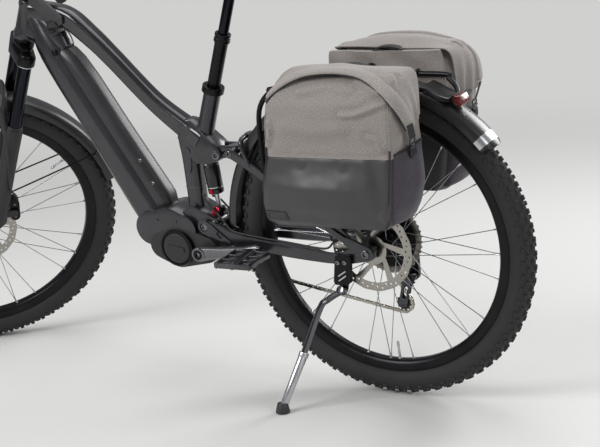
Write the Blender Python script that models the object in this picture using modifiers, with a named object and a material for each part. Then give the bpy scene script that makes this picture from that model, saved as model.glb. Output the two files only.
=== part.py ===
# Electric mountain bike on its side stand, with full fenders, a rear rack and two roll-top panniers.
# Metres, +Z up. The bike faces -X and its left side is -Y. Every point is first given in the upright
# bike's own frame; two empties then lean the whole bike on its stand and turn the steering.
import math

import bmesh
import bpy
from mathutils import Matrix, Vector

for leftover in list(bpy.data.objects):
    bpy.data.objects.remove(leftover, do_unlink=True)

# Stance: how the upright bike is set down on the ground
LEAN = math.radians(6.34)
PITCH = math.radians(-0.610)
STEER = math.radians(46.73)
REAR_LIFT = 0.36870
CENTRE_X = 0.0494
CENTRE_Y = -0.0434

# Frame geometry
REAR_AXLE_X = 0.6057
AXLE_Z = 0.3708
WHEELBASE = 1.2114
HEAD_ANGLE = math.radians(66.29)
FORK_OFFSET = 0.0421
CRANK_X = 0.1445
CRANK_Z = 0.3380
SEAT_ANGLE = math.radians(69.5)
COLLAR_X = 0.2435
COLLAR_Z = 0.8485
GAP = 0.0003
RUN = 0.0005

# Wheels
RIM_R = 0.3108
RIM_DEPTH = 0.0223
RIM_WALL = 0.0078
RIM_W = 0.0165
RIM_WAIST = 0.0085
RIM_IN_R = RIM_R - RIM_DEPTH
NIPPLE_R = RIM_IN_R - 0.0015
TYRE_HEIGHT = 0.0602
TYRE_W = 0.0300
TYRE_R = RIM_R + TYRE_HEIGHT
SPOKES = 32
SPOKE_R = 0.0011
FLANGE_R = 0.0300
SPOKE_CIRCLE_R = 0.0265
ROTOR_R = 0.0995
ROTOR_T = 0.0018
ROTOR_SEAT_R = 0.0222
FRONT_ROTOR_Y = -0.0410
REAR_ROTOR_Y = -0.0575
FRONT_HUB_HALF = 0.0548
REAR_HUB_HALF = 0.0742
FRONT_AXLE_R = 0.0075
REAR_AXLE_R = 0.0060

# Fork, measured along the steering axis from its foot and behind it
LEG_Y = 0.0660
STANCHION_R = 0.0170
LEG_R = 0.0225
WIPER_AT = 0.332
CROWN_LOW = 0.505
CROWN_TOP = 0.545
HEAD_LOW = 0.5478
HEAD_TOP = 0.650
HEAD_R = 0.0285
STEERER_R = 0.0143
STEM_LOW = 0.6505
STEM_TOP = 0.764
BAR_AT = 0.756
BAR_BEHIND = -0.047
BAR_R = 0.0112
BAR_HALF = 0.370

# Tubes
DOWN_W = 0.072
DOWN_DEPTH = 0.082
MAST_R = 0.0205
POST_R = 0.0158
POST_IN_R = 0.0125

# Rear suspension points
MAIN_PIVOT = (0.1440, 0.3970)
ROCKER_PIVOT = (0.1980, 0.5710)
ROCKER_TAIL = (0.2475, 0.5810)
SHOCK_TOP = (0.1580, 0.5830)
SHOCK_FOOT = (0.1700, 0.4030)
ARM_IN_Y = 0.0360
ARM_OUT_Y = 0.0455
CHEEK_IN_Y = 0.0220
CHEEK_OUT_Y = 0.0290
TAIL_Y = 0.0380
LINK_CLEARANCE = 0.0030
CHAIN_DROP_Y = 0.0745
STAY_DROP_Y = 0.0829
DROP_T = 0.0078

# Drivetrain
CRANK_LEN = 0.165
CRANK_TILT = math.radians(6.5)
ARM_Y_IN = 0.0690
ARM_Y_OUT = 0.0830
SPINDLE_R = 0.0120
RING_R = 0.0660
COG_R = 0.0420
CHAIN_Y = 0.0500
CHAIN_T = 0.0070
CHAIN_W = 0.0080
GUIDE_PULLEY = (0.6300, 0.2600)
TENSION_PULLEY = (0.6150, 0.2030)
PULLEY_R = 0.0190

# Fenders and bags
FENDER_T = 0.0020
FENDER_HALF = 0.0345
FRONT_FENDER_ROOM = 0.0155
REAR_FENDER_ROOM = 0.0215
FRONT_FENDER_R = TYRE_R + FRONT_FENDER_ROOM
REAR_FENDER_R = TYRE_R + REAR_FENDER_ROOM
FENDER_SKIRT = 0.0270
REAR_FENDER_X = 0.5965
REAR_FENDER_Z = 0.3720
RACK_R = 0.0060
RACK_Y = 0.0680
RACK_Z = 0.7450
BAG_IN_Y = 0.0745
BAG_DEPTH = 0.1500

REAR = Vector((REAR_AXLE_X, 0.0, AXLE_Z))
FRONT = Vector((REAR_AXLE_X - WHEELBASE, 0.0, AXLE_Z))
UP_AXIS = Vector((math.cos(HEAD_ANGLE), 0.0, math.sin(HEAD_ANGLE)))
BACK_AXIS = Vector((math.sin(HEAD_ANGLE), 0.0, -math.cos(HEAD_ANGLE)))
STEER_FOOT = FRONT + BACK_AXIS * FORK_OFFSET
CRANK = Vector((CRANK_X, 0.0, CRANK_Z))
SEAT_AXIS = Vector((math.cos(SEAT_ANGLE), 0.0, math.sin(SEAT_ANGLE)))
COLLAR = Vector((COLLAR_X, 0.0, COLLAR_Z))
Y_AXIS = Vector((0.0, 1.0, 0.0))

parts = bpy.data.collections.new("electric_mountain_bike")
cutters = bpy.data.collections.new("cutters")
bpy.context.scene.collection.children.link(parts)
bpy.context.scene.collection.children.link(cutters)
bench = bpy.data.scenes.new("curve_bench")
tools_of = {}


# Materials
def material(name, colour, roughness, metallic):
    made = bpy.data.materials.new(name)
    made.use_nodes = True
    shader = made.node_tree.nodes["Principled BSDF"]
    shader.inputs["Base Color"].default_value = (*colour, 1.0)
    shader.inputs["Roughness"].default_value = roughness
    shader.inputs["Metallic"].default_value = metallic
    return made


PAINT = material("satin_frame_paint", (0.045, 0.045, 0.050), 0.38, 0.6)
COVER = material("battery_cover_plastic", (0.060, 0.055, 0.052), 0.45, 0.1)
BLACK = material("black_anodised_aluminium", (0.020, 0.020, 0.022), 0.35, 0.9)
PLASTIC = material("black_moulded_plastic", (0.015, 0.015, 0.016), 0.5, 0.0)
RUBBER = material("tyre_rubber", (0.022, 0.022, 0.023), 0.8, 0.0)
STEEL = material("stainless_steel", (0.55, 0.55, 0.54), 0.3, 1.0)
ALLOY = material("dark_alloy", (0.18, 0.18, 0.19), 0.35, 1.0)
RED_ALLOY = material("red_anodised_aluminium", (0.55, 0.02, 0.02), 0.3, 0.8)
RED_LENS = material("red_lens", (0.5, 0.02, 0.01), 0.15, 0.0)
CLEAR_LENS = material("clear_lens", (0.7, 0.75, 0.8), 0.1, 0.0)
CLOTH = material("melange_bag_cloth", (0.22, 0.20, 0.18), 0.9, 0.0)
SEAT_SKIN = material("saddle_cover", (0.02, 0.02, 0.02), 0.6, 0.0)


# Bodies: one empty on each joint's axis, nested as the joints are
def empty(name, parent, pivot, parent_pivot):
    made = bpy.data.objects.new(name, None)
    bpy.context.scene.collection.objects.link(made)
    made.parent = parent
    made.location = Vector(pivot) - Vector(parent_pivot)
    return made


def crank_end(side):
    reach = Vector((math.cos(CRANK_TILT), 0.0, math.sin(CRANK_TILT))) * CRANK_LEN
    return CRANK + (reach if side < 0 else -reach)


def steer_point(along, behind, y):
    return STEER_FOOT + UP_AXIS * along + BACK_AXIS * behind + Y_AXIS * y


def xz(point, y=0.0):
    return Vector((point[0], y, point[1]))


STAND_PIVOT = Vector((0.5330, -0.0880, 0.2780))
BAR = steer_point(BAR_AT, BAR_BEHIND, 0.0)
SHOCK_AXIS = (xz(SHOCK_TOP) - xz(SHOCK_FOOT)).normalized()
SHOCK_LENGTH = (xz(SHOCK_TOP) - xz(SHOCK_FOOT)).length
KNOB_AT = 0.0255
DOWN_START = steer_point(0.5757, 0.0695, 0.0)
DOWN_FOOT = Vector((0.0182, 0.0, 0.3450))
CAP_CENTRE = DOWN_START + Vector((0.0465, -0.0300, 0.0315))
LOCK_CENTRE = DOWN_START + Vector((0.0420, 0.0, -0.0304))
BRAKE_PIVOT_Y = 0.2150
THUMB_Y = 0.1900

PIVOTS = {
    "frame": (None, REAR),
    "battery": ("frame", Vector((-0.10, 0.0, 0.65))),
    "charge_cap": ("frame", CAP_CENTRE + Vector((0.0, -0.0002, -0.0172))),
    "key_lock": ("frame", LOCK_CENTRE),
    "seatpost": ("frame", COLLAR),
    "steering": ("frame", STEER_FOOT),
    "fork_slide": ("steering", steer_point(0.0, 0.0, 0.0)),
    "front_wheel": ("fork_slide", FRONT),
    "brake_lever_left": ("steering", BAR + Vector((0.0, -BRAKE_PIVOT_Y, 0.0))),
    "brake_lever_right": ("steering", BAR + Vector((0.0, BRAKE_PIVOT_Y, 0.0))),
    "dropper_lever": ("steering", BAR + Vector((0.0, -THUMB_Y, 0.0))),
    "shift_lever": ("steering", BAR + Vector((0.0, THUMB_Y, 0.0))),
    "chainstay": ("frame", xz(MAIN_PIVOT)),
    "seatstay": ("chainstay", REAR),
    "rocker": ("frame", xz(ROCKER_PIVOT)),
    "shock": ("frame", xz(SHOCK_FOOT)),
    "shock_can": ("shock", xz(SHOCK_TOP)),
    "shock_knob": ("shock", xz(SHOCK_FOOT) + SHOCK_AXIS * KNOB_AT),
    "rear_wheel": ("chainstay", REAR),
    "derailleur_cage": ("chainstay", xz(GUIDE_PULLEY, CHAIN_Y)),
    "stand": ("chainstay", STAND_PIVOT),
    "crank": ("frame", CRANK),
    "pedal_left": ("crank", crank_end(-1)),
    "pedal_right": ("crank", crank_end(1)),
    "pannier_left": ("seatstay", Vector((0.60, -RACK_Y, RACK_Z))),
    "pannier_right": ("seatstay", Vector((0.60, RACK_Y, RACK_Z))),
}
empties = {}
for body_name, (parent_name, pivot_point) in PIVOTS.items():
    if parent_name is None:
        holder = empty("body_" + body_name, None, pivot_point, (0.0, 0.0, 0.0))
        holder.location = Vector((REAR_AXLE_X - CENTRE_X, -CENTRE_Y, REAR_LIFT))
        holder.rotation_euler = (LEAN, PITCH, 0.0)
        holder.rotation_mode = "XYZ"
        lean_turn = Matrix.Rotation(LEAN, 3, "X") @ Matrix.Rotation(PITCH, 3, "Y")
        holder.rotation_euler = lean_turn.to_euler("XYZ")
    else:
        holder = empty("body_" + body_name, empties[parent_name], pivot_point, PIVOTS[parent_name][1])
    empties[body_name] = holder
steer_turn = Matrix.Rotation(STEER, 3, UP_AXIS)
empties["steering"].rotation_euler = steer_turn.to_euler("XYZ")


# Shape helpers: each returns an object whose mesh is in the upright bike's frame
def mesh_object(name, mesh, collection=cutters):
    made = bpy.data.objects.new(name, mesh)
    collection.objects.link(made)
    return made


def from_bmesh(name, shape):
    mesh = bpy.data.meshes.new(name)
    bmesh.ops.recalc_face_normals(shape, faces=shape.faces)
    shape.to_mesh(mesh)
    shape.free()
    return mesh_object(name, mesh)


def weld_curve(name, curve_data, matrix):
    curve = bpy.data.objects.new(name + "_curve", curve_data)
    bench.collection.objects.link(curve)
    bench.view_layers[0].update()
    evaluated = curve.evaluated_get(bench.view_layers[0].depsgraph)
    mesh = bpy.data.meshes.new_from_object(evaluated)
    mesh.transform(matrix)
    bpy.data.objects.remove(curve, do_unlink=True)
    shape = bmesh.new()
    shape.from_mesh(mesh)
    bmesh.ops.remove_doubles(shape, verts=shape.verts, dist=0.00002)
    bpy.data.meshes.remove(mesh)
    return from_bmesh(name, shape)


def tube(name, points, radius, sides=2, cyclic=False):
    data = bpy.data.curves.new(name, "CURVE")
    data.dimensions = "3D"
    data.bevel_depth = radius
    data.bevel_resolution = sides
    data.use_fill_caps = True
    spline = data.splines.new("POLY")
    spline.points.add(len(points) - 1)
    for knot, point in zip(spline.points, points):
        knot.co = (*point, 1.0)
    spline.use_cyclic_u = cyclic
    return weld_curve(name, data, Matrix.Identity(4))


def flat(name, loops, middle, thickness, matrix):
    data = bpy.data.curves.new(name, "CURVE")
    data.dimensions = "2D"
    data.fill_mode = "BOTH"
    data.extrude = thickness / 2.0
    for loop in loops:
        spline = data.splines.new("POLY")
        spline.points.add(len(loop) - 1)
        for knot, point in zip(spline.points, loop):
            knot.co = (point[0], point[1], 0.0, 1.0)
        spline.use_cyclic_u = True
    return weld_curve(name, data, Matrix.Translation(middle) @ matrix)


def side_plate(name, loops, y_low, y_high):
    turn = Matrix.Rotation(math.pi / 2.0, 4, "X")
    middle = Vector((0.0, (y_low + y_high) / 2.0, 0.0))
    return flat(name, loops, middle, y_high - y_low, turn)


def top_plate(name, loops, z_low, z_high):
    middle = Vector((0.0, 0.0, (z_low + z_high) / 2.0))
    return flat(name, loops, middle, z_high - z_low, Matrix.Identity(4))


def circle(centre, radius, steps=16, start=0.0):
    turns = [start + 2.0 * math.pi * step / steps for step in range(steps)]
    return [(centre[0] + radius * math.cos(t), centre[1] + radius * math.sin(t)) for t in turns]


def cross(origin, a, b):
    return (a[0] - origin[0]) * (b[1] - origin[1]) - (a[1] - origin[1]) * (b[0] - origin[0])


def hull(circles, steps=16):
    cloud = sorted({(round(x, 6), round(y, 6)) for c in circles for x, y in circle(c[:2], c[2], steps)})
    chains = []
    for order in (cloud, cloud[::-1]):
        chain = []
        for point in order:
            while len(chain) > 1 and cross(chain[-2], chain[-1], point) <= 0.0:
                chain.pop()
            chain.append(point)
        chains.append(chain[:-1])
    return chains[0] + chains[1]


def rod(name, start, end, radius, sides=12, end_radius=None):
    start = Vector(start)
    end = Vector(end)
    shape = bmesh.new()
    bmesh.ops.create_cone(shape, cap_ends=True, segments=sides, radius1=radius,
                          radius2=radius if end_radius is None else end_radius, depth=(end - start).length)
    turn = Vector((0.0, 0.0, 1.0)).rotation_difference(end - start).to_matrix().to_4x4()
    bmesh.ops.transform(shape, matrix=Matrix.Translation((start + end) / 2.0) @ turn, verts=shape.verts)
    return from_bmesh(name, shape)


def block(name, middle, size, turn=None):
    shape = bmesh.new()
    bmesh.ops.create_cube(shape, size=1.0)
    matrix = Matrix.Translation(middle) @ (turn or Matrix.Identity(4)) @ Matrix.Diagonal((*size, 1.0))
    bmesh.ops.transform(shape, matrix=matrix, verts=shape.verts)
    return from_bmesh(name, shape)


def loft(name, rings):
    shape = bmesh.new()
    rows = [[shape.verts.new(point) for point in ring] for ring in rings]
    count = len(rows[0])
    for low, high in zip(rows, rows[1:]):
        for k in range(count):
            shape.faces.new((low[k], low[(k + 1) % count], high[(k + 1) % count], high[k]))
    shape.faces.new(rows[0])
    shape.faces.new(rows[-1])
    return from_bmesh(name, shape)


def rounded_ring(middle, across, up, width, depth, corner, steps=3):
    ring = []
    for quarter, (sx, sy) in enumerate(((1, 1), (-1, 1), (-1, -1), (1, -1))):
        for step in range(steps):
            turn = math.pi / 2.0 * (quarter + step / (steps - 1))
            x = sx * (width / 2.0 - corner) + corner * math.cos(turn)
            y = sy * (depth / 2.0 - corner) + corner * math.sin(turn)
            ring.append(Vector(middle) + across * x + up * y)
    return ring


def turned(name, profile, centre, axis, steps, closed=True):
    mesh = bpy.data.meshes.new(name)
    points = [(radius, 0.0, height) for height, radius in profile]
    edges = [(k, k + 1) for k in range(len(points) - 1)]
    if closed:
        edges.append((len(points) - 1, 0))
    mesh.from_pydata(points, edges, [])
    made = mesh_object(name, mesh)
    made.location = centre
    made.rotation_euler = Vector((0.0, 0.0, 1.0)).rotation_difference(Vector(axis)).to_euler()
    screw = made.modifiers.new("Screw", "SCREW")
    screw.axis = "Z"
    screw.steps = steps
    screw.render_steps = steps
    screw.use_merge_vertices = True
    screw.merge_threshold = 0.00002
    screw.use_smooth_shade = True
    return made


def combine(base, tools, operation):
    kind = {"UNION": "_joined", "DIFFERENCE": "_cut"}[operation]
    group = bpy.data.collections.new(base.name + kind)
    cutters.children.link(group)
    for tool in tools:
        cutters.objects.unlink(tool)
        group.objects.link(tool)
        tool.hide_render = True
        tool.display_type = "WIRE"
    boolean = base.modifiers.new(operation.title(), "BOOLEAN")
    boolean.operation = operation
    boolean.solver = "EXACT"
    boolean.operand_type = "COLLECTION"
    boolean.collection = group
    tools_of.setdefault(base.name, []).extend(tools)
    return base


def join(base, *tools):
    return combine(base, tools, "UNION")


def cut(base, *tools):
    return combine(base, tools, "DIFFERENCE")


def finish(made, name, body, look):
    for item in [made] + tools_of.get(made.name, []):
        item.parent = empties[body]
        item.location = item.location - PIVOTS[body][1]
    cutters.objects.unlink(made)
    parts.objects.link(made)
    made.name = name
    made.data.materials.clear()
    made.data.materials.append(look)
    if made.data.polygons:
        made.data.shade_smooth()
        made.data.set_sharp_from_angle(angle=math.radians(35.0))
    return made


# Wheels
def make_tyre(name, body, centre):
    crown = [(0.0135, RIM_R + GAP), (TYRE_W - 0.0020, RIM_R + 0.0152), (TYRE_W, RIM_R + 0.0322),
             (TYRE_W - 0.0100, TYRE_R - 0.0060)]
    profile = crown + [(0.0, TYRE_R)] + [(-h, r) for h, r in reversed(crown)]
    finish(turned(name + "_ring", profile, centre, Y_AXIS, 48), name, body, RUBBER)


def make_rim(name, body, centre):
    wall_r = RIM_R - RIM_WALL
    profile = [(RIM_W, RIM_R), (-RIM_W, RIM_R), (-RIM_W, wall_r), (-RIM_WAIST, RIM_IN_R)]
    profile += [(RIM_WAIST, RIM_IN_R), (RIM_W, wall_r)]
    finish(turned(name + "_ring", profile, centre, Y_AXIS, 48), name, body, BLACK)


def wheel_point(centre, radius, turn, y):
    return centre + Vector((radius * math.cos(turn), y, radius * math.sin(turn)))


def make_hub(name, body, centre, profile, flanges, phase):
    barrel = turned(name + "_barrel", profile, centre, Y_AXIS, 14)
    spokes = []
    per_side = SPOKES // 2
    lacing = 3.0 * 4.0 * math.pi / SPOKES
    for side, flange_y in enumerate(flanges):
        for k in range(per_side):
            start_turn = phase + (k + side * 0.5) * 2.0 * math.pi / per_side
            end_turn = start_turn + (lacing if k % 2 == 0 else -lacing)
            lean_y = 0.0012 if k % 2 == 0 else -0.0012
            rim_y = math.copysign(0.003, flange_y)
            start = wheel_point(centre, SPOKE_CIRCLE_R, start_turn, flange_y + lean_y)
            end = wheel_point(centre, NIPPLE_R, end_turn, rim_y)
            spokes.append(rod("%s_spoke_%d_%d" % (name, side, k), start, end, SPOKE_R, 3))
    finish(join(barrel, *spokes), name, body, BLACK)


def make_rotor(name, body, centre, y):
    inner_rim = ROTOR_R - 0.0145
    windows = []
    for arm in range(6):
        first = (arm + 0.16) * math.pi / 3.0
        last = (arm + 0.84) * math.pi / 3.0
        outer = [first + (last - first) * k / 3.0 for k in range(4)]
        loop = [(inner_rim * math.cos(t), inner_rim * math.sin(t)) for t in outer]
        lean = math.radians(14.0)
        loop += [(0.0310 * math.cos(t - lean), 0.0310 * math.sin(t - lean)) for t in reversed(outer)]
        windows.append([(centre.x + x, centre.z + z) for x, z in loop])
    loops = [circle((centre.x, centre.z), ROTOR_R, 36)] + windows
    loops.append(circle((centre.x, centre.z), ROTOR_SEAT_R + 0.0006, 18))
    disc = side_plate(name + "_disc", loops, y - ROTOR_T / 2.0, y + ROTOR_T / 2.0)
    finish(disc, name, body, STEEL)


front_hub_profile = [
    (FRONT_HUB_HALF, 0.0105), (0.0450, 0.0105), (0.0345, 0.0150), (0.0345, FLANGE_R), (0.0310, FLANGE_R),
    (0.0310, 0.0145), (-0.0235, 0.0145), (-0.0235, FLANGE_R), (-0.0270, FLANGE_R), (-0.0270, ROTOR_SEAT_R),
    (-0.0450, ROTOR_SEAT_R), (-0.0450, 0.0105), (-FRONT_HUB_HALF, 0.0105),
    (-FRONT_HUB_HALF, FRONT_AXLE_R + GAP), (FRONT_HUB_HALF, FRONT_AXLE_R + GAP)]
rear_hub_profile = [
    (REAR_HUB_HALF, 0.0110), (0.0632, 0.0110), (0.0632, 0.0172), (0.0235, 0.0172), (0.0235, FLANGE_R),
    (0.0195, FLANGE_R), (0.0195, 0.0150), (-0.0300, 0.0150), (-0.0300, FLANGE_R), (-0.0340, FLANGE_R),
    (-0.0340, ROTOR_SEAT_R), (-0.0610, ROTOR_SEAT_R), (-0.0610, 0.0110), (-REAR_HUB_HALF, 0.0110),
    (-REAR_HUB_HALF, REAR_AXLE_R + GAP), (REAR_HUB_HALF, REAR_AXLE_R + GAP)]
cassette_steps = [(0.0620, 0.0270), (0.0545, COG_R), (0.0455, 0.0560), (0.0360, 0.0720), (0.0300, 0.0860)]

make_tyre("front_tyre", "front_wheel", FRONT)
make_rim("front_rim", "front_wheel", FRONT)
make_hub("front_hub", "front_wheel", FRONT, front_hub_profile, (-0.0252, 0.0328), 0.20)
make_rotor("front_rotor", "front_wheel", FRONT, FRONT_ROTOR_Y)
make_tyre("rear_tyre", "rear_wheel", REAR)
make_rim("rear_rim", "rear_wheel", REAR)
make_hub("rear_hub", "rear_wheel", REAR, rear_hub_profile, (-0.0320, 0.0215), 0.05)
make_rotor("rear_rotor", "rear_wheel", REAR, REAR_ROTOR_Y)
cog_profile = []
cog_floor = 0.0240
for step, (top_y, cog_radius) in enumerate(cassette_steps):
    bottom_y = cassette_steps[step + 1][0] if step + 1 < len(cassette_steps) else cog_floor
    cog_profile += [(top_y, cog_radius), (bottom_y, cog_radius)]
cog_profile += [(cog_floor, 0.0172 + GAP), (cassette_steps[0][0], 0.0172 + GAP)]
finish(turned("cassette_cogs", cog_profile, REAR, Y_AXIS, 26), "cassette", "rear_wheel", ALLOY)


# Axles
def make_axle(name, body, centre, half, radius, head_r):
    profile = [(half, 0.0), (half, radius), (-half, radius), (-half, head_r), (-half - 0.006, head_r)]
    profile.append((-half - 0.006, 0.0))
    finish(turned(name + "_shaft", profile, centre, Y_AXIS, 16, closed=False), name, body, BLACK)


make_axle("front_axle", "fork_slide", FRONT, 0.0790, FRONT_AXLE_R, 0.0110)
make_axle("rear_axle", "chainstay", REAR, STAY_DROP_Y + DROP_T + GAP, REAR_AXLE_R, 0.0095)

# Main frame: head tube, down tube, top tube, gusset, seat mast, motor cradle
DOWN_LENGTH = (DOWN_FOOT - DOWN_START).length
DOWN_DIR = (DOWN_FOOT - DOWN_START).normalized()
DOWN_UP = Vector((-DOWN_DIR.z, 0.0, DOWN_DIR.x))


def down_point(along, above, y=0.0):
    return DOWN_START + DOWN_DIR * along + DOWN_UP * above + Y_AXIS * y


def down_ring(along, width, depth, above=0.0):
    return rounded_ring(down_point(along, above), Y_AXIS, DOWN_UP, width, depth, 0.022)


down_tube = loft("down_tube", [
    down_ring(-0.075, 0.050, 0.060), down_ring(-0.030, 0.060, 0.078), down_ring(0.040, DOWN_W, DOWN_DEPTH),
    down_ring(DOWN_LENGTH - 0.115, DOWN_W, DOWN_DEPTH), down_ring(DOWN_LENGTH - 0.040, 0.080, 0.090),
    down_ring(DOWN_LENGTH, 0.080, 0.070)])
TOP_FRONT = steer_point(0.6275, 0.0162, 0.0)
TOP_REAR = Vector((0.1500, 0.0, 0.6020))
TOP_STATIONS = [
    (0.000, 0.0000, 0.050, 0.054, -0.10), (0.160, 0.0412, 0.050, 0.050, -0.35),
    (0.311, 0.0395, 0.046, 0.046, -0.72), (0.449, 0.0287, 0.043, 0.043, -0.76), (0.711, 0.0025, 0.043,
                                                                                 0.042, -0.74),
    (0.900, -0.0020, 0.050, 0.048, -0.66), (1.000, 0.0000, 0.056, 0.056, -0.60)]
top_rings = []
for share, rise, depth, width, slope in TOP_STATIONS:
    up = Vector((-math.sin(slope), 0.0, math.cos(slope)))
    middle = TOP_FRONT.lerp(TOP_REAR, share) + Vector((0.0, 0.0, rise))
    top_rings.append(rounded_ring(middle, Y_AXIS, up, width, depth, 0.014))
top_tube = loft("top_tube", top_rings)
head_tube = rod("head_tube", steer_point(HEAD_LOW, 0.0, 0.0), steer_point(HEAD_TOP, 0.0, 0.0), HEAD_R, 24)
gusset = side_plate("gusset", [[
    (0.086, 0.600), (0.140, 0.543), (0.193, 0.551), (0.207, 0.560), (0.213, 0.575), (0.205, 0.588),
    (0.150, 0.640), (0.121, 0.657), (0.100, 0.640)]], -CHEEK_OUT_Y, CHEEK_OUT_Y)
lower_seat_tube = loft("lower_seat_tube", [
    rounded_ring(Vector((0.1130, 0.0, 0.632)), Y_AXIS, Vector((1.0, 0.0, 0.0)), 0.050, 0.052, 0.014),
    rounded_ring(Vector((0.1120, 0.0, 0.560)), Y_AXIS, Vector((1.0, 0.0, 0.0)), 0.044, 0.048, 0.014),
    rounded_ring(Vector((0.1090, 0.0, 0.400)), Y_AXIS, Vector((1.0, 0.0, 0.0)), 0.044, 0.040, 0.014)])
mast_low = COLLAR - SEAT_AXIS * 0.262
mast_top = COLLAR - SEAT_AXIS * 0.125
mast = rod("seat_mast", mast_low, mast_top, MAST_R, 24)
CRADLE_LEFT = -0.0500
CRADLE_RIGHT = 0.0450
cradle_loop = hull([(-0.012, 0.385, 0.042), (0.045, 0.398, 0.042), (0.084, 0.385, 0.038)], 20)
cradle = side_plate("motor_cradle", [cradle_loop], CRADLE_LEFT, CRADLE_RIGHT)
pivot_boss = side_plate("pivot_boss", [hull([
    (*MAIN_PIVOT, 0.0170), (0.085, 0.395, 0.030), (0.112, 0.430, 0.014), (*SHOCK_FOOT, 0.0120)])],
    -ARM_IN_Y + RUN, ARM_IN_Y - RUN)
PIN_R = 0.0075
main_pin = rod("main_pin", xz(MAIN_PIVOT, -ARM_OUT_Y), xz(MAIN_PIVOT, ARM_OUT_Y), PIN_R)
ROCKER_PIN_R = 0.0050
rocker_pin = rod("rocker_pin", xz(ROCKER_PIVOT, -CHEEK_OUT_Y - 0.0015), xz(ROCKER_PIVOT,
                                                                           CHEEK_OUT_Y + 0.0015),
                 ROCKER_PIN_R)
shock_pin = rod("shock_pin", xz(SHOCK_FOOT, -ARM_IN_Y + 0.004), xz(SHOCK_FOOT, ARM_IN_Y - 0.004), 0.0040)
cap_boss = rod("cap_boss", CAP_CENTRE, CAP_CENTRE * 1.0 + Y_AXIS * 0.030, 0.0190, 20)
frame_base = join(down_tube, top_tube, head_tube, gusset, lower_seat_tube, mast, cradle, pivot_boss,
                  cap_boss)

MOTOR_COVER = (0.0660, 0.3410)
MOTOR_CIRCLES = [(*MOTOR_COVER, 0.0520), (CRANK_X, CRANK_Z, 0.0335), (0.0150, 0.3420, 0.0330)]


def grown(circles, by):
    return [(x, z, radius + by) for x, z, radius in circles]


BATTERY_FROM = 0.030
BATTERY_TO = DOWN_LENGTH - 0.065
BATTERY_FLOOR = -0.018
BATTERY_HALF = 0.0300
bay_middle = down_point((BATTERY_FROM + BATTERY_TO) / 2.0, (BATTERY_FLOOR + 0.10) / 2.0)
down_turn = Matrix((DOWN_DIR, Y_AXIS, -DOWN_UP)).transposed().to_4x4()
battery_bay = block("battery_bay", bay_middle,
                    (BATTERY_TO - BATTERY_FROM, 2.0 * (BATTERY_HALF + GAP), 0.10 - BATTERY_FLOOR), down_turn)
slot_x = (0.1375, 0.3000)
slot_z = (0.4800, 0.6180)
link_slot = block("link_slot", ((slot_x[0] + slot_x[1]) / 2.0, 0.0, (slot_z[0] + slot_z[1]) / 2.0),
                  (slot_x[1] - slot_x[0], 2.0 * CHEEK_IN_Y, slot_z[1] - slot_z[0]))
EYE_HALF = 0.0088
shock_slot = block("shock_slot", (0.1850, 0.0, 0.4300), (0.0560, 2.0 * (EYE_HALF + RUN), 0.0800))
mast_bore = rod("mast_bore", COLLAR - SEAT_AXIS * 0.222, COLLAR - SEAT_AXIS * 0.100, POST_R + GAP, 24)
head_bore = rod("head_bore", steer_point(HEAD_LOW - 0.02, 0.0, 0.0), steer_point(HEAD_TOP + 0.02, 0.0, 0.0),
                STEERER_R + RUN, 24)
motor_room = side_plate("motor_room", [hull(grown(MOTOR_CIRCLES, GAP), 20)], -0.07, 0.07)
lock_bore = rod("lock_bore", LOCK_CENTRE + Y_AXIS * -0.060, LOCK_CENTRE + Y_AXIS * -0.0320, 0.0082, 16)
damper_room = rod("damper_room", xz(SHOCK_FOOT) + SHOCK_AXIS * 0.0150, xz(SHOCK_FOOT) + SHOCK_AXIS * 0.0700,
                  0.0180)
crown_room = rod("crown_room", steer_point(0.440, 0.0, 0.0), steer_point(CROWN_TOP + 0.0015, 0.0, 0.0),
                 0.0940, 28)
stem_room = rod("stem_room", steer_point(HEAD_TOP, 0.0, 0.0), steer_point(STEM_TOP, 0.0, 0.0), 0.0300, 20)
cut(frame_base, battery_bay, link_slot, shock_slot, mast_bore, head_bore, motor_room, lock_bore, damper_room,
    crown_room, stem_room)
join_pins = frame_base.modifiers.new("Pins", "BOOLEAN")
pins = bpy.data.collections.new("main_frame_pins")
cutters.children.link(pins)
for pin in (main_pin, rocker_pin, shock_pin):
    cutters.objects.unlink(pin)
    pins.objects.link(pin)
    pin.hide_render = True
    pin.display_type = "WIRE"
join_pins.operation = "UNION"
join_pins.solver = "EXACT"
join_pins.operand_type = "COLLECTION"
join_pins.collection = pins
tools_of[frame_base.name] += [main_pin, rocker_pin, shock_pin]
finish(frame_base, "main_frame", "frame", PAINT)

# Motor
MOTOR_LEFT = -0.0495
MOTOR_RIGHT = 0.0445
motor = side_plate("motor_shell", [hull(MOTOR_CIRCLES, 20)], MOTOR_LEFT, MOTOR_RIGHT)
cut(motor, rod("spindle_bore", CRANK - Y_AXIS * 0.07, CRANK + Y_AXIS * 0.07, SPINDLE_R + RUN, 24))
finish(motor, "motor_unit", "frame", BLACK)
motor_cover_low = MOTOR_LEFT - GAP
cover_profile = [(-motor_cover_low, 0.0), (-motor_cover_low, 0.0460), (0.0560, 0.0460), (0.0610, 0.0420)]
cover_profile.append((0.0610, 0.0))
cover_profile = [(h, r) for h, r in reversed(cover_profile)]
finish(turned("motor_disc", cover_profile, xz(MOTOR_COVER), -Y_AXIS, 32, closed=False),
       "motor_cover", "frame", COVER)

# Battery with its cover
battery_rings = []
for along, top in ((BATTERY_FROM, 0.052), (BATTERY_FROM + 0.03, 0.060), (0.300, 0.066),
                   (BATTERY_TO - 0.030, 0.073), (BATTERY_TO, 0.060)):
    low = BATTERY_FLOOR + GAP
    inset = GAP if along == BATTERY_FROM else (-GAP if along == BATTERY_TO else 0.0)
    middle = down_point(along + inset, (low + top) / 2.0)
    battery_rings.append(rounded_ring(middle, Y_AXIS, DOWN_UP, 2.0 * BATTERY_HALF, top - low, 0.010))
finish(loft("battery_pack", battery_rings), "battery", "battery", COVER)

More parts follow.
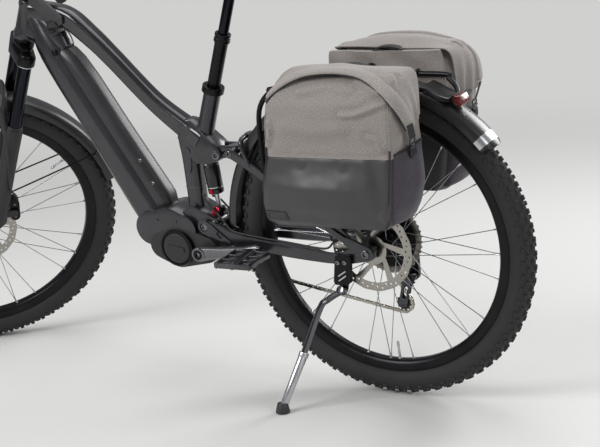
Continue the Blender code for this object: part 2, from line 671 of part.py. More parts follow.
# Charge port cap and key lock
cap = rod("port_cap", CAP_CENTRE - Y_AXIS * GAP, CAP_CENTRE - Y_AXIS * 0.0035, 0.0165, 24)
finish(cap, "charge_port_cap", "charge_cap", PLASTIC)
lock = rod("lock_barrel", LOCK_CENTRE - Y_AXIS * 0.0378, LOCK_CENTRE - Y_AXIS * 0.0323, 0.0079, 16)
finish(lock, "battery_lock", "key_lock", ALLOY)

# Seat clamp, dropper post and saddle
clamp_at = COLLAR - SEAT_AXIS * 0.131
clamp_profile = [(0.008, 0.0265), (-0.008, 0.0265), (-0.008, MAST_R + GAP), (0.008, MAST_R + GAP)]
finish(turned("clamp_ring", clamp_profile, clamp_at, SEAT_AXIS, 24), "seat_clamp", "frame", BLACK)
outer_profile = [(0.010, 0.0195), (-0.012, 0.0195), (-0.012, POST_R), (-0.218, POST_R),
                 (-0.218, POST_IN_R + GAP), (0.010, POST_IN_R + GAP)]
finish(turned("post_outer", outer_profile, COLLAR, SEAT_AXIS, 24), "seatpost_outer", "frame", BLACK)
POST_TOP = COLLAR + SEAT_AXIS * 0.172
post = rod("post_inner", COLLAR - SEAT_AXIS * 0.095, POST_TOP, POST_IN_R, 20)
post_head = block("post_head", POST_TOP + Vector((0.0, 0.0, 0.003)), (0.040, 0.044, 0.018))
finish(join(post, post_head), "seatpost_inner", "seatpost", BLACK)
RAIL_Z = POST_TOP.z + 0.0163
SADDLE_STATIONS = [(-0.155, 0.020, 0.020), (-0.140, 0.038, 0.034), (-0.080, 0.048, 0.036), (-0.010, 0.066,
                                                                                            0.032),
                   (0.050, 0.118, 0.036), (0.090, 0.142, 0.042), (0.115, 0.120, 0.030)]
saddle_rings = []
for offset, width, depth in SADDLE_STATIONS:
    lift = 0.0240 + 0.08 * abs(offset)
    middle = Vector((POST_TOP.x + offset, 0.0, RAIL_Z + lift))
    saddle_rings.append(rounded_ring(middle, Y_AXIS, Vector((0.0, 0.0, 1.0)), width, depth, 0.0095))
saddle = loft("saddle_shell", saddle_rings)
rails = []
for side in (-1.0, 1.0):
    rail_y = side * 0.022
    x0 = POST_TOP.x
    rails.append(tube("saddle_rail_%d" % side, [
        (x0 - 0.125, side * 0.012, RAIL_Z + 0.026), (x0 - 0.085, rail_y, RAIL_Z), (x0 + 0.060, rail_y,
                                                                                   RAIL_Z),
        (x0 + 0.095, side * 0.034, RAIL_Z + 0.024)], 0.0036))
finish(join(saddle, *rails), "saddle", "seatpost", SEAT_SKIN)

# Fork: crown, steerer and stanchions
crown_matrix = Matrix((-BACK_AXIS, Y_AXIS, UP_AXIS)).transposed().to_4x4()
crown_loop = hull([(0.0, -LEG_Y, 0.0235), (0.0, LEG_Y, 0.0235), (0.004, 0.0, 0.0290)], 14)
crown = flat("crown", [crown_loop], steer_point((CROWN_LOW + CROWN_TOP) / 2.0, 0.0, 0.0),
             CROWN_TOP - CROWN_LOW, crown_matrix)
steerer = rod("steerer", steer_point(CROWN_LOW + 0.01, 0.0, 0.0), steer_point(STEM_TOP - 0.002, 0.0, 0.0),
              STEERER_R, 24)
race = rod("crown_race", steer_point(CROWN_TOP - 0.003, 0.0, 0.0), steer_point(HEAD_LOW - GAP, 0.0, 0.0),
           0.0253, 18)
STANCHION_FOOT = 0.180
stanchions = [rod("stanchion_%d" % side, steer_point(STANCHION_FOOT, 0.0, side * LEG_Y),
                  steer_point(CROWN_LOW + 0.02, 0.0, side * LEG_Y), STANCHION_R, 16) for side in (-1, 1)]
finish(join(crown, steerer, race, *stanchions), "fork_upper", "steering", BLACK)

# Fork lowers with their arch
LEG_FOOT = 0.040
legs = []
for side in (-1, 1):
    legs.append(rod("leg_%d" % side, steer_point(LEG_FOOT, 0.0, side * LEG_Y),
                    steer_point(WIPER_AT, 0.0, side * LEG_Y), LEG_R, 16))
    low_y = side * LEG_Y - 0.0110
    foot_circles = [(STEER_FOOT.x + UP_AXIS.x * 0.055, STEER_FOOT.z + UP_AXIS.z * 0.055, 0.0200),
                    (FRONT.x, FRONT.z, 0.0190)]
    legs.append(side_plate("dropout_%d" % side, [hull(foot_circles)], low_y, low_y + 0.0220))
ARCH_AT = 0.399
ARCH_BEHIND = -0.036
arch_route = [(WIPER_AT - 0.030, -0.014, LEG_Y), (WIPER_AT + 0.018, -0.033, LEG_Y - 0.004),
              (ARCH_AT - 0.018, ARCH_BEHIND, LEG_Y - 0.018), (ARCH_AT, ARCH_BEHIND, 0.030)]
arch_points = [steer_point(a, b, -y) for a, b, y in arch_route]
arch_points += [steer_point(a, b, y) for a, b, y in reversed(arch_route)]
arch = tube("arch", arch_points, 0.0110, 2)


def from_front(x, z, radius):
    return (FRONT.x + x, FRONT.z + z, radius)


caliper_tab = side_plate("caliper_tab", [hull([from_front(0.0677, 0.0412, 0.010),
                                               from_front(0.1027, 0.0342, 0.010)])], -0.0665, -0.0583 - GAP)
lowers = join(legs[0], *legs[1:], arch, caliper_tab)
bores = []
for side in (-1, 1):
    bore_low = steer_point(0.070, 0.0, side * LEG_Y)
    bore_top = steer_point(WIPER_AT + 0.05, 0.0, side * LEG_Y)
    bores.append(rod("leg_bore_%d" % side, bore_low, bore_top, STANCHION_R + 0.0007, 16))
axle_bore = rod("front_axle_bore", FRONT - Y_AXIS * 0.1, FRONT + Y_AXIS * 0.1, FRONT_AXLE_R + GAP, 16)
finish(cut(lowers, *bores, axle_bore), "fork_lower", "fork_slide", BLACK)

front_caliper = side_plate("front_caliper_block", [hull([from_front(0.1027, 0.0212, 0.0130),
                                                         from_front(0.1097, 0.0572,
                                                                    0.0130)])], -0.0583, -0.0260)
cut(front_caliper, rod("front_rotor_room", FRONT + Y_AXIS * (FRONT_ROTOR_Y - 0.003),
                       FRONT + Y_AXIS * (FRONT_ROTOR_Y + 0.003), ROTOR_R + 0.0015, 40))
finish(front_caliper, "front_caliper", "fork_slide", BLACK)


# Fenders: a bent channel turned round its centre, then given a wall
def fender_shell(name, centre, radius, from_deg, sweep_deg, steps):
    mesh = bpy.data.meshes.new(name)
    start = math.radians(from_deg)
    section = [(radius - FENDER_SKIRT, FENDER_HALF + 0.0005), (radius - 0.0110, FENDER_HALF), (radius,
                                                                                               0.0180)]
    section = [(r, -y) for r, y in section] + [(r, y) for r, y in reversed(section)]
    points = [(r * math.cos(start), y, r * math.sin(start)) for r, y in section]
    mesh.from_pydata(points, [(k, k + 1) for k in range(len(points) - 1)], [])
    made = mesh_object(name, mesh)
    made.location = centre
    screw = made.modifiers.new("Screw", "SCREW")
    screw.axis = "Y"
    screw.angle = math.radians(sweep_deg)
    screw.steps = steps
    screw.render_steps = steps
    screw.merge_threshold = 0.00002
    wall = made.modifiers.new("Solidify", "SOLIDIFY")
    wall.thickness = FENDER_T
    wall.offset = 0.0
    return made


front_shell = fender_shell("front_fender_shell", FRONT, FRONT_FENDER_R, 122.0, 118.0, 20)
stays = []
stay_end = FRONT + Vector((0.9441, 0.0, 0.3297)) * (FRONT_FENDER_R + 0.0009)
for side in (-1, 1):
    stays.append(rod("front_stay_%d" % side, steer_point(0.1220, 0.0100, side * 0.0429),
                     stay_end + Y_AXIS * side * 0.0362, 0.0022, 8))
finish(join(front_shell, *stays), "front_fender", "fork_slide", PLASTIC)
rear_shell = fender_shell("rear_fender_shell", Vector((REAR_FENDER_X, 0.0, REAR_FENDER_Z)), REAR_FENDER_R,
                          177.0, 140.0, 24)
finish(rear_shell, "rear_fender", "seatstay", PLASTIC)

# Cockpit
stem = rod("stem_clamp", steer_point(STEM_LOW + 0.0005, 0.0, 0.0), steer_point(STEM_TOP, 0.0, 0.0), 0.0195,
           20)
stem_neck = rod("stem_neck", steer_point(BAR_AT - 0.014, 0.0, 0.0), BAR, 0.0150, 14)
bar_clamp = rod("bar_clamp", BAR - Y_AXIS * 0.024, BAR + Y_AXIS * 0.024, 0.0210, 20)
join(stem, stem_neck, bar_clamp)
cut(stem, rod("steerer_room", steer_point(0.60, 0.0, 0.0), steer_point(STEM_TOP - 0.0015, 0.0, 0.0),
              STEERER_R + GAP, 20),
    rod("bar_room", BAR - Y_AXIS * 0.05, BAR + Y_AXIS * 0.05, 0.0158 + GAP, 20))
finish(stem, "stem", "steering", BLACK)


def bar_point(y, rise, back):
    return BAR + UP_AXIS * rise + BACK_AXIS * back + Y_AXIS * y


BAR_ROUTE = [(0.045, 0.0, 0.0), (0.075, 0.010, 0.0), (0.120, 0.044, 0.002), (0.150, 0.050, 0.006),
             (BAR_HALF, 0.066, 0.040)]
bar_points = [bar_point(-y, r, b) for y, r, b in reversed(BAR_ROUTE)]
bar_points += [bar_point(y, r, b) for y, r, b in BAR_ROUTE]
bar = tube("bar_tube", bar_points, BAR_R, 3)
bulge = rod("bar_bulge", BAR - Y_AXIS * 0.036, BAR + Y_AXIS * 0.036, 0.0158, 20)
finish(join(bar, bulge), "handlebar", "steering", BLACK)


def on_bar(side, y, up=0.0, back=0.0):
    """A point near the handlebar's straight end, y metres out from the middle."""
    (y0, r0, b0), (y1, r1, b1) = BAR_ROUTE[-2], BAR_ROUTE[-1]
    share = (y - y0) / (y1 - y0)
    return bar_point(side * y, r0 + (r1 - r0) * share + up, b0 + (b1 - b0) * share + back)


LEVER_BACK = -0.034
STEER_FRAME = Matrix((BACK_AXIS, Y_AXIS, UP_AXIS)).transposed().to_4x4()
for side, word in ((-1, "left"), (1, "right")):
    grip = rod("grip_" + word + "_sleeve", on_bar(side, 0.248), on_bar(side, BAR_HALF + 0.002), 0.0160, 16)
    cut(grip, rod("grip_bore_" + word, on_bar(side, 0.20), on_bar(side, BAR_HALF + 0.0003), BAR_R + GAP, 20))
    finish(grip, "grip_" + word, "steering", RUBBER)
    clamp = rod("brake_clamp_" + word, on_bar(side, 0.206), on_bar(side, 0.222), 0.0165, 16)
    tank = rod("brake_tank_" + word, on_bar(side, 0.177, -0.004, -0.024), on_bar(side, 0.226, -0.004,
                                                                                 -0.026),
               0.0100, 12)
    ear = block("brake_ear_" + word, on_bar(side, 0.2265, 0.0, -0.0315), (0.019, 0.031, 0.0205), STEER_FRAME)
    thumb_root = on_bar(side, THUMB_Y, -0.026, 0.004)
    pod = rod("thumb_pod_" + word, thumb_root, thumb_root + UP_AXIS * 0.011, 0.0100)
    pod_arm = rod("thumb_arm_" + word, on_bar(side, THUMB_Y, -0.0195, 0.004), on_bar(side, 0.216, -0.0145,
                                                                                     0.002),
                  0.0050)
    join(clamp, tank, ear, pod, pod_arm)
    cut(clamp, rod("brake_bore_" + word, on_bar(side, 0.19), on_bar(side, 0.24), BAR_R + GAP, 20),
        rod("brake_room_" + word, on_bar(side, 0.235, -0.0064, LEVER_BACK), on_bar(side, 0.235, 0.0064,
                                                                                   LEVER_BACK),
            0.0125, 14))
    finish(clamp, "brake_body_" + word, "steering", BLACK)
    root = on_bar(side, 0.235, 0.0, LEVER_BACK)
    blade = tube("brake_blade_" + word, [root, on_bar(side, 0.262, 0.0, -0.048), on_bar(side, 0.300, 0.0,
                                                                                        -0.050),
                                         on_bar(side, 0.345, 0.0, -0.043)], 0.0045)
    hub = rod("brake_hub_" + word, root - UP_AXIS * 0.006, root + UP_AXIS * 0.006, 0.0070, 12)
    finish(join(hub, blade), "brake_lever_" + word, "brake_lever_" + word, ALLOY)
    name = "dropper_lever" if side < 0 else "shift_lever"
    paddle = tube(name + "_paddle", [thumb_root - UP_AXIS * 0.008, on_bar(side, 0.205, -0.036, 0.020),
                                     on_bar(side, 0.228, -0.040, 0.032)], 0.0050)
    boss = rod(name + "_boss", thumb_root - UP_AXIS * 0.015, thumb_root - UP_AXIS * GAP, 0.0085)
    finish(join(boss, paddle), name, name, BLACK)

remote = rod("remote_ring", on_bar(-1, 0.158), on_bar(-1, 0.168), 0.0150, 16)
remote_pad = block("remote_pad", on_bar(-1, 0.163, 0.0150, 0.010), (0.034, 0.016, 0.010))
join(remote, remote_pad)
cut(remote, rod("remote_bore", on_bar(-1, 0.151), on_bar(-1, 0.18), BAR_R + GAP, 20))
finish(remote, "assist_remote", "steering", PLASTIC)
lamp_at = BAR - BACK_AXIS * 0.060 - UP_AXIS * 0.006
lamp = rod("lamp_shell", lamp_at, lamp_at - BACK_AXIS * 0.038, 0.0170, 20, 0.0220)
lamp_foot = rod("lamp_foot", BAR - BACK_AXIS * (0.0210 + GAP), lamp_at - BACK_AXIS * 0.004, 0.0070, 12)
finish(join(lamp, lamp_foot), "headlight", "steering", PLASTIC)


# Rear triangle: chainstay
def stay_ring(x, top, bottom, y, thick, side):
    middle = Vector((x, side * y, (top + bottom) / 2.0))
    return rounded_ring(middle, Y_AXIS, Vector((0.0, 0.0, 1.0)), thick, top - bottom, min(0.004,
                                                                                          thick * 0.3), 2)


YOKE_Y = (ARM_IN_Y + ARM_OUT_Y) / 2.0
YOKE_T = ARM_OUT_Y - ARM_IN_Y
CHAIN_DROP_MID = CHAIN_DROP_Y + DROP_T / 2.0
CHAINSTAY_STATIONS = [
    (0.146, 0.4120, 0.3800, YOKE_Y, YOKE_T - 0.001), (0.190, 0.4000, 0.3540, YOKE_Y, YOKE_T - 0.001),
    (0.229, 0.3840, 0.3500, YOKE_Y, YOKE_T - 0.001), (0.300, 0.3760, 0.3460, 0.0480, 0.0130),
    (0.388, 0.3720, 0.3400, 0.0590, 0.0150), (0.470, 0.3670, 0.3380, 0.0700, 0.0150),
    (0.512, 0.3655, 0.3385, CHAIN_DROP_MID, DROP_T - 0.001), (0.560, 0.3700, 0.3420, CHAIN_DROP_MID,
                                                              DROP_T - 0.001)]
stay_pieces = []
for side in (-1, 1):
    stay_pieces.append(loft("chainstay_arm_%d" % side, [stay_ring(*row,
                                                                  side) for row in CHAINSTAY_STATIONS]))
    faces = sorted((side * ARM_IN_Y, side * ARM_OUT_Y))
    stay_pieces.append(side_plate("pivot_eye_%d" % side, [circle(MAIN_PIVOT, 0.0190)], *faces))
    faces = sorted((side * CHAIN_DROP_Y, side * (CHAIN_DROP_Y + DROP_T)))
    stay_pieces.append(side_plate("chain_dropout_%d" % side,
                                  [hull([(REAR.x, REAR.z, 0.0200), (0.545, 0.354, 0.0155)])], *faces))
stay_pieces.append(block("yoke_bridge", (0.1900, 0.0, 0.3640), (0.0170, 2.0 * ARM_IN_Y + 0.004, 0.0230)))
hanger = side_plate("hanger", [hull([(REAR.x, REAR.z, 0.0150), (0.6300, 0.3300, 0.0100)])],
                    CHAIN_DROP_Y + 0.0005, CHAIN_DROP_Y + DROP_T - 0.0005)
stay_pieces.append(hanger)
chainstay = join(stay_pieces[0], *stay_pieces[1:])
cut(chainstay, rod("main_pivot_bore", xz(MAIN_PIVOT, -0.1), xz(MAIN_PIVOT, 0.1), PIN_R + GAP, 16),
    rod("rear_axle_bore", REAR - Y_AXIS * 0.1, REAR + Y_AXIS * 0.1, REAR_AXLE_R + GAP, 16))
finish(chainstay, "chainstay", "chainstay", PAINT)

# Rear triangle: seatstay with its bridge over the fender
STAY_DROP_MID = STAY_DROP_Y + DROP_T / 2.0
SEATSTAY_STATIONS = [
    (*ROCKER_TAIL, 0.0425, 0.0080, 0.0210), (0.3000, 0.5500, 0.0432, 0.0090, 0.0220),
    (0.4200, 0.4800, 0.0620, 0.0100, 0.0200), (0.5000, 0.4325, 0.0800, 0.0090, 0.0190),
    (0.5450, 0.4065, STAY_DROP_MID, DROP_T - 0.001, 0.0180), (0.5900, 0.3800, STAY_DROP_MID, DROP_T - 0.001,
                                                              0.0180)]
stay_run = (REAR - xz(ROCKER_TAIL)).normalized()
stay_up = Vector((-stay_run.z, 0.0, stay_run.x))
seat_pieces = []
for side in (-1, 1):
    rings = []
    for x, z, y, thick, height in SEATSTAY_STATIONS:
        rings.append(rounded_ring(Vector((x, side * y, z)), Y_AXIS, stay_up, thick, height, 0.003, 2))
    seat_pieces.append(loft("seatstay_arm_%d" % side, rings))
    faces = sorted((side * (TAIL_Y + RUN), side * 0.0465))
    seat_pieces.append(side_plate("tail_eye_%d" % side, [circle(ROCKER_TAIL, 0.0115)], *faces))
    faces = sorted((side * STAY_DROP_Y, side * (STAY_DROP_Y + DROP_T)))
    seat_pieces.append(side_plate("seat_dropout_%d" % side,
                                  [hull([(REAR.x, REAR.z, 0.0180), (0.5600, 0.3980, 0.0100)])], *faces))
seat_pieces.append(rod("caliper_boss", (0.5350, -0.0780, 0.4220), (0.5350, -0.0850, 0.4220), 0.0060))
TAIL_PIN_R = 0.0045
seat_pieces.append(rod("tail_pin", xz(ROCKER_TAIL, -0.044), xz(ROCKER_TAIL, 0.044), TAIL_PIN_R, 12))
BRIDGE_ROUTE = [(0.3000, 0.0435, 0.5520), (0.2850, 0.0430, 0.5930), (0.2790, 0.0340, 0.6120), (0.2770, 0.0,
                                                                                               0.6150)]
bridge = [Vector((x, -y, z)) for x, y, z in BRIDGE_ROUTE] + [Vector((x, y, z)) for x, y,
                                                             z in BRIDGE_ROUTE[-2::-1]]
seat_pieces.append(tube("stay_bridge", bridge, 0.0060, 2))
fender_middle = Vector((REAR_FENDER_X, 0.0, REAR_FENDER_Z))
bridge_out = (Vector(BRIDGE_ROUTE[-1]) - fender_middle).normalized()
fender_outer = REAR_FENDER_R + FENDER_T / 2.0
seat_pieces.append(rod("fender_lug", fender_middle + bridge_out * (fender_outer + 0.0008),
                       Vector(BRIDGE_ROUTE[-1]),
                       0.0060, 12))
seatstay = join(seat_pieces[0], *seat_pieces[1:])
cut(seatstay, rod("stay_axle_bore", REAR - Y_AXIS * 0.1, REAR + Y_AXIS * 0.1, REAR_AXLE_R + GAP, 16))
finish(seatstay, "seatstay", "seatstay", PAINT)

# Rocker link
ROCKER_IN_Y = 0.0125
rocker_loop = hull([(*SHOCK_TOP, 0.0105), (*ROCKER_PIVOT, 0.0122), (*ROCKER_TAIL, 0.0114)])
rocker_plates = [side_plate("rocker_plate_%d" % side, [rocker_loop], *sorted((side * ROCKER_IN_Y,
                                                                              side * 0.0210)))
                 for side in (-1, 1)]
rocker_hub = rod("rocker_hub", xz(ROCKER_PIVOT, -0.0205), xz(ROCKER_PIVOT, 0.0205), 0.0110)
rocker_tail = rod("rocker_tail", xz(ROCKER_TAIL, -TAIL_Y), xz(ROCKER_TAIL, TAIL_Y), 0.0097)
SHOCK_PIN_R = 0.0040
rocker_shock_pin = rod("rocker_shock_pin", xz(SHOCK_TOP, -0.0180), xz(SHOCK_TOP, 0.0180), SHOCK_PIN_R, 12)
rocker = join(rocker_plates[0], rocker_plates[1], rocker_hub, rocker_tail, rocker_shock_pin)
cut(rocker, rod("rocker_bore", xz(ROCKER_PIVOT, -0.05), xz(ROCKER_PIVOT, 0.05), ROCKER_PIN_R + GAP, 16),
    rod("tail_bore", xz(ROCKER_TAIL, -0.05), xz(ROCKER_TAIL, 0.05), TAIL_PIN_R + LINK_CLEARANCE, 16))
finish(rocker, "rocker_link", "rocker", PAINT)


# Shock
def shock_point(along):
    return xz(SHOCK_FOOT) + SHOCK_AXIS * along


CAN_FROM = 0.0660
CAN_TO = 0.1530
CAN_R = 0.0195
SHAFT_R = 0.0060
foot_eye = rod("shock_foot_eye", xz(SHOCK_FOOT, -EYE_HALF), xz(SHOCK_FOOT, EYE_HALF), 0.0110)
foot_body = rod("shock_foot_body", shock_point(0.006), shock_point(0.031), 0.0088, 12)
damper = rod("shock_damper", shock_point(0.020), shock_point(0.031), 0.0150, 20)
shaft = rod("shock_shaft_rod", shock_point(0.028), shock_point(0.126), SHAFT_R, 16)
join(foot_eye, foot_body, damper, shaft)
cut(foot_eye, rod("shock_foot_bore", xz(SHOCK_FOOT, -0.05), xz(SHOCK_FOOT, 0.05), 0.0040 + GAP, 12))
finish(foot_eye, "shock_shaft", "shock", STEEL)
can = rod("shock_can_tube", shock_point(CAN_FROM), shock_point(CAN_TO), CAN_R, 24)
neck = rod("shock_neck", shock_point(CAN_TO - 0.004), shock_point(SHOCK_LENGTH - 0.004), 0.0085, 12)
top_eye = rod("shock_top_eye", xz(SHOCK_TOP, -EYE_HALF), xz(SHOCK_TOP, EYE_HALF), 0.0108)
join(can, neck, top_eye)
cut(can, rod("can_bore", shock_point(0.05), shock_point(0.1605), SHAFT_R + GAP, 16),
    rod("top_eye_bore", xz(SHOCK_TOP, -0.05), xz(SHOCK_TOP, 0.05), SHOCK_PIN_R + LINK_CLEARANCE, 16))
finish(can, "shock_body", "shock_can", BLACK)
knob_at = shock_point(KNOB_AT)
finish(rod("knob", knob_at - Y_AXIS * (0.0150 + GAP), knob_at - Y_AXIS * 0.0215, 0.0085, 12),
       "shock_knob", "shock_knob", RED_ALLOY)


# Crank set and pedals
def arm_plate(side):
    end = crank_end(side)
    loop = hull([(CRANK.x, CRANK.z, 0.0185), (end.x, end.z, 0.0140)])
    return side_plate("crank_arm_%d" % side, [loop], *sorted((side * ARM_Y_IN, side * ARM_Y_OUT)))


ring_loops = [circle((CRANK.x, CRANK.z), RING_R, 32)]
for window in range(5):
    first = (window + 0.14) * 2.0 * math.pi / 5.0
    last = (window + 0.86) * 2.0 * math.pi / 5.0
    turns = [first + (last - first) * k / 3.0 for k in range(4)]
    loop = [(0.0540 * math.cos(t), 0.0540 * math.sin(t)) for t in turns]
    loop += [(0.0270 * math.cos(t), 0.0270 * math.sin(t)) for t in reversed(turns)]
    ring_loops.append([(CRANK.x + x, CRANK.z + z) for x, z in loop])
RING_HALF = 0.0020
chainring = side_plate("chainring", ring_loops, CHAIN_Y - RING_HALF + GAP, CHAIN_Y + RING_HALF)
spindle = rod("spindle", CRANK - Y_AXIS * (ARM_Y_OUT - 0.002), CRANK + Y_AXIS * (ARM_Y_OUT - 0.002),
              SPINDLE_R, 24)
spider = rod("spider", CRANK + Y_AXIS * (CHAIN_Y + 0.001), CRANK + Y_AXIS * (ARM_Y_IN + 0.002), 0.0200, 20)
finish(join(spindle, arm_plate(-1), arm_plate(1), chainring, spider), "crankset", "crank", ALLOY)

PEDAL_X = 0.0500
PEDAL_T = 0.0150
for side, word in ((-1, "left"), (1, "right")):
    end = crank_end(side)
    inner_y = side * 0.0930
    outer_y = side * 0.1900

    span = outer_y - inner_y
    cage = block("pedal_cage_" + word, (end.x, (inner_y + outer_y) / 2.0, end.z),
                 (2.0 * PEDAL_X, abs(span), PEDAL_T))
    holes = []
    for half in (-1, 1):
        for low, high in ((0.08, 0.34), (0.40, 0.62), (0.68, 0.90)):
            hole_y = inner_y + span * (low + high) / 2.0
            hole_x = end.x + half * 0.0285
            holes.append(block("pedal_hole", (hole_x, hole_y, end.z),
                               (0.0290, abs(span) * (high - low), 2.0 * PEDAL_T)))
    cut(cage, *holes)
    shaft_start = Vector((end.x, side * (ARM_Y_OUT + GAP), end.z))
    axle = rod("pedal_axle_" + word, shaft_start, Vector((end.x, side * 0.1860, end.z)), 0.0068)
    finish(join(cage, axle), "pedal_" + word, "pedal_" + word, ALLOY)


# Chain: a band round the chainring, a cog and both pulleys
def belt(circles):
    """Tangent points and arcs round directed circles (x, z, radius, side); side -1 turns clockwise."""
    count = len(circles)
    leave = []
    reach = []
    for k in range(count):
        x1, z1, r1, s1 = circles[k]
        x2, z2, r2, s2 = circles[(k + 1) % count]
        offset = s2 * r2 - s1 * r1
        distance = math.hypot(x2 - x1, z2 - z1)
        along = math.sqrt(distance * distance - offset * offset)
        heading = math.atan2(z2 - z1, x2 - x1) - math.atan2(offset, along)
        normal = (-math.sin(heading), math.cos(heading))
        leave.append((x1 - s1 * r1 * normal[0], z1 - s1 * r1 * normal[1]))
        reach.append((x2 - s2 * r2 * normal[0], z2 - s2 * r2 * normal[1]))
    path = []
    for k in range(count):
        x, z, radius, side = circles[k]
        first = math.atan2(reach[k - 1][1] - z, reach[k - 1][0] - x)
        last = math.atan2(leave[k][1] - z, leave[k][0] - x)
        sweep = (last - first) * side % (2.0 * math.pi) * side
        steps = max(2, int(abs(sweep) / math.radians(24.0)))
        corner_r = radius / math.cos(sweep / steps / 2.0)
        stops = [(first, radius)]
        stops += [(first + sweep * (step + 0.5) / steps, corner_r) for step in range(steps)]
        stops.append((last, radius))
        path += [(x + r * math.cos(turn), z + r * math.sin(turn)) for turn, r in stops]
    return path


def chain_loop(outward):
    circles = []
    for x, z, radius, side in ((CRANK.x, CRANK.z, RING_R, -1), (REAR.x, REAR.z, COG_R, -1),
                               (*GUIDE_PULLEY, PULLEY_R, 1), (*TENSION_PULLEY, PULLEY_R, -1)):
        near = radius + 0.0009
        far = near + CHAIN_T
        wanted = far if (outward and side < 0) or (not outward and side > 0) else near
        circles.append((x, z, wanted, side))
    return belt(circles)


chain = side_plate("chain_band", [chain_loop(True), chain_loop(False)], CHAIN_Y - CHAIN_W / 2.0,
                   CHAIN_Y + CHAIN_W / 2.0)
finish(chain, "chain", "chainstay", STEEL)

# Derailleur: body on the hanger, cage with both pulleys
body_low = CHAIN_DROP_Y + DROP_T + GAP
derailleur = side_plate("derailleur_arm", [hull([(0.6300, 0.3300, 0.0120), (*GUIDE_PULLEY, 0.0130)])],
                        body_low, body_low + 0.0140)
link = side_plate("derailleur_link", [circle(GUIDE_PULLEY, 0.0125, 16)], 0.0612 + RUN, body_low + 0.002)
finish(join(derailleur, link), "derailleur", "chainstay", BLACK)
cage_loop = hull([(*GUIDE_PULLEY, 0.0110), (*TENSION_PULLEY, 0.0110)])
cage_gap = CHAIN_W / 2.0 + 0.0006
cage_near = side_plate("cage_near", [cage_loop], CHAIN_Y + cage_gap, CHAIN_Y + cage_gap + 0.0016)
cage_far = side_plate("cage_far", [cage_loop], CHAIN_Y - cage_gap - 0.0016, CHAIN_Y - cage_gap)
pulleys = []
for k, centre in enumerate((GUIDE_PULLEY, TENSION_PULLEY)):
    pulleys.append(side_plate("pulley_%d" % k, [circle(centre, PULLEY_R, 20)], CHAIN_Y - 0.001,
                              CHAIN_Y + 0.001))
    pulleys.append(side_plate("pulley_hub_%d" % k, [circle(centre, 0.0060, 12)], CHAIN_Y - cage_gap - 0.001,
                              CHAIN_Y + cage_gap + 0.001))
finish(join(cage_near, cage_far, *pulleys), "derailleur_cage", "derailleur_cage", BLACK)

# Side stand
STAND_FOOT = Vector((0.4255, -0.2328, 0.0275))
STAND_BEND = Vector((0.4860, -0.1060, 0.2490))
bracket_loop = [
    (0.5260, 0.3620), (0.5680, 0.3640), (0.5620, 0.3000), (0.5500, 0.2920), (0.5200, 0.2920),
    (0.5160, 0.2990)]
bracket_y = CHAIN_DROP_Y + DROP_T + GAP
bracket = side_plate("bracket_plate", [bracket_loop], -bracket_y - 0.0100, -bracket_y)
finish(bracket, "stand_bracket", "chainstay", BLACK)
ground_up = (lean_turn.inverted() @ Vector((0.0, 0.0, 1.0))).normalized()
STAND_AXIS = Vector((-0.195, -0.823, 0.533)).normalized()
leg_dir = (STAND_FOOT - STAND_BEND).normalized()
FOOT_T = 0.0120
leg_top = tube("stand_leg_top", [STAND_PIVOT, STAND_BEND, STAND_BEND + leg_dir * 0.125], 0.0085, 2)
sleeve = rod("stand_sleeve", STAND_BEND + leg_dir * 0.120, STAND_FOOT + ground_up * 0.008, 0.0105, 16)
barrel = rod("stand_barrel", STAND_PIVOT - STAND_AXIS * 0.009, STAND_PIVOT + STAND_AXIS * 0.009, 0.0105, 16)
foot = rod("stand_foot", STAND_FOOT, STAND_FOOT + ground_up * FOOT_T, 0.0170, 20)
finish(join(barrel, leg_top, sleeve, foot), "stand_leg", "stand", ALLOY)

# Rear brake caliper, rack and tail light
rear_caliper = side_plate("rear_caliper_block", [hull([(0.5240, 0.4020, 0.0130), (0.5480, 0.4400, 0.0130)])],
                          -0.0776, -0.0490)
cut(rear_caliper, rod("rear_rotor_room", REAR + Y_AXIS * (REAR_ROTOR_Y - 0.003),
                      REAR + Y_AXIS * (REAR_ROTOR_Y + 0.003), ROTOR_R + 0.0015, 40))
finish(rear_caliper, "rear_caliper", "seatstay", BLACK)

TAIL_X = 0.8120
TAIL_Z = 0.7105
RACK_ROUTE = [
    (0.3353, 0.0484, 0.5426), (0.3415, 0.0488, 0.5532), (0.3440, 0.0520, 0.6100), (0.3560, 0.0600, 0.6900),
    (0.3920, RACK_Y, 0.7330), (0.4300, RACK_Y, RACK_Z), (0.7450, RACK_Y, RACK_Z), (0.7780, 0.0600, 0.7370),
    (0.8000, 0.0480, 0.7210), (TAIL_X, 0.0260, TAIL_Z), (TAIL_X, 0.0, TAIL_Z)]
rack_points = [Vector((x, -y, z)) for x, y, z in RACK_ROUTE]
rack_points += [Vector((x, y, z)) for x, y, z in RACK_ROUTE[-2::-1]]
rack_pieces = [tube("rack_loop", rack_points, RACK_R, 2)]
for side in (-1, 1):
    leg = [(0.6400, RACK_Y, RACK_Z), (0.6350, RACK_Y, 0.5000), (0.6200, STAY_DROP_MID, 0.4300),
           (0.6162, STAY_DROP_MID, 0.4094), (0.6060, STAY_DROP_MID, 0.3922)]
    rack_pieces.append(tube("rack_leg_%d" % side, [Vector((x, side * y, z)) for x, y, z in leg], 0.0045, 2))
rack_pieces.append(rod("rack_cross_front", (0.4400, -RACK_Y, RACK_Z), (0.4400, RACK_Y, RACK_Z), 0.0045, 10))
hoop = [(0.6050, -RACK_Y, RACK_Z), (0.6050, -0.0440, 0.7700), (0.6050, -0.0200, 0.7755),
        (0.6050, 0.0200, 0.7755), (0.6050, 0.0440, 0.7700), (0.6050, RACK_Y, RACK_Z)]
rack_pieces.append(tube("rack_hoop", hoop, 0.0045, 2))
finish(join(rack_pieces[0], *rack_pieces[1:]), "rack", "seatstay", BLACK)
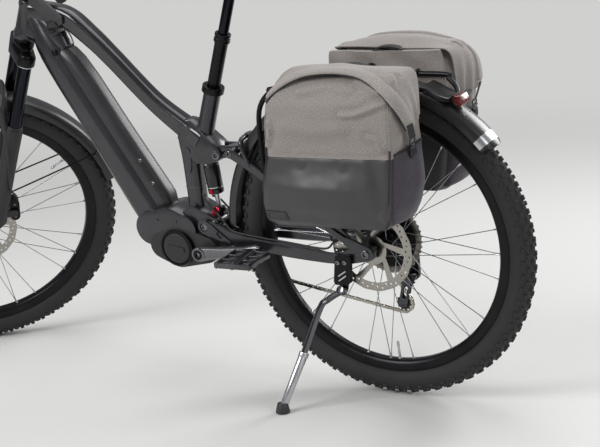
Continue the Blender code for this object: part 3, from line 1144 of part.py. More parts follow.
tail_loop = [(0.8183, 0.7065), (0.8330, 0.6925), (0.8460, 0.7000), (0.8370, 0.7190), (0.8183, 0.7190)]
tail = side_plate("tail_light_shell", [tail_loop], -0.0200, 0.0200)
finish(tail, "tail_light", "seatstay", RED_LENS)

# Panniers: closed solids with the packed bag's outer shape, as level slices
BAG_SLICES = [
    (0.4760, 0.445, 0.718, 0.020, 0.130), (0.4860, 0.430, 0.736, 0.004, 0.148),
    (0.5600, 0.440, 0.752, 0.000, 0.155), (0.6400, 0.456, 0.764, 0.000, BAG_DEPTH),
    (0.7450, 0.470, 0.770, 0.000, 0.146), (0.7900, 0.492, 0.772, 0.018, 0.128),
    (0.8160, 0.520, 0.770, 0.040, 0.108), (0.8260, 0.535, 0.765, 0.056, 0.090)]
HOOK_R = 0.0025
HOOK_Z = RACK_Z + RACK_R + HOOK_R + 0.0005
HOOK_Y = RACK_Y - RACK_R - HOOK_R - 0.0005
for side, word in ((-1, "left"), (1, "right")):
    rings = []
    for z, x_low, x_high, inner, outer in BAG_SLICES:
        y_mid = side * (BAG_IN_Y + (inner + outer) / 2.0)
        middle = Vector(((x_low + x_high) / 2.0, y_mid, z))
        corner = min(0.030, (outer - inner) * 0.45)
        rings.append(rounded_ring(middle, Vector((1.0, 0.0, 0.0)), Y_AXIS, x_high - x_low, outer - inner,
                                  corner, 3))
    hooks = []
    for hook_x in (0.525, 0.700):
        hook = [(hook_x, side * 0.0850, HOOK_Z), (hook_x, side * HOOK_Y, HOOK_Z),
                (hook_x, side * HOOK_Y, RACK_Z - 0.004)]
        hooks.append(tube("bag_hook_%s_%d" % (word, hook_x * 1000), [Vector(p) for p in hook], HOOK_R))
    finish(join(loft("pannier_shape_" + word, rings), *hooks), "pannier_" + word, "pannier_" + word, CLOTH)


# Hoses
def smooth_route(points, per_span=3):
    """Points on a smooth curve through the given ones."""
    knots = [Vector(p) for p in points]
    padded = [knots[0] * 2.0 - knots[1]] + knots + [knots[-1] * 2.0 - knots[-2]]
    route = []
    for k in range(1, len(padded) - 2):
        p0, p1, p2, p3 = padded[k - 1:k + 3]
        for step in range(per_span):
            t = step / per_span
            route.append(0.5 * (2.0 * p1 + (p2 - p0) * t + (2.0 * p0 - 5.0 * p1 + 4.0 * p2 - p3) * t * t
                                + (3.0 * p1 - p0 - 3.0 * p2 + p3) * t * t * t))
    route.append(knots[-1])
    return route


HOSE_R = 0.0026
front_hose = [
    on_bar(-1, 0.1745, -0.004, -0.024), on_bar(-1, 0.150, -0.014, -0.034), steer_point(0.680, -0.095,
                                                                                       -0.105),
    steer_point(0.600, -0.095, -0.090), steer_point(0.500, -0.078, -0.088), steer_point(0.420, -0.060,
                                                                                        -0.092),
    steer_point(0.350, -0.034, -0.0965), steer_point(0.250, -0.008, -0.0935), steer_point(0.165, 0.010,
                                                                                          -0.0925),
    steer_point(0.134, 0.030, -0.0740), steer_point(0.1115, 0.0360, -0.0520)]
finish(tube("front_hose_tube", smooth_route(front_hose, 2), HOSE_R), "front_brake_hose", "steering", PLASTIC)
bar_hoses = [
    tube("rear_brake_run", smooth_route([
        on_bar(1, 0.1745, -0.004, -0.024), on_bar(1, 0.140, -0.016, -0.040), steer_point(0.730, -0.092,
                                                                                         0.060),
        steer_point(0.690, -0.062, 0.024), steer_point(0.672, -0.0196 - HOSE_R, 0.008)], 2), HOSE_R),
    tube("gear_run", smooth_route([
        on_bar(1, 0.1775, -0.021, 0.004), on_bar(1, 0.150, -0.030, -0.012), steer_point(0.715, -0.070,
                                                                                        0.058),
        steer_point(0.682, -0.046, 0.018), steer_point(0.668, -0.0196 - HOSE_R, 0.002)], 2), HOSE_R),
    tube("dropper_run", smooth_route([
        on_bar(-1, 0.1775, -0.021, 0.004), on_bar(-1, 0.150, -0.032, -0.012), steer_point(0.720, -0.076,
                                                                                          -0.058),
        steer_point(0.684, -0.050, -0.018), steer_point(0.669, -0.0196 - HOSE_R, -0.003)], 2), HOSE_R),
    block("hose_guide", steer_point(0.6700, -0.0255, 0.002), (0.0100, 0.0260, 0.0140),
          Matrix((-BACK_AXIS, Y_AXIS, UP_AXIS)).transposed().to_4x4())]
finish(join(bar_hoses[0], *bar_hoses[1:]), "bar_hoses", "steering", PLASTIC)
ARM_TOP = 0.0034
rear_left = [
    (0.1400, -0.0160, 0.4560), (0.1560, -0.0240, 0.4460), (0.1780, -0.0260, 0.4220), (0.1920, -0.0270,
                                                                                      0.4080),
    (0.2080, -0.0380, 0.4010), (0.2290, -0.0430, 0.3850 + ARM_TOP), (0.3000, -0.0480, 0.3760 + ARM_TOP),
    (0.3880, -0.0590, 0.3720 + ARM_TOP), (0.4700, -0.0690, 0.3672 + ARM_TOP), (0.4980, -0.0690, 0.3720),
    (0.5120, -0.0650, 0.3850)]
rear_right = [(x, -y, z) for x, y, z in rear_left[:8]]
rear_right += [(0.4700, 0.0690, 0.3672 + ARM_TOP), (0.5300, 0.0700, 0.3640), (0.5350, 0.0690, 0.3400)]
rear_hoses = tube("brake_run", rear_left, HOSE_R)
gear_run = tube("gear_run_rear", rear_right, HOSE_R)
hose_clip = rod("hose_clip", (0.1920, -0.0280, 0.4080), (0.1920, 0.0280, 0.4080), 0.0035)
finish(join(rear_hoses, gear_run, hose_clip), "rear_hoses", "chainstay", PLASTIC)
bpy.data.scenes.remove(bench)
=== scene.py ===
# %% [markdown]
# # Dressing an electric mountain bike
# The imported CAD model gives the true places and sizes. Here each part gets the shape and finish that the
# eye expects.

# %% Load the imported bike
from math import atan2, copysign, cos, exp, hypot, pi, radians, sin, sqrt, tau

import bmesh
import bpy
from mathutils import Matrix, Vector, noise


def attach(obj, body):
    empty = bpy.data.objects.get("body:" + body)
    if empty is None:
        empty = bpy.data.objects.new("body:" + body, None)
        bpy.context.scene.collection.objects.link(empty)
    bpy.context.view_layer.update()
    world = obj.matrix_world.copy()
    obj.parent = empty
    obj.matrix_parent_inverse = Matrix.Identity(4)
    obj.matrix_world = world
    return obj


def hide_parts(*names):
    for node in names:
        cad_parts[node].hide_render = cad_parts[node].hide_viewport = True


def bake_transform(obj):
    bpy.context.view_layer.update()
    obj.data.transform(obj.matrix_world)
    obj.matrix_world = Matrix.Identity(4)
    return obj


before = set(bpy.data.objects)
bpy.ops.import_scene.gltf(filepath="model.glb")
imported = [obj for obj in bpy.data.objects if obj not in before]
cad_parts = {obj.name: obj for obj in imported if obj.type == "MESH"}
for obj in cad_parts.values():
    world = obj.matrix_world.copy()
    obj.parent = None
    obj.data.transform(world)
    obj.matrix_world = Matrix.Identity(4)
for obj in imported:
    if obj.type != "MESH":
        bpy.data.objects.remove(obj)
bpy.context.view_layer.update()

# %% [markdown]
# The bike is easiest to describe standing upright, with its front wheel straight. Its parts are measured in
# that pose, and one matrix then leans the whole bike on its stand. A second matrix also turns the steering.
# The numbers repeat the CAD source, because this script reads nothing else. They are in metres, and only the
# tables inside mm() are in millimetres. BAR_TILT turns a level block square to the steering axis.

# %% The upright bike's own frame
LEAN = radians(6.34)
PITCH = radians(-0.61)
STEER = radians(46.73)
HEAD_ANGLE = radians(66.29)
REAR = Vector((0.6057, 0.0, 0.3708))
FRONT = Vector((-0.6057, 0.0, 0.3708))
SIDES = ((-1, "left"), (1, "right"))
Y_AXIS = Vector((0.0, 1.0, 0.0))
Z_AXIS = Vector((0.0, 0.0, 1.0))
UP_AXIS = Vector((cos(HEAD_ANGLE), 0.0, sin(HEAD_ANGLE)))
BACK_AXIS = Vector((sin(HEAD_ANGLE), 0.0, -cos(HEAD_ANGLE)))
STEER_FOOT = FRONT + BACK_AXIS * 0.0421
SEAT_AXIS = Vector((cos(radians(69.5)), 0.0, sin(radians(69.5))))
COLLAR = Vector((0.2435, 0.0, 0.8485))
CRANK = Vector((0.1445, 0.0, 0.338))
LEANED = Matrix.Rotation(LEAN, 4, "X") @ Matrix.Rotation(PITCH, 4, "Y")
BIKE = Matrix.Translation((REAR.x - 0.0494, 0.0434, 0.3687)) @ LEANED @ Matrix.Translation(-REAR)
TURNED = Matrix.Translation(STEER_FOOT) @ Matrix.Rotation(STEER, 4, UP_AXIS) @ Matrix.Translation(-STEER_FOOT)
STEERED = BIKE @ TURNED
BAR_TILT = Matrix.Rotation(HEAD_ANGLE - pi / 2.0, 4, "Y")
MAIN_PIVOT = (0.148, 0.396)  # pins of the rear linkage, as x and z
SEATSTAY_PIN = (0.2475, 0.581)
ROCKER_PIN = (0.198, 0.571)
DOWN_START = Vector((-0.27207, 0.0, 0.85302))
DOWN_FOOT = Vector((0.0182, 0.0, 0.345))
DOWN_DIR = (DOWN_FOOT - DOWN_START).normalized()
DOWN_UP = Vector((-DOWN_DIR.z, 0.0, DOWN_DIR.x))


def mm(*rows):
    """A table of points or sizes, written in millimetres and turned to metres."""
    return [tuple(value / 1000.0 for value in row) for row in rows]


def portion(value):
    """A value held between 0 and 1."""
    return max(0.0, min(1.0, value))


def uneven(x, y, z):
    """Smooth noise at a place, between about -1 and 1."""
    return noise.noise(Vector((x, y, z)))


def steer_point(along, behind, y=0.0):
    """A point by its distance up the steering axis, behind it and to the right."""
    return STEER_FOOT + UP_AXIS * along + BACK_AXIS * behind + Y_AXIS * y


def down_point(along, above, y=0.0):
    """A point by its distance down the down tube, above its middle line and to the right."""
    return DOWN_START + DOWN_DIR * along + DOWN_UP * above + Y_AXIS * y


def xz(point, y=0.0):
    """A point of the side view, at the given distance to the right."""
    return Vector((point[0], y, point[1]))


print("tyre contact", [round(v, 4) for v in BIKE @ (REAR - Z_AXIS * 0.371)])

# %% [markdown]
# Nearly every part is one of six shapes: a turned part, a rod, a block, a plate cut from sheet, a bent tube
# or a loft through rings. Each helper below returns one as a bmesh, so that shapes can be joined before they
# become an object. The bevels matter: no real edge is perfectly sharp, and a small radius catches light.

# %% Shapes: start, join and bevel
bench = bpy.data.scenes.new("curve_bench")


def absorb(shape, *extras):
    """Add the other shapes' geometry to the first one."""
    for extra in extras:
        passing = bpy.data.meshes.new("passing")
        extra.to_mesh(passing)
        extra.free()
        shape.from_mesh(passing)
        bpy.data.meshes.remove(passing)
    return shape


def soften(shape, radius, angle=50.0, segments=2):
    """Bevel every edge that is sharper than the angle."""
    bmesh.ops.remove_doubles(shape, verts=shape.verts, dist=0.000005)
    bmesh.ops.recalc_face_normals(shape, faces=shape.faces)
    sharp = [e for e in shape.edges if len(e.link_faces) == 2 and e.calc_face_angle(0.0) > radians(angle)]
    bmesh.ops.bevel(shape, geom=sharp, offset=radius, offset_type="OFFSET", segments=segments, profile=0.5,
                    affect="EDGES", clamp_overlap=True, material=-1)
    return shape


def facing(direction, centre=(0.0, 0.0, 0.0)):
    """The matrix that turns +Z to a direction and moves to a centre."""
    turn = Z_AXIS.rotation_difference(Vector(direction)).to_matrix().to_4x4()
    return Matrix.Translation(Vector(centre)) @ turn


# %% [markdown]
# Axles, pins and collars are turned on a lathe. A profile that is spun round an axis describes such a part
# fully, grooves and all. A plain bar or block needs no profile: Blender's own cone and cube are enough, and
# a bevel breaks their edges.

# %% Shapes: rod, block and turned part
def rod(start, end, radius, end_radius=None, sides=24, edge=0.0):
    """A round bar or cone between two points."""
    start = Vector(start)
    end = Vector(end)
    shape = bmesh.new()
    bmesh.ops.create_cone(shape, cap_ends=True, segments=sides, radius1=radius,
                          radius2=radius if end_radius is None else end_radius, depth=(end - start).length)
    if edge:
        soften(shape, edge)
    bmesh.ops.transform(shape, matrix=facing(end - start, (start + end) / 2.0), verts=shape.verts)
    return shape


def cross_rod(middle, half, radius, sides=24, edge=0.0):
    """A round bar from left to right through a point."""
    middle = Vector(middle)
    return rod(middle - Y_AXIS * half, middle + Y_AXIS * half, radius, sides=sides, edge=edge)


def block(middle, size, turn=None, edge=0.0, segments=2):
    """A block with softened edges."""
    shape = bmesh.new()
    bmesh.ops.create_cube(shape, size=1.0)
    bmesh.ops.scale(shape, vec=size, verts=shape.verts)
    if edge:
        soften(shape, edge, segments=segments)
    bmesh.ops.transform(shape, matrix=Matrix.Translation(middle) @ (turn or Matrix.Identity(4)),
                        verts=shape.verts)
    return shape


def lathe(profile, centre, axis, steps=64, closed=True, edge=0.0):
    """A turned part: profile gives (height along the axis, radius)."""
    shape = bmesh.new()
    knots = [shape.verts.new((radius, 0.0, height)) for height, radius in profile]
    edges = [shape.edges.new(pair) for pair in zip(knots, knots[1:])]
    if closed:
        edges.append(shape.edges.new((knots[-1], knots[0])))
    bmesh.ops.spin(shape, geom=knots + edges, cent=(0.0, 0.0, 0.0), axis=(0.0, 0.0, 1.0),
                   dvec=(0.0, 0.0, 0.0), angle=tau, steps=steps, use_merge=True, use_duplicate=False)
    bmesh.ops.remove_doubles(shape, verts=shape.verts, dist=0.000005)
    if edge:
        soften(shape, edge, angle=40.0)
    bmesh.ops.transform(shape, matrix=facing(axis, centre), verts=shape.verts)
    return shape


# %% [markdown]
# Sheet parts are an outline that is filled and then given thickness, like plate cut by a laser. Bars and
# stays are long and change their section slowly, so they start from a smooth line through a few points.

# %% Shapes: plate
def plate(loops, low, high, edge=0.0, matrix=None):
    """A sheet part in the side view, between two distances to the right. Inner loops are holes."""
    shape = bmesh.new()
    for loop in loops:
        knots = [shape.verts.new((x, low, z)) for x, z in loop]
        for pair in zip(knots, knots[1:] + knots[:1]):
            shape.edges.new(pair)
    bmesh.ops.triangle_fill(shape, use_beauty=True, use_dissolve=False, edges=shape.edges,
                            normal=(0.0, 1.0, 0.0))
    lifted = bmesh.ops.extrude_face_region(shape, geom=shape.faces[:] + shape.edges[:], use_keep_orig=True)[
        "geom"]
    tops = [g for g in lifted if isinstance(g, bmesh.types.BMVert)]
    bmesh.ops.translate(shape, verts=tops, vec=(0.0, high - low, 0.0))
    if edge:
        soften(shape, edge)
    if matrix:
        bmesh.ops.transform(shape, matrix=matrix, verts=shape.verts)
    return shape


def smooth_line(points, per_span=6):
    """Points on a smooth curve through the given ones, with any further numbers blended the same way."""
    knots = [Vector(p) for p in points]
    padded = [knots[0] * 2.0 - knots[1]] + knots + [knots[-1] * 2.0 - knots[-2]]
    line = []
    for k in range(1, len(padded) - 2):
        p0, p1, p2, p3 = padded[k - 1:k + 3]
        for step in range(per_span):
            t = step / per_span
            line.append(0.5 * (2.0 * p1 + (p2 - p0) * t + (2.0 * p0 - 5.0 * p1 + 4.0 * p2 - p3) * t * t
                               + (3.0 * p1 - p0 - 3.0 * p2 + p3) * t * t * t))
    line.append(knots[-1])
    return line


def ahead_at(line, k):
    """The heading of a line at one of its points, from the point before to the point after."""
    return (line[min(k + 1, len(line) - 1)] - line[max(k - 1, 0)]).normalized()

# %% [markdown]
# Hoses, wires and bent tubes have one round section, and a bevelled curve keeps it round in every bend.
# Cloth, arms and covers change their section, so they are lofts: rings of points, joined in order.

# %% Shapes: tube and loft
def tube(points, radius, sides=3, radii=None, cyclic=False):
    """A bent tube: a bevelled curve made into a mesh. radii are shares of the radius at each point."""
    data = bpy.data.curves.new("tube", "CURVE")
    data.dimensions = "3D"
    data.bevel_depth = radius
    data.bevel_resolution = sides
    data.use_fill_caps = True
    spline = data.splines.new("POLY")
    spline.points.add(len(points) - 1)
    for k, point in enumerate(points):
        spline.points[k].co = (*point, 1.0)
        spline.points[k].radius = radii[k] if radii else 1.0
    spline.use_cyclic_u = cyclic
    curve = bpy.data.objects.new("tube", data)
    bench.collection.objects.link(curve)
    bench.view_layers[0].update()
    passing = bpy.data.meshes.new_from_object(curve.evaluated_get(bench.view_layers[0].depsgraph))
    shape = bmesh.new()
    shape.from_mesh(passing)
    bpy.data.objects.remove(curve, do_unlink=True)
    bpy.data.meshes.remove(passing)
    return shape


def loft(rings, caps=True):
    """A skin through rings of equally many points."""
    shape = bmesh.new()
    ring = [shape.verts.new(point) for point in rings[0]]
    if caps:
        shape.faces.new(ring)
    edges = [shape.edges.get(pair) or shape.edges.new(pair) for pair in zip(ring, ring[1:] + ring[:1])]
    for target in rings[1:]:
        made = bmesh.ops.extrude_edge_only(shape, edges=edges)["geom"]
        fresh = {g for g in made if isinstance(g, bmesh.types.BMVert)}
        ring = [next(e.other_vert(v) for e in v.link_edges if e.other_vert(v) in fresh) for v in ring]
        for knot, point in zip(ring, target):
            knot.co = point
        edges = [shape.edges.get(pair) for pair in zip(ring, ring[1:] + ring[:1])]
    if caps:
        shape.faces.new(ring)
    return shape


def rounded_ring(middle, across, up, width, depth, corner, steps=6):
    """A rectangle with round corners, as a ring of points."""
    ring = []
    for quarter, (sx, sy) in enumerate(((1, 1), (-1, 1), (-1, -1), (1, -1))):
        for step in range(steps):
            turn = pi / 2.0 * (quarter + step / (steps - 1))
            x = sx * (width / 2.0 - corner) + corner * cos(turn)
            y = sy * (depth / 2.0 - corner) + corner * sin(turn)
            ring.append(Vector(middle) + across * x + up * y)
    return ring

# %% [markdown]
# Many outlines are circles, or a belt pulled round some circles, as a designer draws an eye with its web.
# The bolts are small but show everywhere, so they get a socket.

# %% Outlines and bolts
def around(centre, radius, turn):
    """A point (x, z) of the side view at an angle round a centre, which is a Vector or a pair."""
    x, z = (centre.x, centre.z) if isinstance(centre, Vector) else centre[:2]
    return (x + radius * cos(turn), z + radius * sin(turn))


def outward(turn, y=0.0):
    """The direction of an angle round an axle, with a sideways share."""
    return Vector((cos(turn), y, sin(turn)))


def circle(centre, radius, steps=32):
    """A round outline in the side view."""
    return [around(centre, radius, tau * step / steps) for step in range(steps)]


def hull(circles, steps=32):
    """The outline of a belt pulled round circles (x, z, radius)."""
    cloud = sorted({(round(x, 6), round(y, 6)) for c in circles for x, y in circle(c, c[2], steps)})
    chains = []
    for order in (cloud, cloud[::-1]):
        chain = []
        for point in order:
            while len(chain) > 1:
                (ax, ay), (bx, by) = chain[-2:]
                if (bx - ax) * (point[1] - ay) - (by - ay) * (point[0] - ax) > 0.0:
                    break
                chain.pop()
            chain.append(point)
        chains.append(chain[:-1])
    return chains[0] + chains[1]


def bolt(centre, axis, radius, height=0.003, socket=0.62):
    """A round bolt head with a socket, standing on its seat."""
    sunk, hole = height * 0.1, radius * socket
    return lathe([(-0.0008, 0.0), (-0.0008, radius), (height * 0.75, radius), (height, radius * 0.82),
                  (height, hole), (sunk, hole), (sunk, 0.0)], centre, axis, 12, closed=False)


print("shape helpers ready")

# %% [markdown]
# ## Finishes
# Each finish is named for the real substance. Its colour is an sRGB hex value, turned to linear light by one
# function. One function adds a node. The patterns read Object coordinates, so one unit is one metre, and a
# scale is worked out from a size in millimetres.

# %% Colour and node helpers
def linear(code):
    """An sRGB hex colour as linear RGBA."""
    channels = [int(code[k:k + 2], 16) / 255.0 for k in (0, 2, 4)]
    return (*[c / 12.92 if c <= 0.04045 else ((c + 0.055) / 1.055) ** 2.4 for c in channels], 1.0)


def per_metre(millimetres):
    """A texture scale that repeats once in so many millimetres."""
    return 1000.0 / millimetres


def add(tree, kind, inputs=None, **settings):
    """Add a node. settings are its properties; inputs maps sockets to values or to other nodes' outputs."""
    made = tree.nodes.new("ShaderNode" + kind)
    for key, value in settings.items():
        setattr(made, key, value)
    for key, value in (inputs or {}).items():
        if isinstance(value, bpy.types.NodeSocket):
            tree.links.new(value, made.inputs[key])
        else:
            made.inputs[key].default_value = value
    return made


def blank(name, metallic=0.0, roughness=0.5, **sockets):
    """A new material with its shader's constant sockets set."""
    made = bpy.data.materials.new(name)
    made.use_nodes = True
    shader = made.node_tree.nodes["Principled BSDF"]
    shader.inputs["Metallic"].default_value = metallic
    shader.inputs["Roughness"].default_value = roughness
    for key, value in sockets.items():
        shader.inputs[key.replace("_", " ")].default_value = value
    return made, made.node_tree, shader


def dress(tree, shader, colour, bump):
    """Link a mix of two colours and a bump to the shader."""
    tree.links.new(colour.outputs[2], shader.inputs["Base Color"])
    tree.links.new(bump.outputs["Normal"], shader.inputs["Normal"])


def finish(name, dark, light, grain_mm, roughness, spread, bump_mm, metallic=0.0, cloud_mm=60.0, stretch=None,
           **sockets):
    """A finish of two close colours: fine grain in the bump and colour, and slow patches in the roughness."""
    made, tree, shader = blank(name, metallic, roughness, **sockets)
    place = add(tree, "TexCoord").outputs["Object"]
    if stretch:
        place = add(tree, "Mapping", {"Vector": place, "Scale": stretch}).outputs["Vector"]
    grain = add(tree, "TexNoise", {"Vector": place, "Scale": per_metre(grain_mm), "Detail": 3.0})
    cloud = add(tree, "TexNoise", {"Vector": place, "Scale": per_metre(cloud_mm), "Detail": 4.0})
    both = add(tree, "Math", {0: grain.outputs["Fac"], 1: cloud.outputs["Fac"]}, operation="ADD")
    share = add(tree, "MapRange", {"Value": both.outputs["Value"], "From Min": 0.7, "From Max": 1.3})
    colour = add(tree, "Mix", {0: share.outputs["Result"], 6: linear(dark), 7: linear(light)},
                 data_type="RGBA")
    rough = add(tree, "MapRange",
                {"Value": cloud.outputs["Fac"], "From Min": 0.3, "From Max": 0.7,
                 "To Min": roughness - spread, "To Max": roughness + spread})
    bump = add(tree, "Bump", {"Strength": 1.0, "Distance": bump_mm / 1000.0, "Height": grain.outputs["Fac"]})
    tree.links.new(rough.outputs["Result"], shader.inputs["Roughness"])
    dress(tree, shader, colour, bump)
    return made


# %% [markdown]
# The frame is aluminium with a satin charcoal lacquer over metal flake. Flake is about 0.1 mm, too fine to
# show here, so it is drawn at 0.8 mm. The battery cover has the same hue with less flake.

# %% Paint, plastic and rubber
PAINT = finish("satin_flake_lacquer_on_aluminium", "29292c", "37373b", 0.8, 0.3, 0.03, 0.004, metallic=0.65,
               Coat_Weight=0.6, Coat_Roughness=0.16)
GLOSS_PAINT = finish("gloss_charcoal_lacquer", "1f1f22", "29292d", 0.8, 0.2, 0.03, 0.004, metallic=0.55,
                     Coat_Weight=0.8, Coat_Roughness=0.08)
COVER = finish("satin_lacquered_battery_cover", "262628", "313133", 2.5, 0.36, 0.03, 0.001, metallic=0.3,
               Coat_Weight=0.25, Coat_Roughness=0.3)
PLASTIC = finish("spark_eroded_black_nylon", "171718", "222223", 0.9, 0.52, 0.05, 0.04)
FENDER = finish("satin_black_polycarbonate", "161618", "1f1f21", 1.2, 0.36, 0.04, 0.012, Coat_Weight=0.2,
                Coat_Roughness=0.25)
GLOSS_BLACK = finish("gloss_black_polycarbonate", "0f0f10", "161617", 2.0, 0.16, 0.03, 0.003)
RUBBER = finish("dusty_tyre_rubber", "1a1a1b", "2a2a2a", 1.6, 0.74, 0.06, 0.05, cloud_mm=35.0)
GRIP = finish("soft_grip_rubber", "161616", "202020", 1.0, 0.68, 0.05, 0.03)
SEAL = finish("seal_rubber", "131313", "1a1a1a", 1.0, 0.6, 0.05, 0.02)
PATCH = finish("pressed_rubber_patch", "29292b", "343436", 1.2, 0.5, 0.05, 0.04)

# %% [markdown]
# Metals differ by how they were worked. Anodised parts are dark with a fine satin, turned and brushed parts
# show fine lines, and the hard-anodised fork tubes are nearly mirror-smooth because oil seals slide on them.

# %% Metals
BLACK_METAL = finish("black_anodised_aluminium", "1b1b1d", "262628", 0.7, 0.33, 0.04, 0.008, metallic=0.85)
DARK_ALLOY = finish("grey_anodised_aluminium", "4c4c4f", "5e5e61", 0.8, 0.3, 0.04, 0.01, metallic=0.95)
SLEEK_TUBE = finish("hard_anodised_fork_tube", "202126", "292a30", 3.0, 0.12, 0.02, 0.002, metallic=1.0)
POLISHED = finish("polished_forged_aluminium", "66666a", "7c7c80", 0.8, 0.2, 0.04, 0.006, metallic=1.0)
BARE_ALLOY = finish("machined_bare_aluminium", "b4b5b8", "cdced0", 0.8, 0.27, 0.05, 0.012, metallic=1.0,
                    stretch=(1.0, 1.0, 0.15))
SPOKE_STEEL = finish("drawn_stainless_wire", "85868a", "9fa0a3", 2.0, 0.24, 0.03, 0.003, metallic=1.0)
STEEL = finish("zinc_plated_steel", "7f8083", "9a9b9d", 0.9, 0.3, 0.05, 0.008, metallic=1.0)
COG_STEEL = finish("nickel_plated_cog_steel", "77736d", "96918a", 1.0, 0.32, 0.06, 0.012, metallic=1.0)
CHAIN_STEEL = finish("oiled_chain_steel", "a29d94", "c2bdb2", 1.2, 0.26, 0.05, 0.01, metallic=1.0)
RED_METAL = finish("red_anodised_aluminium", "a01528", "bf2036", 0.8, 0.28, 0.04, 0.006, metallic=0.9)


def brushed_disc(name, centre, matrix):
    """Stainless steel brushed in circles about an axle, lines 0.5 mm apart."""
    made, tree, shader = blank(name, 1.0, 0.3)
    back = matrix.inverted()
    place = add(tree, "TexCoord").outputs["Object"]
    x_row = add(tree, "VectorMath", {0: place, 1: Vector(back[0][:3])}, operation="DOT_PRODUCT")
    z_row = add(tree, "VectorMath", {0: place, 1: Vector(back[2][:3])}, operation="DOT_PRODUCT")
    x = add(tree, "Math", {0: x_row.outputs["Value"], 1: back[0][3] - centre.x}, operation="ADD")
    z = add(tree, "Math", {0: z_row.outputs["Value"], 1: back[2][3] - centre.z}, operation="ADD")
    flat = add(tree, "CombineXYZ", {"X": x.outputs["Value"], "Y": z.outputs["Value"], "Z": 0.0})
    out = add(tree, "VectorMath", {0: flat.outputs["Vector"]}, operation="LENGTH")
    ring = add(tree, "CombineXYZ", {"X": out.outputs["Value"], "Y": 0.0, "Z": 0.0})
    lines = add(tree, "TexNoise", {"Vector": ring.outputs["Vector"], "Scale": per_metre(0.5)})
    colour = add(tree, "Mix", {0: lines.outputs["Fac"], 6: linear("817d77"), 7: linear("bab6af")},
                 data_type="RGBA")
    bump = add(tree, "Bump", {"Strength": 1.0, "Distance": 0.00003, "Height": lines.outputs["Fac"]})
    dress(tree, shader, colour, bump)
    return made


FRONT_DISC = brushed_disc("circle_brushed_stainless_front", FRONT, STEERED)
REAR_DISC = brushed_disc("circle_brushed_stainless_rear", REAR, BIKE)

# %% [markdown]
# The tail light is a clear red acrylic block with small prisms inside, and the headlight's lens is clear
# polycarbonate. A little transmission and a low roughness tell the eye that light enters them.

# %% Lenses
RED_LENS, red_tree, red_shader = blank("prismatic_red_acrylic", 0.0, 0.12, Transmission_Weight=0.25,
                                       Coat_Weight=0.6)
red_place = add(red_tree, "TexCoord").outputs["Object"]
prisms = add(red_tree, "TexVoronoi", {"Vector": red_place, "Scale": per_metre(3.0)})
red_mix = add(red_tree, "Mix", {0: prisms.outputs["Distance"], 6: linear("4a0708"), 7: linear("86201c")},
              data_type="RGBA")
red_bump = add(red_tree, "Bump", {"Strength": 0.6, "Distance": 0.0004, "Height": prisms.outputs["Distance"]})
dress(red_tree, red_shader, red_mix, red_bump)
CLEAR_LENS = finish("clear_fluted_polycarbonate", "c4ccd4", "dfe5ea", 4.0, 0.08, 0.02, 0.1,
                    Transmission_Weight=0.5)
BLUE_LAMP = finish("lit_blue_indicator_lens", "2a50c8", "4a74ea", 2.0, 0.2, 0.02, 0.01, Emission_Strength=0.0)

# %% [markdown]
# The bags are three cloths. The upper one is a grey canvas of mixed yarn, light and dark fibres twisted
# together, which reads as fine flecks. Its yarn is 0.5 mm, drawn at 0.9 mm so that it shows. The lower one is
# the same canvas under a smooth coating, and the side pocket is knitted mesh with 3 mm holes. They read the
# piece's own UV map, laid out in metres, so the weave follows the folds.

# %% Cloths
def woven(name, dark, light, yarn_mm, fleck, roughness, depth_mm, **sockets):
    """Plain weave of flecked yarn, on the piece's own UV map in metres."""
    made, tree, shader = blank(name, 0.0, roughness, **sockets)
    place = add(tree, "TexCoord").outputs["UV"]
    waves = []
    for direction in ("X", "Y"):
        waves.append(add(tree, "TexWave",
                         {"Vector": place, "Scale": per_metre(yarn_mm) / 20.0 * pi, "Distortion": 0.6,
                          "Detail": 1.0}, bands_direction=direction).outputs["Fac"])
    weave = add(tree, "Math", {0: waves[0], 1: waves[1]}, operation="MULTIPLY")
    flecks = []
    for scale in ((1.0, 0.25, 1.0), (0.25, 1.0, 1.0)):
        turned = add(tree, "Mapping", {"Vector": place, "Scale": scale})
        flecks.append(add(tree, "TexNoise",
                          {"Vector": turned.outputs["Vector"], "Scale": per_metre(yarn_mm * 1.3),
                           "Detail": 2.0}).outputs["Fac"])
    mixed = add(tree, "Math", {0: flecks[0], 1: flecks[1]}, operation="ADD")
    spread = add(tree, "MapRange",
                 {"Value": mixed.outputs["Value"], "From Min": 1.0 - fleck, "From Max": 1.0 + fleck})
    colour = add(tree, "Mix", {0: spread.outputs["Result"], 6: linear(dark), 7: linear(light)},
                 data_type="RGBA")
    height = add(tree, "Math", {0: weave.outputs["Value"], 1: mixed.outputs["Value"]}, operation="ADD")
    bump = add(tree, "Bump",
               {"Strength": 1.0, "Distance": depth_mm / 1000.0, "Height": height.outputs["Value"]})
    dress(tree, shader, colour, bump)
    return made


CANVAS = woven("flecked_grey_canvas", "6e6864", "9f9893", 0.9, 0.34, 0.86, 0.12, Sheen_Weight=0.2)
COATED = woven("coated_black_canvas", "2c2b2d", "373638", 1.6, 0.4, 0.46, 0.03, Coat_Weight=0.2,
               Coat_Roughness=0.3)
WEBBING = woven("woven_nylon_webbing", "1b1a1c", "2a292b", 1.6, 0.3, 0.6, 0.25)
STRAP_CLOTH = woven("folded_canvas_binding", "78726e", "a8a19c", 0.9, 0.34, 0.86, 0.12, Sheen_Weight=0.2)

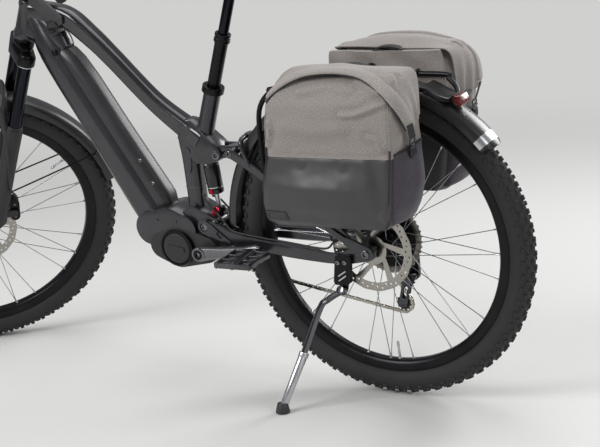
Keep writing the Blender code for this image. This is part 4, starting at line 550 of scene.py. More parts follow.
MESH_CLOTH, mesh_tree, mesh_shader = blank("knitted_plum_mesh", 0.0, 0.7, Sheen_Weight=0.2)
mesh_place = add(mesh_tree, "TexCoord").outputs["UV"]
holes = add(mesh_tree, "TexVoronoi", {"Vector": mesh_place, "Scale": per_metre(3.0), "Randomness": 0.15},
            feature="DISTANCE_TO_EDGE")
yarn = add(mesh_tree, "MapRange", {"Value": holes.outputs["Distance"], "From Min": 0.08, "From Max": 0.22})
mesh_mix = add(mesh_tree, "Mix", {0: yarn.outputs["Result"], 6: linear("4c4351"), 7: linear("1e1a20")},
               data_type="RGBA")
mesh_bump = add(mesh_tree, "Bump", {"Strength": 0.7, "Distance": 0.0006, "Height": yarn.outputs["Result"]})
mesh_bump.invert = True
dress(mesh_tree, mesh_shader, mesh_mix, mesh_bump)
SADDLE_SKIN = finish("grained_saddle_vinyl", "1b1a1b", "262526", 1.8, 0.5, 0.05, 0.09)
print("finishes", len(bpy.data.materials))

# %% [markdown]
# A finished piece is an object at the origin with its place in its mesh, like the CAD nodes. This helper
# cleans the mesh, stands it in the leaned bike (or the turned steering), smooths its shading and makes it
# ride on its body. hides names the CAD nodes that it stands for.

# %% Finish a piece
def piece(name, shape, body, look, hides=(), steered=False, crease=38.0, merge=0.000008, bend=None):
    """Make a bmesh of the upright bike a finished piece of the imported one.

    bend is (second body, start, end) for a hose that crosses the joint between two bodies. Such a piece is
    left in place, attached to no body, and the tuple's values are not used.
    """
    bmesh.ops.remove_doubles(shape, verts=shape.verts, dist=merge)
    bmesh.ops.recalc_face_normals(shape, faces=shape.faces)
    shape.transform(STEERED if steered else BIKE)
    mesh = bpy.data.meshes.new(name)
    shape.to_mesh(mesh)
    shape.free()
    mesh.materials.append(look)
    mesh.shade_smooth()
    mesh.set_sharp_from_angle(angle=radians(crease))
    made = bpy.data.objects.new(name, mesh)
    bpy.context.scene.collection.objects.link(made)
    if bend:
        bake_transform(made)
    else:
        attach(made, body)
    if hides:
        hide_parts(*hides)
    print("%-24s %6d faces on %s" % (name, len(mesh.polygons), body))
    return made


# %% [markdown]
# ## Studio
# A plain pale floor, four large soft lamps, and a camera where the photographer stood: behind the bike's
# left side, a little above the rack. The camera's numbers come from a fit to the photo's wheels.

# %% Floor, lamps and camera
floor_look, floor_tree, floor_shader = blank("pale_painted_floor", 0.0, 0.7)
floor_shader.inputs["Base Color"].default_value = linear("d9d9d6")
# Away from the bike the floor turns into the backdrop's own flat tone, so no horizon shows.
BACKDROP = "d0d0ce"
floor_place = add(floor_tree, "TexCoord").outputs["Object"]
reach = add(floor_tree, "VectorMath", {0: floor_place}, operation="LENGTH").outputs["Value"]
fade = add(floor_tree, "MapRange", {"Value": reach, "From Min": 1.4, "From Max": 5.0},
           interpolation_type="SMOOTHSTEP")
seen = add(floor_tree, "LightPath").outputs["Is Camera Ray"]
share = add(floor_tree, "Math", {0: fade.outputs[0], 1: seen}, operation="MULTIPLY")
flat_tone = add(floor_tree, "Emission", {"Color": linear(BACKDROP), "Strength": 1.0})
mixed = add(floor_tree, "MixShader",
            {0: share.outputs[0], 1: floor_shader.outputs[0], 2: flat_tone.outputs[0]})
floor_out = next(node for node in floor_tree.nodes if node.type == "OUTPUT_MATERIAL")
floor_tree.links.new(mixed.outputs[0], floor_out.inputs["Surface"])
floor_shape = bmesh.new()
bmesh.ops.create_grid(floor_shape, x_segments=1, y_segments=1, size=14.0)
floor_mesh = bpy.data.meshes.new("floor")
floor_shape.to_mesh(floor_mesh)
floor_shape.free()
floor_mesh.materials.append(floor_look)
floor = bpy.data.objects.new("floor", floor_mesh)
floor.location = (0.0, 0.0, -0.0015)
bpy.context.scene.collection.objects.link(floor)

world = bpy.data.worlds.new("studio")
bpy.context.scene.world = world
world.use_nodes = True
world.node_tree.nodes.clear()
rays = add(world.node_tree, "LightPath")
ambient = add(world.node_tree, "Background", {"Color": linear("e8eaee"), "Strength": 0.35})
backdrop = add(world.node_tree, "Background", {"Color": linear(BACKDROP), "Strength": 1.0})
chosen = add(world.node_tree, "MixShader",
             {0: rays.outputs["Is Camera Ray"], 1: ambient.outputs[0], 2: backdrop.outputs[0]})
add(world.node_tree, "OutputWorld", {"Surface": chosen.outputs[0]})

LAMPS = [("key", (-1.6, -3.2, 2.7), 2.0, 120.0), ("fill", (3.6, -1.0, 2.0), 2.0, 34.0),
         ("top", (0.2, 0.6, 3.8), 3.0, 62.0), ("rim", (1.8, 3.4, 2.4), 1.6, 80.0)]
for lamp_name, place, size, power in LAMPS:
    light = bpy.data.lights.new(lamp_name, "AREA")
    light.size = size
    light.energy = power
    lamp = bpy.data.objects.new(lamp_name, light)
    lamp.location = place
    lamp.rotation_euler = (Vector((0.1, 0.0, 0.5)) - Vector(place)).to_track_quat("-Z", "Y").to_euler()
    bpy.context.scene.collection.objects.link(lamp)

lens = bpy.data.cameras.new("photo")
lens.sensor_fit = "HORIZONTAL"
lens.sensor_width = 36.0
lens.lens = 92.7547
camera = bpy.data.objects.new("photo", lens)
bpy.context.scene.collection.objects.link(camera)
EYE_RIGHT = Vector((0.8623573, 0.5032259, -0.0557105))
EYE_UP = Vector((-0.0593022, 0.2096705, 0.9759721))
EYE_BACK = Vector((0.5028153, -0.8383329, 0.2106533))
camera.matrix_world = (Matrix.Translation((2.16067, -2.99671, 1.16074))
                       @ Matrix((EYE_RIGHT, EYE_UP, EYE_BACK)).transposed().to_4x4())
bpy.context.scene.camera = camera
bpy.context.scene.view_settings.view_transform = "Standard"
print("camera", [round(v, 3) for v in camera.location])

# %% [markdown]
# ## Wheels
# A mountain tyre is a round casing with rows of rubber knobs moulded on. One row is made once and spun round
# the axle. Knobs are the first thing that the eye finds, so each is a real block with softened edges, not a
# pattern: pairs at the crown, then a shifted block at the shoulder, which grips in corners.

# %% Tyre
WHEELS = (("front", FRONT, True), ("rear", REAR, False))
CASING_R = 0.028
CASING_MIDDLE = 0.3375


def tyre(centre, rows=72):
    """Casing and knobs about one axle."""
    ring = []
    for step in range(29):
        turn = radians(-162.0 + 324.0 * step / 28.0)
        ring.append((CASING_R * sin(turn), CASING_MIDDLE + CASING_R * cos(turn)))
    ring += mm((9, 312.5), (-9, 312.5))
    casing = lathe(ring, centre, Y_AXIS, 144)
    knobs = bmesh.new()
    for side in (-1, 1):
        for shift, turn, across, long, tall in ((0.0, 0.21, 0.0098, 0.0125, 0.0046),
                                                (0.5, 0.72, 0.008, 0.0105, 0.005),
                                                (0.0, 1.12, 0.0078, 0.012, 0.0044)):
            knob = block((0.0, 0.0, 0.0282 + tall / 2.0 - 0.001), (long, across, tall + 0.002), edge=0.0009,
                         segments=1)
            for vertex in knob.verts:
                if vertex.co.z > 0.029:
                    vertex.co.x *= 0.86
                    vertex.co.y *= 0.84
            bmesh.ops.rotate(knob, matrix=Matrix.Rotation(-side * turn, 3, "X"), verts=knob.verts)
            bmesh.ops.translate(knob, vec=(0.0, 0.0, CASING_MIDDLE), verts=knob.verts)
            step_turn = (shift + 0.25 * side) * tau / rows
            bmesh.ops.rotate(knob, matrix=Matrix.Rotation(step_turn, 3, "Y"), verts=knob.verts)
            absorb(knobs, knob)
    bmesh.ops.spin(knobs, geom=knobs.verts[:] + knobs.edges[:] + knobs.faces[:], cent=(0.0, 0.0, 0.0),
                   axis=(0.0, 1.0, 0.0), dvec=(0.0, 0.0, 0.0), angle=tau, steps=rows, use_merge=False,
                   use_duplicate=True)
    bmesh.ops.translate(knobs, vec=centre, verts=knobs.verts)
    return absorb(casing, knobs)


for word, centre, turned in WHEELS:
    piece(word + "_knobbly_tyre", tyre(centre), word + "_wheel", RUBBER, [word + "_tyre"],
          turned, merge=0.000002)

# %% [markdown]
# The rim is a hooked aluminium extrusion. Its spokes are drawn wire, laced so that each crosses others from
# the same flange, and each ends in a bright nipple in the rim. The photo shows the nipples as light dots.

# %% Rim, spokes and nipples
RIM_SECTION = mm((-16.5, 313.2), (-15.8, 314), (-14.2, 313.5), (-13.5, 305), (13.5, 305), (14.2, 313.5),
                 (15.8, 314), (16.5, 313.2), (16.2, 302), (13, 292.5), (8.5, 289), (3.5, 288.6),
                 (-3.5, 288.6), (-8.5, 289), (-13, 292.5), (-16.2, 302))
FLANGE_R = 0.0265
NIPPLE_R = 0.288
FLANGES = {"front": (-0.0252, 0.0328, 0.2), "rear": (-0.032, 0.0215, 0.05)}
for word, centre, turned in WHEELS:
    rim = lathe(RIM_SECTION, centre, Y_AXIS, 128, edge=0.0004)
    piece(word + "_hooked_rim", rim, word + "_wheel", BLACK_METAL, [word + "_rim"], turned)
    wires = bmesh.new()
    nipples = bmesh.new()
    left, right, phase = FLANGES[word]
    for side, flange in enumerate((left, right)):
        for k in range(16):
            turn = phase + (k + side * 0.5) * tau / 16.0
            swing = radians(67.5) * (1 if k % 2 else -1)
            out = 0.0018 * (1 if k % 4 < 2 else -1)
            start = centre + outward(turn) * FLANGE_R + Y_AXIS * (flange + out)
            stop = centre + outward(turn + swing * 0.92) * NIPPLE_R + Y_AXIS * 0.003 * (1 if side else -1)
            heading = (stop - start).normalized()
            absorb(wires, rod(start - heading * 0.0015, stop, 0.001, sides=8))
            absorb(wires, cross_rod(start, 0.0022, 0.0019, 8))
            absorb(nipples, rod(stop - heading * 0.012, stop - heading * 0.001, 0.0018, 0.0021, sides=8))
            absorb(nipples, rod(stop - heading * 0.002, stop + heading * 0.0022, 0.0032, sides=10))
    piece(word + "_drawn_spokes", wires, word + "_wheel", SPOKE_STEEL, [word + "_hub"], turned)
    piece(word + "_spoke_nipples", nipples, word + "_wheel", BARE_ALLOY, [word + "_rim"],
          turned)
    valve_turn = phase + 0.2 if word == "front" else radians(-88.0)
    out = outward(valve_turn)
    valve = absorb(rod(centre + out * 0.289, centre + out * 0.256, 0.003, sides=14, edge=0.0004),
                   rod(centre + out * 0.2885, centre + out * 0.285, 0.0055, sides=12, edge=0.0005),
                   rod(centre + out * 0.256, centre + out * 0.246, 0.0038, 0.003, 14, 0.0006))
    piece(word + "_tyre_valve", valve, word + "_wheel", BARE_ALLOY, [word + "_rim"], turned)

# %% [markdown]
# The hubs are turned from bar, with a thin flange for each row of spokes. The brake disc is a punched ring
# with holes on six arms, screwed to the hub. The cassette's eleven cogs step up toward the spokes.

# %% Hubs, discs and cassette
HUBS = {"front": mm((54.6, 7.8), (54.6, 10.3), (45, 10.3), (40, 14.5), (34.6, 14.8), (34.4, 29.8),
                    (31.2, 29.8), (30, 16), (20, 12.5), (-12, 12.5), (-22.5, 16), (-23.7, 29.8),
                    (-26.8, 29.8), (-27, 21.5), (-39, 21.5), (-39.2, 15), (-45.2, 10.3), (-54.6, 10.3),
                    (-54.6, 7.8)),
        "rear": mm((74, 6.3), (74, 10.8), (63.2, 10.8), (63, 16.5), (23.7, 17), (23.4, 29.8), (19.7, 29.8),
                   (18.5, 18), (8, 14.5), (-20, 14.5), (-29, 18), (-30.2, 29.8), (-33.8, 29.8), (-34, 21.5),
                   (-55.5, 21.5), (-56, 16), (-61.2, 10.8), (-74, 10.8), (-74, 6.3))}
DISC_Y = {"front": -0.041, "rear": -0.0575}
DISC_HALF = 0.0009


def disc_loops(centre):
    """Outlines of a brake disc: scalloped rim, six windows, cooling holes and a centre hole."""
    turns = [tau * step / 180.0 for step in range(180)]
    loops = [[around(centre, 0.0995 - 0.0012 * (0.5 + 0.5 * cos(t * 15.0)), t) for t in turns],
             circle(centre, 0.0165, 40)]
    for arm in range(6):
        base = tau * arm / 6.0
        window = [around(centre, 0.0795, base + radians(a)) for a in range(5, 57, 6)]
        loops.append(window + [around(centre, 0.036, base + radians(a)) for a in range(72, 28, -8)])
    for k in range(45):
        loops.append(circle(around(centre, (0.0845, 0.0885, 0.0925)[k % 3], tau * k / 45.0), 0.0024, 10))
    return loops


for word, centre, turned in WHEELS:
    hub = lathe(HUBS[word], centre, Y_AXIS, 64, edge=0.0004)
    piece(word + "_turned_hub", hub, word + "_wheel", BLACK_METAL, [word + "_hub"], turned)
    y = DISC_Y[word]
    disc = plate(disc_loops(centre), y - DISC_HALF, y + DISC_HALF, 0.00015)
    piece(word + "_brake_disc", disc, word + "_wheel", FRONT_DISC if turned else REAR_DISC,
          [word + "_rotor"], turned)
    screws = bmesh.new()
    for k in range(6):
        spot = centre + outward(radians(60.0 * k + 15.0)) * 0.0195 + Y_AXIS * (y - 0.0012)
        absorb(screws, bolt(spot, -Y_AXIS, 0.0026, 0.0018))
    piece(word + "_disc_screws", screws, word + "_wheel", BLACK_METAL, [word + "_hub"], turned)


def cog(centre, teeth, radius, low, high, bore):
    """A toothed sprocket outline with a bore."""
    line = []
    for k in range(teeth):
        for share, drop in ((0.0, 0.003), (0.22, 0.003), (0.4, 0.0), (0.6, 0.0), (0.78, 0.003)):
            line.append(around(centre, radius - drop, tau * (k + share) / teeth))
    return plate([line, circle(centre, bore, 36)], low, high, 0.0002)


LINK_LENGTH = 0.0127
cogs = bmesh.new()
COG_STEPS = mm((60.6, 26.2), (57.1, 26.2), (53.6, 40.5), (50.1, 41.5), (44.7, 54.5), (41.2, 55.5),
               (37.7, 55.5), (35.1, 71), (31.6, 71.5), (29.1, 85), (25.6, 85.5))
for low, radius in COG_STEPS:
    teeth = int(round(tau * radius / LINK_LENGTH))
    absorb(cogs, cog(REAR, teeth, radius, low - 0.0016, low, max(0.0176, radius - 0.0155)))
carrier = lathe(mm((61.2, 17.4), (61.2, 20), (54.5, 23.5), (52, 33), (43, 42), (33, 56), (24.5, 72), (24, 60),
                   (24, 17.4)), REAR, Y_AXIS, 48)
piece("stepped_cassette", cogs, "rear_wheel", COG_STEEL, ["cassette"])
piece("cassette_carrier", carrier, "rear_wheel", BLACK_METAL, ["cassette"])

# %% [markdown]
# ## Frame
# The frame's tubes are hydroformed: an aluminium tube is pressed outward in a mould, so its section changes
# along its length. A loft through rounded rings gives that. Each tube is a piece of its own and runs a little
# into the next, as a filed weld does.

# %% Down tube
def box_tube(stations, direction=None, per_span=5, steps=7):
    """A loft through rounded sections: (centre, width across, depth, corner), smoothed between stations."""
    numbers = [tuple(centre) + (width, depth, corner) for centre, width, depth, corner in stations]
    lines = [smooth_line([(n[k], n[k + 3], 0.0) for n in numbers], per_span) for k in range(3)]
    rings = []
    centres = [Vector((a.x, b.x, c.x)) for a, b, c in zip(*lines)]
    for k, centre in enumerate(centres):
        ahead = direction or ahead_at(centres, k)
        up = Vector((-ahead.z, 0.0, ahead.x)).normalized()
        rings.append(rounded_ring(centre, Y_AXIS, up, lines[0][k].y, lines[1][k].y, lines[2][k].y, steps))
    return loft(rings)


DOWN_LENGTH = (DOWN_FOOT - DOWN_START).length
down_tube = box_tube([(down_point(-0.072, 0.008), 0.05, 0.046, 0.022),
                      (down_point(-0.035, 0.0082), 0.059, 0.059, 0.0285),
                      (down_point(0.04, 0.0), 0.072, 0.081, 0.031),
                      (down_point(0.24, 0.0), 0.077, 0.085, 0.033),
                      (down_point(DOWN_LENGTH - 0.115, 0.0), 0.08, 0.09, 0.033),
                      (down_point(DOWN_LENGTH - 0.04, 0.0), 0.08, 0.07, 0.026)])
piece("hydroformed_down_tube", down_tube, "frame", PAINT, ["main_frame"])

# %% [markdown]
# The head tube is turned from thick tube and holds the two steering bearings. The photo shows a grainier
# panel on its side, a rubber-like guard against the hoses. The charge port boss grows out of the joint.

# %% Head tube and port boss
head_tube = lathe(mm((548, 15), (548, 28), (551, 28.6), (564, 28.6), (570, 26.2), (628, 25.8), (636, 28.4),
                     (647, 28.6), (650, 28), (650, 15)), STEER_FOOT, UP_AXIS, 72, edge=0.0008)
neck = box_tube([(steer_point(0.599, 0.0), 0.04, 0.09, 0.018), (steer_point(0.597, 0.04), 0.05, 0.088, 0.02),
                 (steer_point(0.59, 0.076), 0.054, 0.08, 0.024),
                 (steer_point(0.578, 0.108), 0.052, 0.07, 0.024),
                 (steer_point(0.568, 0.13), 0.046, 0.048, 0.02)])
CAP_CENTRE = DOWN_START + Vector((0.0465, -0.03, 0.0315))
LOCK_CENTRE = DOWN_START + Vector((0.042, 0.0, -0.0304))
port = absorb(
    lathe(mm((0, 0), (0, 18.8), (-5, 19.6), (-20, 20), (-20, 0)), CAP_CENTRE, -Y_AXIS, 48, edge=0.0006),
    lathe(mm((0.1, 16.5), (1.2, 16.6), (1.4, 17.6), (1, 18.8), (-1, 18.8), (-1, 16.5)), CAP_CENTRE, -Y_AXIS,
          48))
guard = plate([mm((-289.6, 968.1), (-250.5, 959.7), (-219.1, 932), (-194.4, 909.4), (-195, 892.3),
                  (-216.9, 884), (-238.9, 897.9), (-264.8, 923.1), (-289.3, 941))], -0.0305, -0.024, 0.0014)
piece("turned_head_tube", absorb(head_tube, neck, port), "frame", PAINT)
piece("head_tube_guard", guard, "frame", PATCH)
bearing_seals = lathe(mm((649.5, 15), (651.2, 15), (651.2, 26.2), (649.5, 28)), STEER_FOOT, UP_AXIS, 48)
piece("bearing_seals", bearing_seals, "frame", SEAL)

# %% [markdown]
# The top tube bends down behind the head tube and carries a shallow groove along each side. The groove turns
# a broad flat side into two bands with a bright line between, as in the photo.

# %% Top tube
def grooved_ring(middle, up, width, depth, groove):
    """A rounded section whose sides are pressed in along the middle."""
    ring = rounded_ring(middle, Y_AXIS, up, width, depth, min(width, depth) * 0.32, 9)
    pressed = []
    for point in ring:
        side = (point - middle).dot(Y_AXIS)
        rise = (point - middle).dot(up) / depth
        dent = groove * exp(-((rise - 0.1) / 0.1) ** 2) if abs(side) > width * 0.3 else 0.0
        pressed.append(point - Y_AXIS * dent * (1.0 if side > 0.0 else -1.0))
    return pressed


TOP_FRONT = steer_point(0.6275, 0.0162)
TOP_REAR = Vector((0.15, 0.0, 0.602))
top_knots = [(0.0, 0.0, 0.05, 0.054), (0.16, 0.0412, 0.05, 0.05), (0.311, 0.0395, 0.046, 0.046),
             (0.449, 0.0287, 0.043, 0.043), (0.711, 0.0025, 0.043, 0.042), (0.9, -0.002, 0.05, 0.048),
             (1.0, 0.0, 0.056, 0.056)]
run = TOP_REAR - TOP_FRONT
lift = Vector((-run.z, 0.0, run.x)).normalized()
middles = smooth_line([TOP_FRONT + run * share + lift * rise for share, rise, depth, width in top_knots], 8)
sizes = smooth_line([(depth, width, 0.0) for share, rise, depth, width in top_knots], 8)
top_rings = []
for k, (middle, size) in enumerate(zip(middles, sizes)):
    ahead = ahead_at(middles, k)
    up = Vector((-ahead.z, 0.0, ahead.x))
    fade = min(1.0, k / 8.0, (len(middles) - 1 - k) / 8.0)
    top_rings.append(grooved_ring(middle, up, size.y, size.x, 0.0022 * fade))
piece("grooved_top_tube", loft(top_rings), "frame", GLOSS_PAINT)

# %% [markdown]
# The short lower seat tube, the gusset that holds the rocker and the mast above them are forged and welded
# together. The seam and the bright pinch ring at the collar are where the eye checks the scale.

# %% Seat tube and gusset
seat_low = box_tube([(xz((0.1155, 0.64)), 0.05, 0.05, 0.015), (xz((0.113, 0.6)), 0.05, 0.052, 0.016),
                     (xz((0.112, 0.56)), 0.048, 0.044, 0.015), (xz((0.11, 0.48)), 0.042, 0.043, 0.014),
                     (xz((0.1085, 0.395)), 0.041, 0.044, 0.014)])
mast_low = COLLAR - SEAT_AXIS * 0.262
mast = lathe(mm((0, 16.5), (0, 23.2), (20, 21.5), (50, 20.6), (130, 20.4), (131, 16), (131, 15.8)), mast_low,
             SEAT_AXIS, 64)
gusset = plate([mm((86, 606), (102, 588), (122, 562), (140, 548), (166, 546), (193, 552), (206, 560),
                   (212, 574), (205, 588), (190, 603), (166, 626), (150, 640), (134, 652), (116, 656),
                   (100, 643), (90, 622))], -0.029, 0.029, 0.005)
for knot in gusset.verts:
    knot.co.y *= 1.0 - 0.34 * portion(((knot.co.z - 0.575) * 0.62 - (knot.co.x - 0.19) * 0.78 - 0.03) / 0.06)
for side in (-1, 1):
    low, high = sorted((side * 0.0225, side * 0.0262))
    oval = [(0.1145 + 0.0095 * cos(t) + 0.002 * sin(t), 0.556 + 0.033 * sin(t))
            for t in [pi * k / 16.0 for k in range(32)]]
    absorb(gusset, plate([oval], low, high, 0.0012))
along_seat = Vector((-0.02, 0, -1)).normalized()
seam = absorb(box_tube([(xz(spot), 0.0432, 0.0442, 0.0145) for spot in ((0.1102, 0.488), (0.11, 0.4845))],
                       along_seat, 1),
              box_tube([(xz(spot), 0.043, 0.044, 0.0142) for spot in ((0.109, 0.427), (0.109, 0.422))],
                       along_seat, 1))
piece("forged_seat_tube", absorb(seat_low, mast, gusset), "frame", PAINT)
piece("seat_tube_seams", seam, "frame", DARK_ALLOY)

cradle = absorb(plate([hull(mm((-12, 385, 42), (45, 398, 42), (84, 385, 38)))], -0.0485, 0.044, 0.006),
                plate([hull(mm((148, 396, 17.5), (85, 395, 30), (112, 430, 14), (170, 403, 12)))], -0.0355,
                      0.0355, 0.003))
piece("motor_cradle", cradle, "frame", PAINT)
frame_bolts = bmesh.new()
for spot, low, radius in (((0.066, 0.406), -0.0495, 0.0042), ((0.012, 0.408), -0.0495, 0.0038),
                          (ROCKER_PIN, -0.0292, 0.01), ((0.17, 0.403), -0.0362, 0.0065)):
    absorb(frame_bolts, bolt(xz(spot, low + 0.0008), -Y_AXIS, radius, 0.003),
           bolt(xz(spot, -low - 0.0008), Y_AXIS, radius, 0.003))
for spot in ((-0.019, 0.556), (0.009, 0.499)):
    absorb(frame_bolts, bolt(xz(spot, -0.0395), -Y_AXIS, 0.0045, 0.0026))
piece("frame_bolts", frame_bolts, "frame", POLISHED)

# %% [markdown]
# The motor is a cast magnesium shell behind a moulded round cover. The cover is dished, with a raised rim and
# a fine step, so that a highlight runs round it.

# %% Motor
motor = absorb(plate([hull(mm((66, 341, 52), (144.5, 338, 33.5), (15, 342, 33)))], -0.049, 0.044, 0.006),
               plate([hull(mm((66, 341, 53.5), (144.5, 338, 35), (15, 342, 34.5)))], -0.003, 0.003, 0.001))
fins = bmesh.new()
for k in range(5):
    absorb(fins,
           block((0.044 + 0.012 * k, 0.0, 0.2912 + 0.0006 * abs(k - 2)), (0.0035, 0.062, 0.008), edge=0.001))
piece("cast_motor_shell", absorb(motor, fins), "frame", PLASTIC, ["motor_unit"])
MOTOR = Vector((0.066, 0.0, 0.341))  # the middle of the round cover
cover = lathe(mm((49.5, 0), (49.5, 45.2), (56, 45), (57.6, 43.6), (57.6, 40.2), (56, 39.8), (56, 38.4),
                 (59, 37.8), (59.8, 36.5), (60, 30), (60.6, 14), (60.8, 0)), MOTOR, -Y_AXIS, 96, edge=0.0004)
badge = plate([hull(mm((48, 344, 6.2), (84, 338, 6.2)))], -0.0624, -0.06, 0.0007)
piece("moulded_motor_cover", absorb(cover, badge), "frame", PLASTIC, ["motor_cover"])
cover_ring = lathe(
    mm((49, 45), (53, 47), (57, 46.8), (59.4, 45.5), (60.2, 43.6), (59.8, 41.2), (58.4, 40.2), (56, 40)),
    MOTOR, -Y_AXIS, 96)
piece("motor_cover_ring", cover_ring, "frame", BLACK_METAL, ["motor_cover"])

# %% [markdown]
# The battery's outer cover follows the down tube with a long flat crown. Its edge stands a little proud over
# a dark joint line. The key lock and the round port cap sit at its top end.

# %% Battery, lock and cap
BATTERY_TO = DOWN_LENGTH - 0.065
BATTERY_LOW = -0.018
battery_rings = []
for along, top, half in ((0.042, 0.04, 0.023), (0.046, 0.043, 0.027), (0.06, 0.05, 0.029),
                         (0.09, 0.058, 0.0298), (0.15, 0.063, 0.03), (0.3, 0.066, 0.03),
                         (BATTERY_TO - 0.05, 0.0725, 0.03), (BATTERY_TO - 0.03, 0.0728, 0.0298),
                         (BATTERY_TO - 0.006, 0.064, 0.029), (BATTERY_TO, 0.06, 0.026)):
    crown = [(-half, BATTERY_LOW), (-half, top - 0.02), (-half + 0.0016, top - 0.015),
             (-half + 0.009, top - 0.0028), (-half + 0.014, top - 0.0004), (-0.006, top)]
    outline = crown + [(-across, rise) for across, rise in crown[::-1]]
    battery_rings.append([down_point(along, rise, across) for across, rise in outline])
battery = soften(loft(battery_rings), 0.0012, 35.0, 2)
piece("lacquered_battery_cover", battery, "battery", COVER, ["battery"])
lock = absorb(lathe(mm((32.3, 0), (32.3, 7.8), (37, 7.8), (37.7, 6.8), (37.7, 5.2), (36.6, 4.8), (36.6, 0)),
                    LOCK_CENTRE, -Y_AXIS, 40, edge=0.0002),
              block(LOCK_CENTRE - Y_AXIS * 0.0367, (0.006, 0.0012, 0.0012)))
piece("key_lock_barrel", lock, "key_lock", BLACK_METAL, ["battery_lock"])
cap = absorb(lathe(
    mm((0.3, 0), (0.3, 16), (1.2, 16.5), (2.8, 16.5), (3.5, 15.7), (3.5, 11), (3.1, 10.4), (3.1, 0)),
    CAP_CENTRE, -Y_AXIS, 56, edge=0.0002),
             block(CAP_CENTRE + Vector((0.0, -0.0022, 0.014)), (0.008, 0.0024, 0.004), edge=0.0008))
piece("port_cap_moulding", cap, "charge_cap", GLOSS_BLACK, ["charge_port_cap"])

# %% [markdown]
# The collar and the dropper post. The outer tube is black anodised, with a wiper collar where the thinner
# polished tube slides out. A pinch bolt closes the collar over a slot in the frame.

# %% Seat clamp and dropper post
clamp_at = COLLAR - SEAT_AXIS * 0.131
clamp = lathe(
    mm((-8, 20.8), (-8, 26.2), (-6, 26.5), (6, 26.5), (8, 26.2), (8, 16.4), (6.6, 16.4), (6.6, 20.8)),
    clamp_at, SEAT_AXIS, 64, edge=0.0004)
absorb(clamp, bolt(clamp_at + Vector((0.024, -0.006, 0.0)), -Y_AXIS, 0.0035, 0.004))
piece("seat_clamp_ring", clamp, "frame", BLACK_METAL, ["seat_clamp"])
post = lathe(mm((-300, 12.7), (-300, 15.5), (-20, 15.7), (-12, 17), (-11, 19.3), (-3, 19.4), (-2, 18.2),
                (3, 18.2), (4, 19.3), (9, 19.2), (10, 18), (10, 12.7)), COLLAR, SEAT_AXIS, 64, edge=0.0004)
piece("dropper_outer_tube", post, "frame", BLACK_METAL, ["seatpost_outer"])
POST_TOP = COLLAR + SEAT_AXIS * 0.172
inner = rod(COLLAR - SEAT_AXIS * 0.115, POST_TOP, 0.0124, sides=48, edge=0.0004)
piece("dropper_inner_tube", inner, "seatpost", SLEEK_TUBE, ["seatpost_inner"])
head = absorb(block(POST_TOP + Vector((0.0, 0.0, 0.002)), (0.04, 0.044, 0.015), edge=0.004),
              rod(POST_TOP + Vector((0.0, -0.025, 0.014)), POST_TOP + Vector((0.0, 0.025, 0.014)), 0.007,
                  sides=24, edge=0.001),
              block(POST_TOP + Vector((0.0, 0.0, 0.021)), (0.034, 0.05, 0.0045), edge=0.0015),
              bolt(POST_TOP + Vector((0.014, 0.0, 0.0235)), Z_AXIS, 0.004, 0.0036),
              bolt(POST_TOP + Vector((-0.014, 0.0, 0.0235)), Z_AXIS, 0.004, 0.0036))
piece("saddle_clamp_head", head, "seatpost", BLACK_METAL)

# %% [markdown]
# ## Rear suspension
# Two flat-bar stays on each side are forged and then machined. Their edges are broken with a wide chamfer,
# which the photo shows as two bright lines. A one-piece rocker joins the upper stays to the shock.

# %% Lower stays
def flat_bar(stations, side, edge):
    """A bar of stations (x, z, y, thickness, height), with a chamfered rectangular section."""
    centres = smooth_line([(x, side * y, z) for x, z, y, thick, tall in stations], 5)
    sizes = smooth_line([(thick, tall, 0.0) for x, z, y, thick, tall in stations], 5)
    rings = []
    for k, (centre, size) in enumerate(zip(centres, sizes)):
        ahead = centres[min(k + 1, len(centres) - 1)] - centres[max(k - 1, 0)]
        up = Vector((-ahead.z, 0.0, ahead.x)).normalized()
        half_t, half_h = size.x / 2.0, size.y / 2.0
        corner = min(edge, half_t * 0.6, half_h * 0.6)
        rings.append([centre + Y_AXIS * (a * half_t - b * corner) + up * (c * half_h - d * corner)
                      for a, b, c, d in ((1, 0, 1, 1), (1, 1, 1, 0), (-1, -1, 1, 0), (-1, 0, 1, 1),
                                         (-1, 0, -1, -1), (-1, -1, -1, 0), (1, 1, -1, 0), (1, 0, -1, -1))])
    return loft(rings)


CHAIN_STATIONS = mm((150, 396, 40.75, 8.5, 32), (190, 377.5, 40.75, 8.5, 44), (229, 367, 42, 8.5, 34),
                    (300, 361, 48, 12.5, 29), (388, 356, 59, 14.5, 31), (470, 352.7, 70, 14.5, 28),
                    (512, 352, 77.8, 7.2, 26.5), (560, 356, 78.4, 6.8, 27))
for side, word in SIDES:
    low, high = sorted((side * 0.075, side * 0.0818))
    eye_low, eye_high = sorted((side * 0.0365, side * 0.045))
    stay = absorb(flat_bar(CHAIN_STATIONS, side, 0.0028),
                  plate([hull([(REAR.x, REAR.z, 0.0198), (0.545, 0.354, 0.0152)])], low, high, 0.0014),
                  plate([circle(MAIN_PIVOT, 0.0186, 48)], eye_low, eye_high, 0.0016))
    if side > 0:
        absorb(stay, plate([hull([(REAR.x, REAR.z, 0.0148), (0.63, 0.33, 0.01)])], low + 0.0004,
                           high - 0.0004, 0.001))
    piece("machined_lower_stay_" + word, stay, "chainstay", PAINT, ["chainstay"])
bridge = block((0.19, 0.0, 0.364), (0.017, 0.079, 0.023), edge=0.0045, segments=3)
link = plate([hull(mm((148.5, 397, 17.2), (212, 357, 9.2))), circle(MAIN_PIVOT, 0.0104, 32),
              hull(mm((187.5, 381.5, 5.2), (193, 374.5, 5.2)))], -0.0488, -0.0446, 0.0014)
piece("stay_bridge", absorb(bridge, link), "chainstay", PAINT, ["chainstay"])
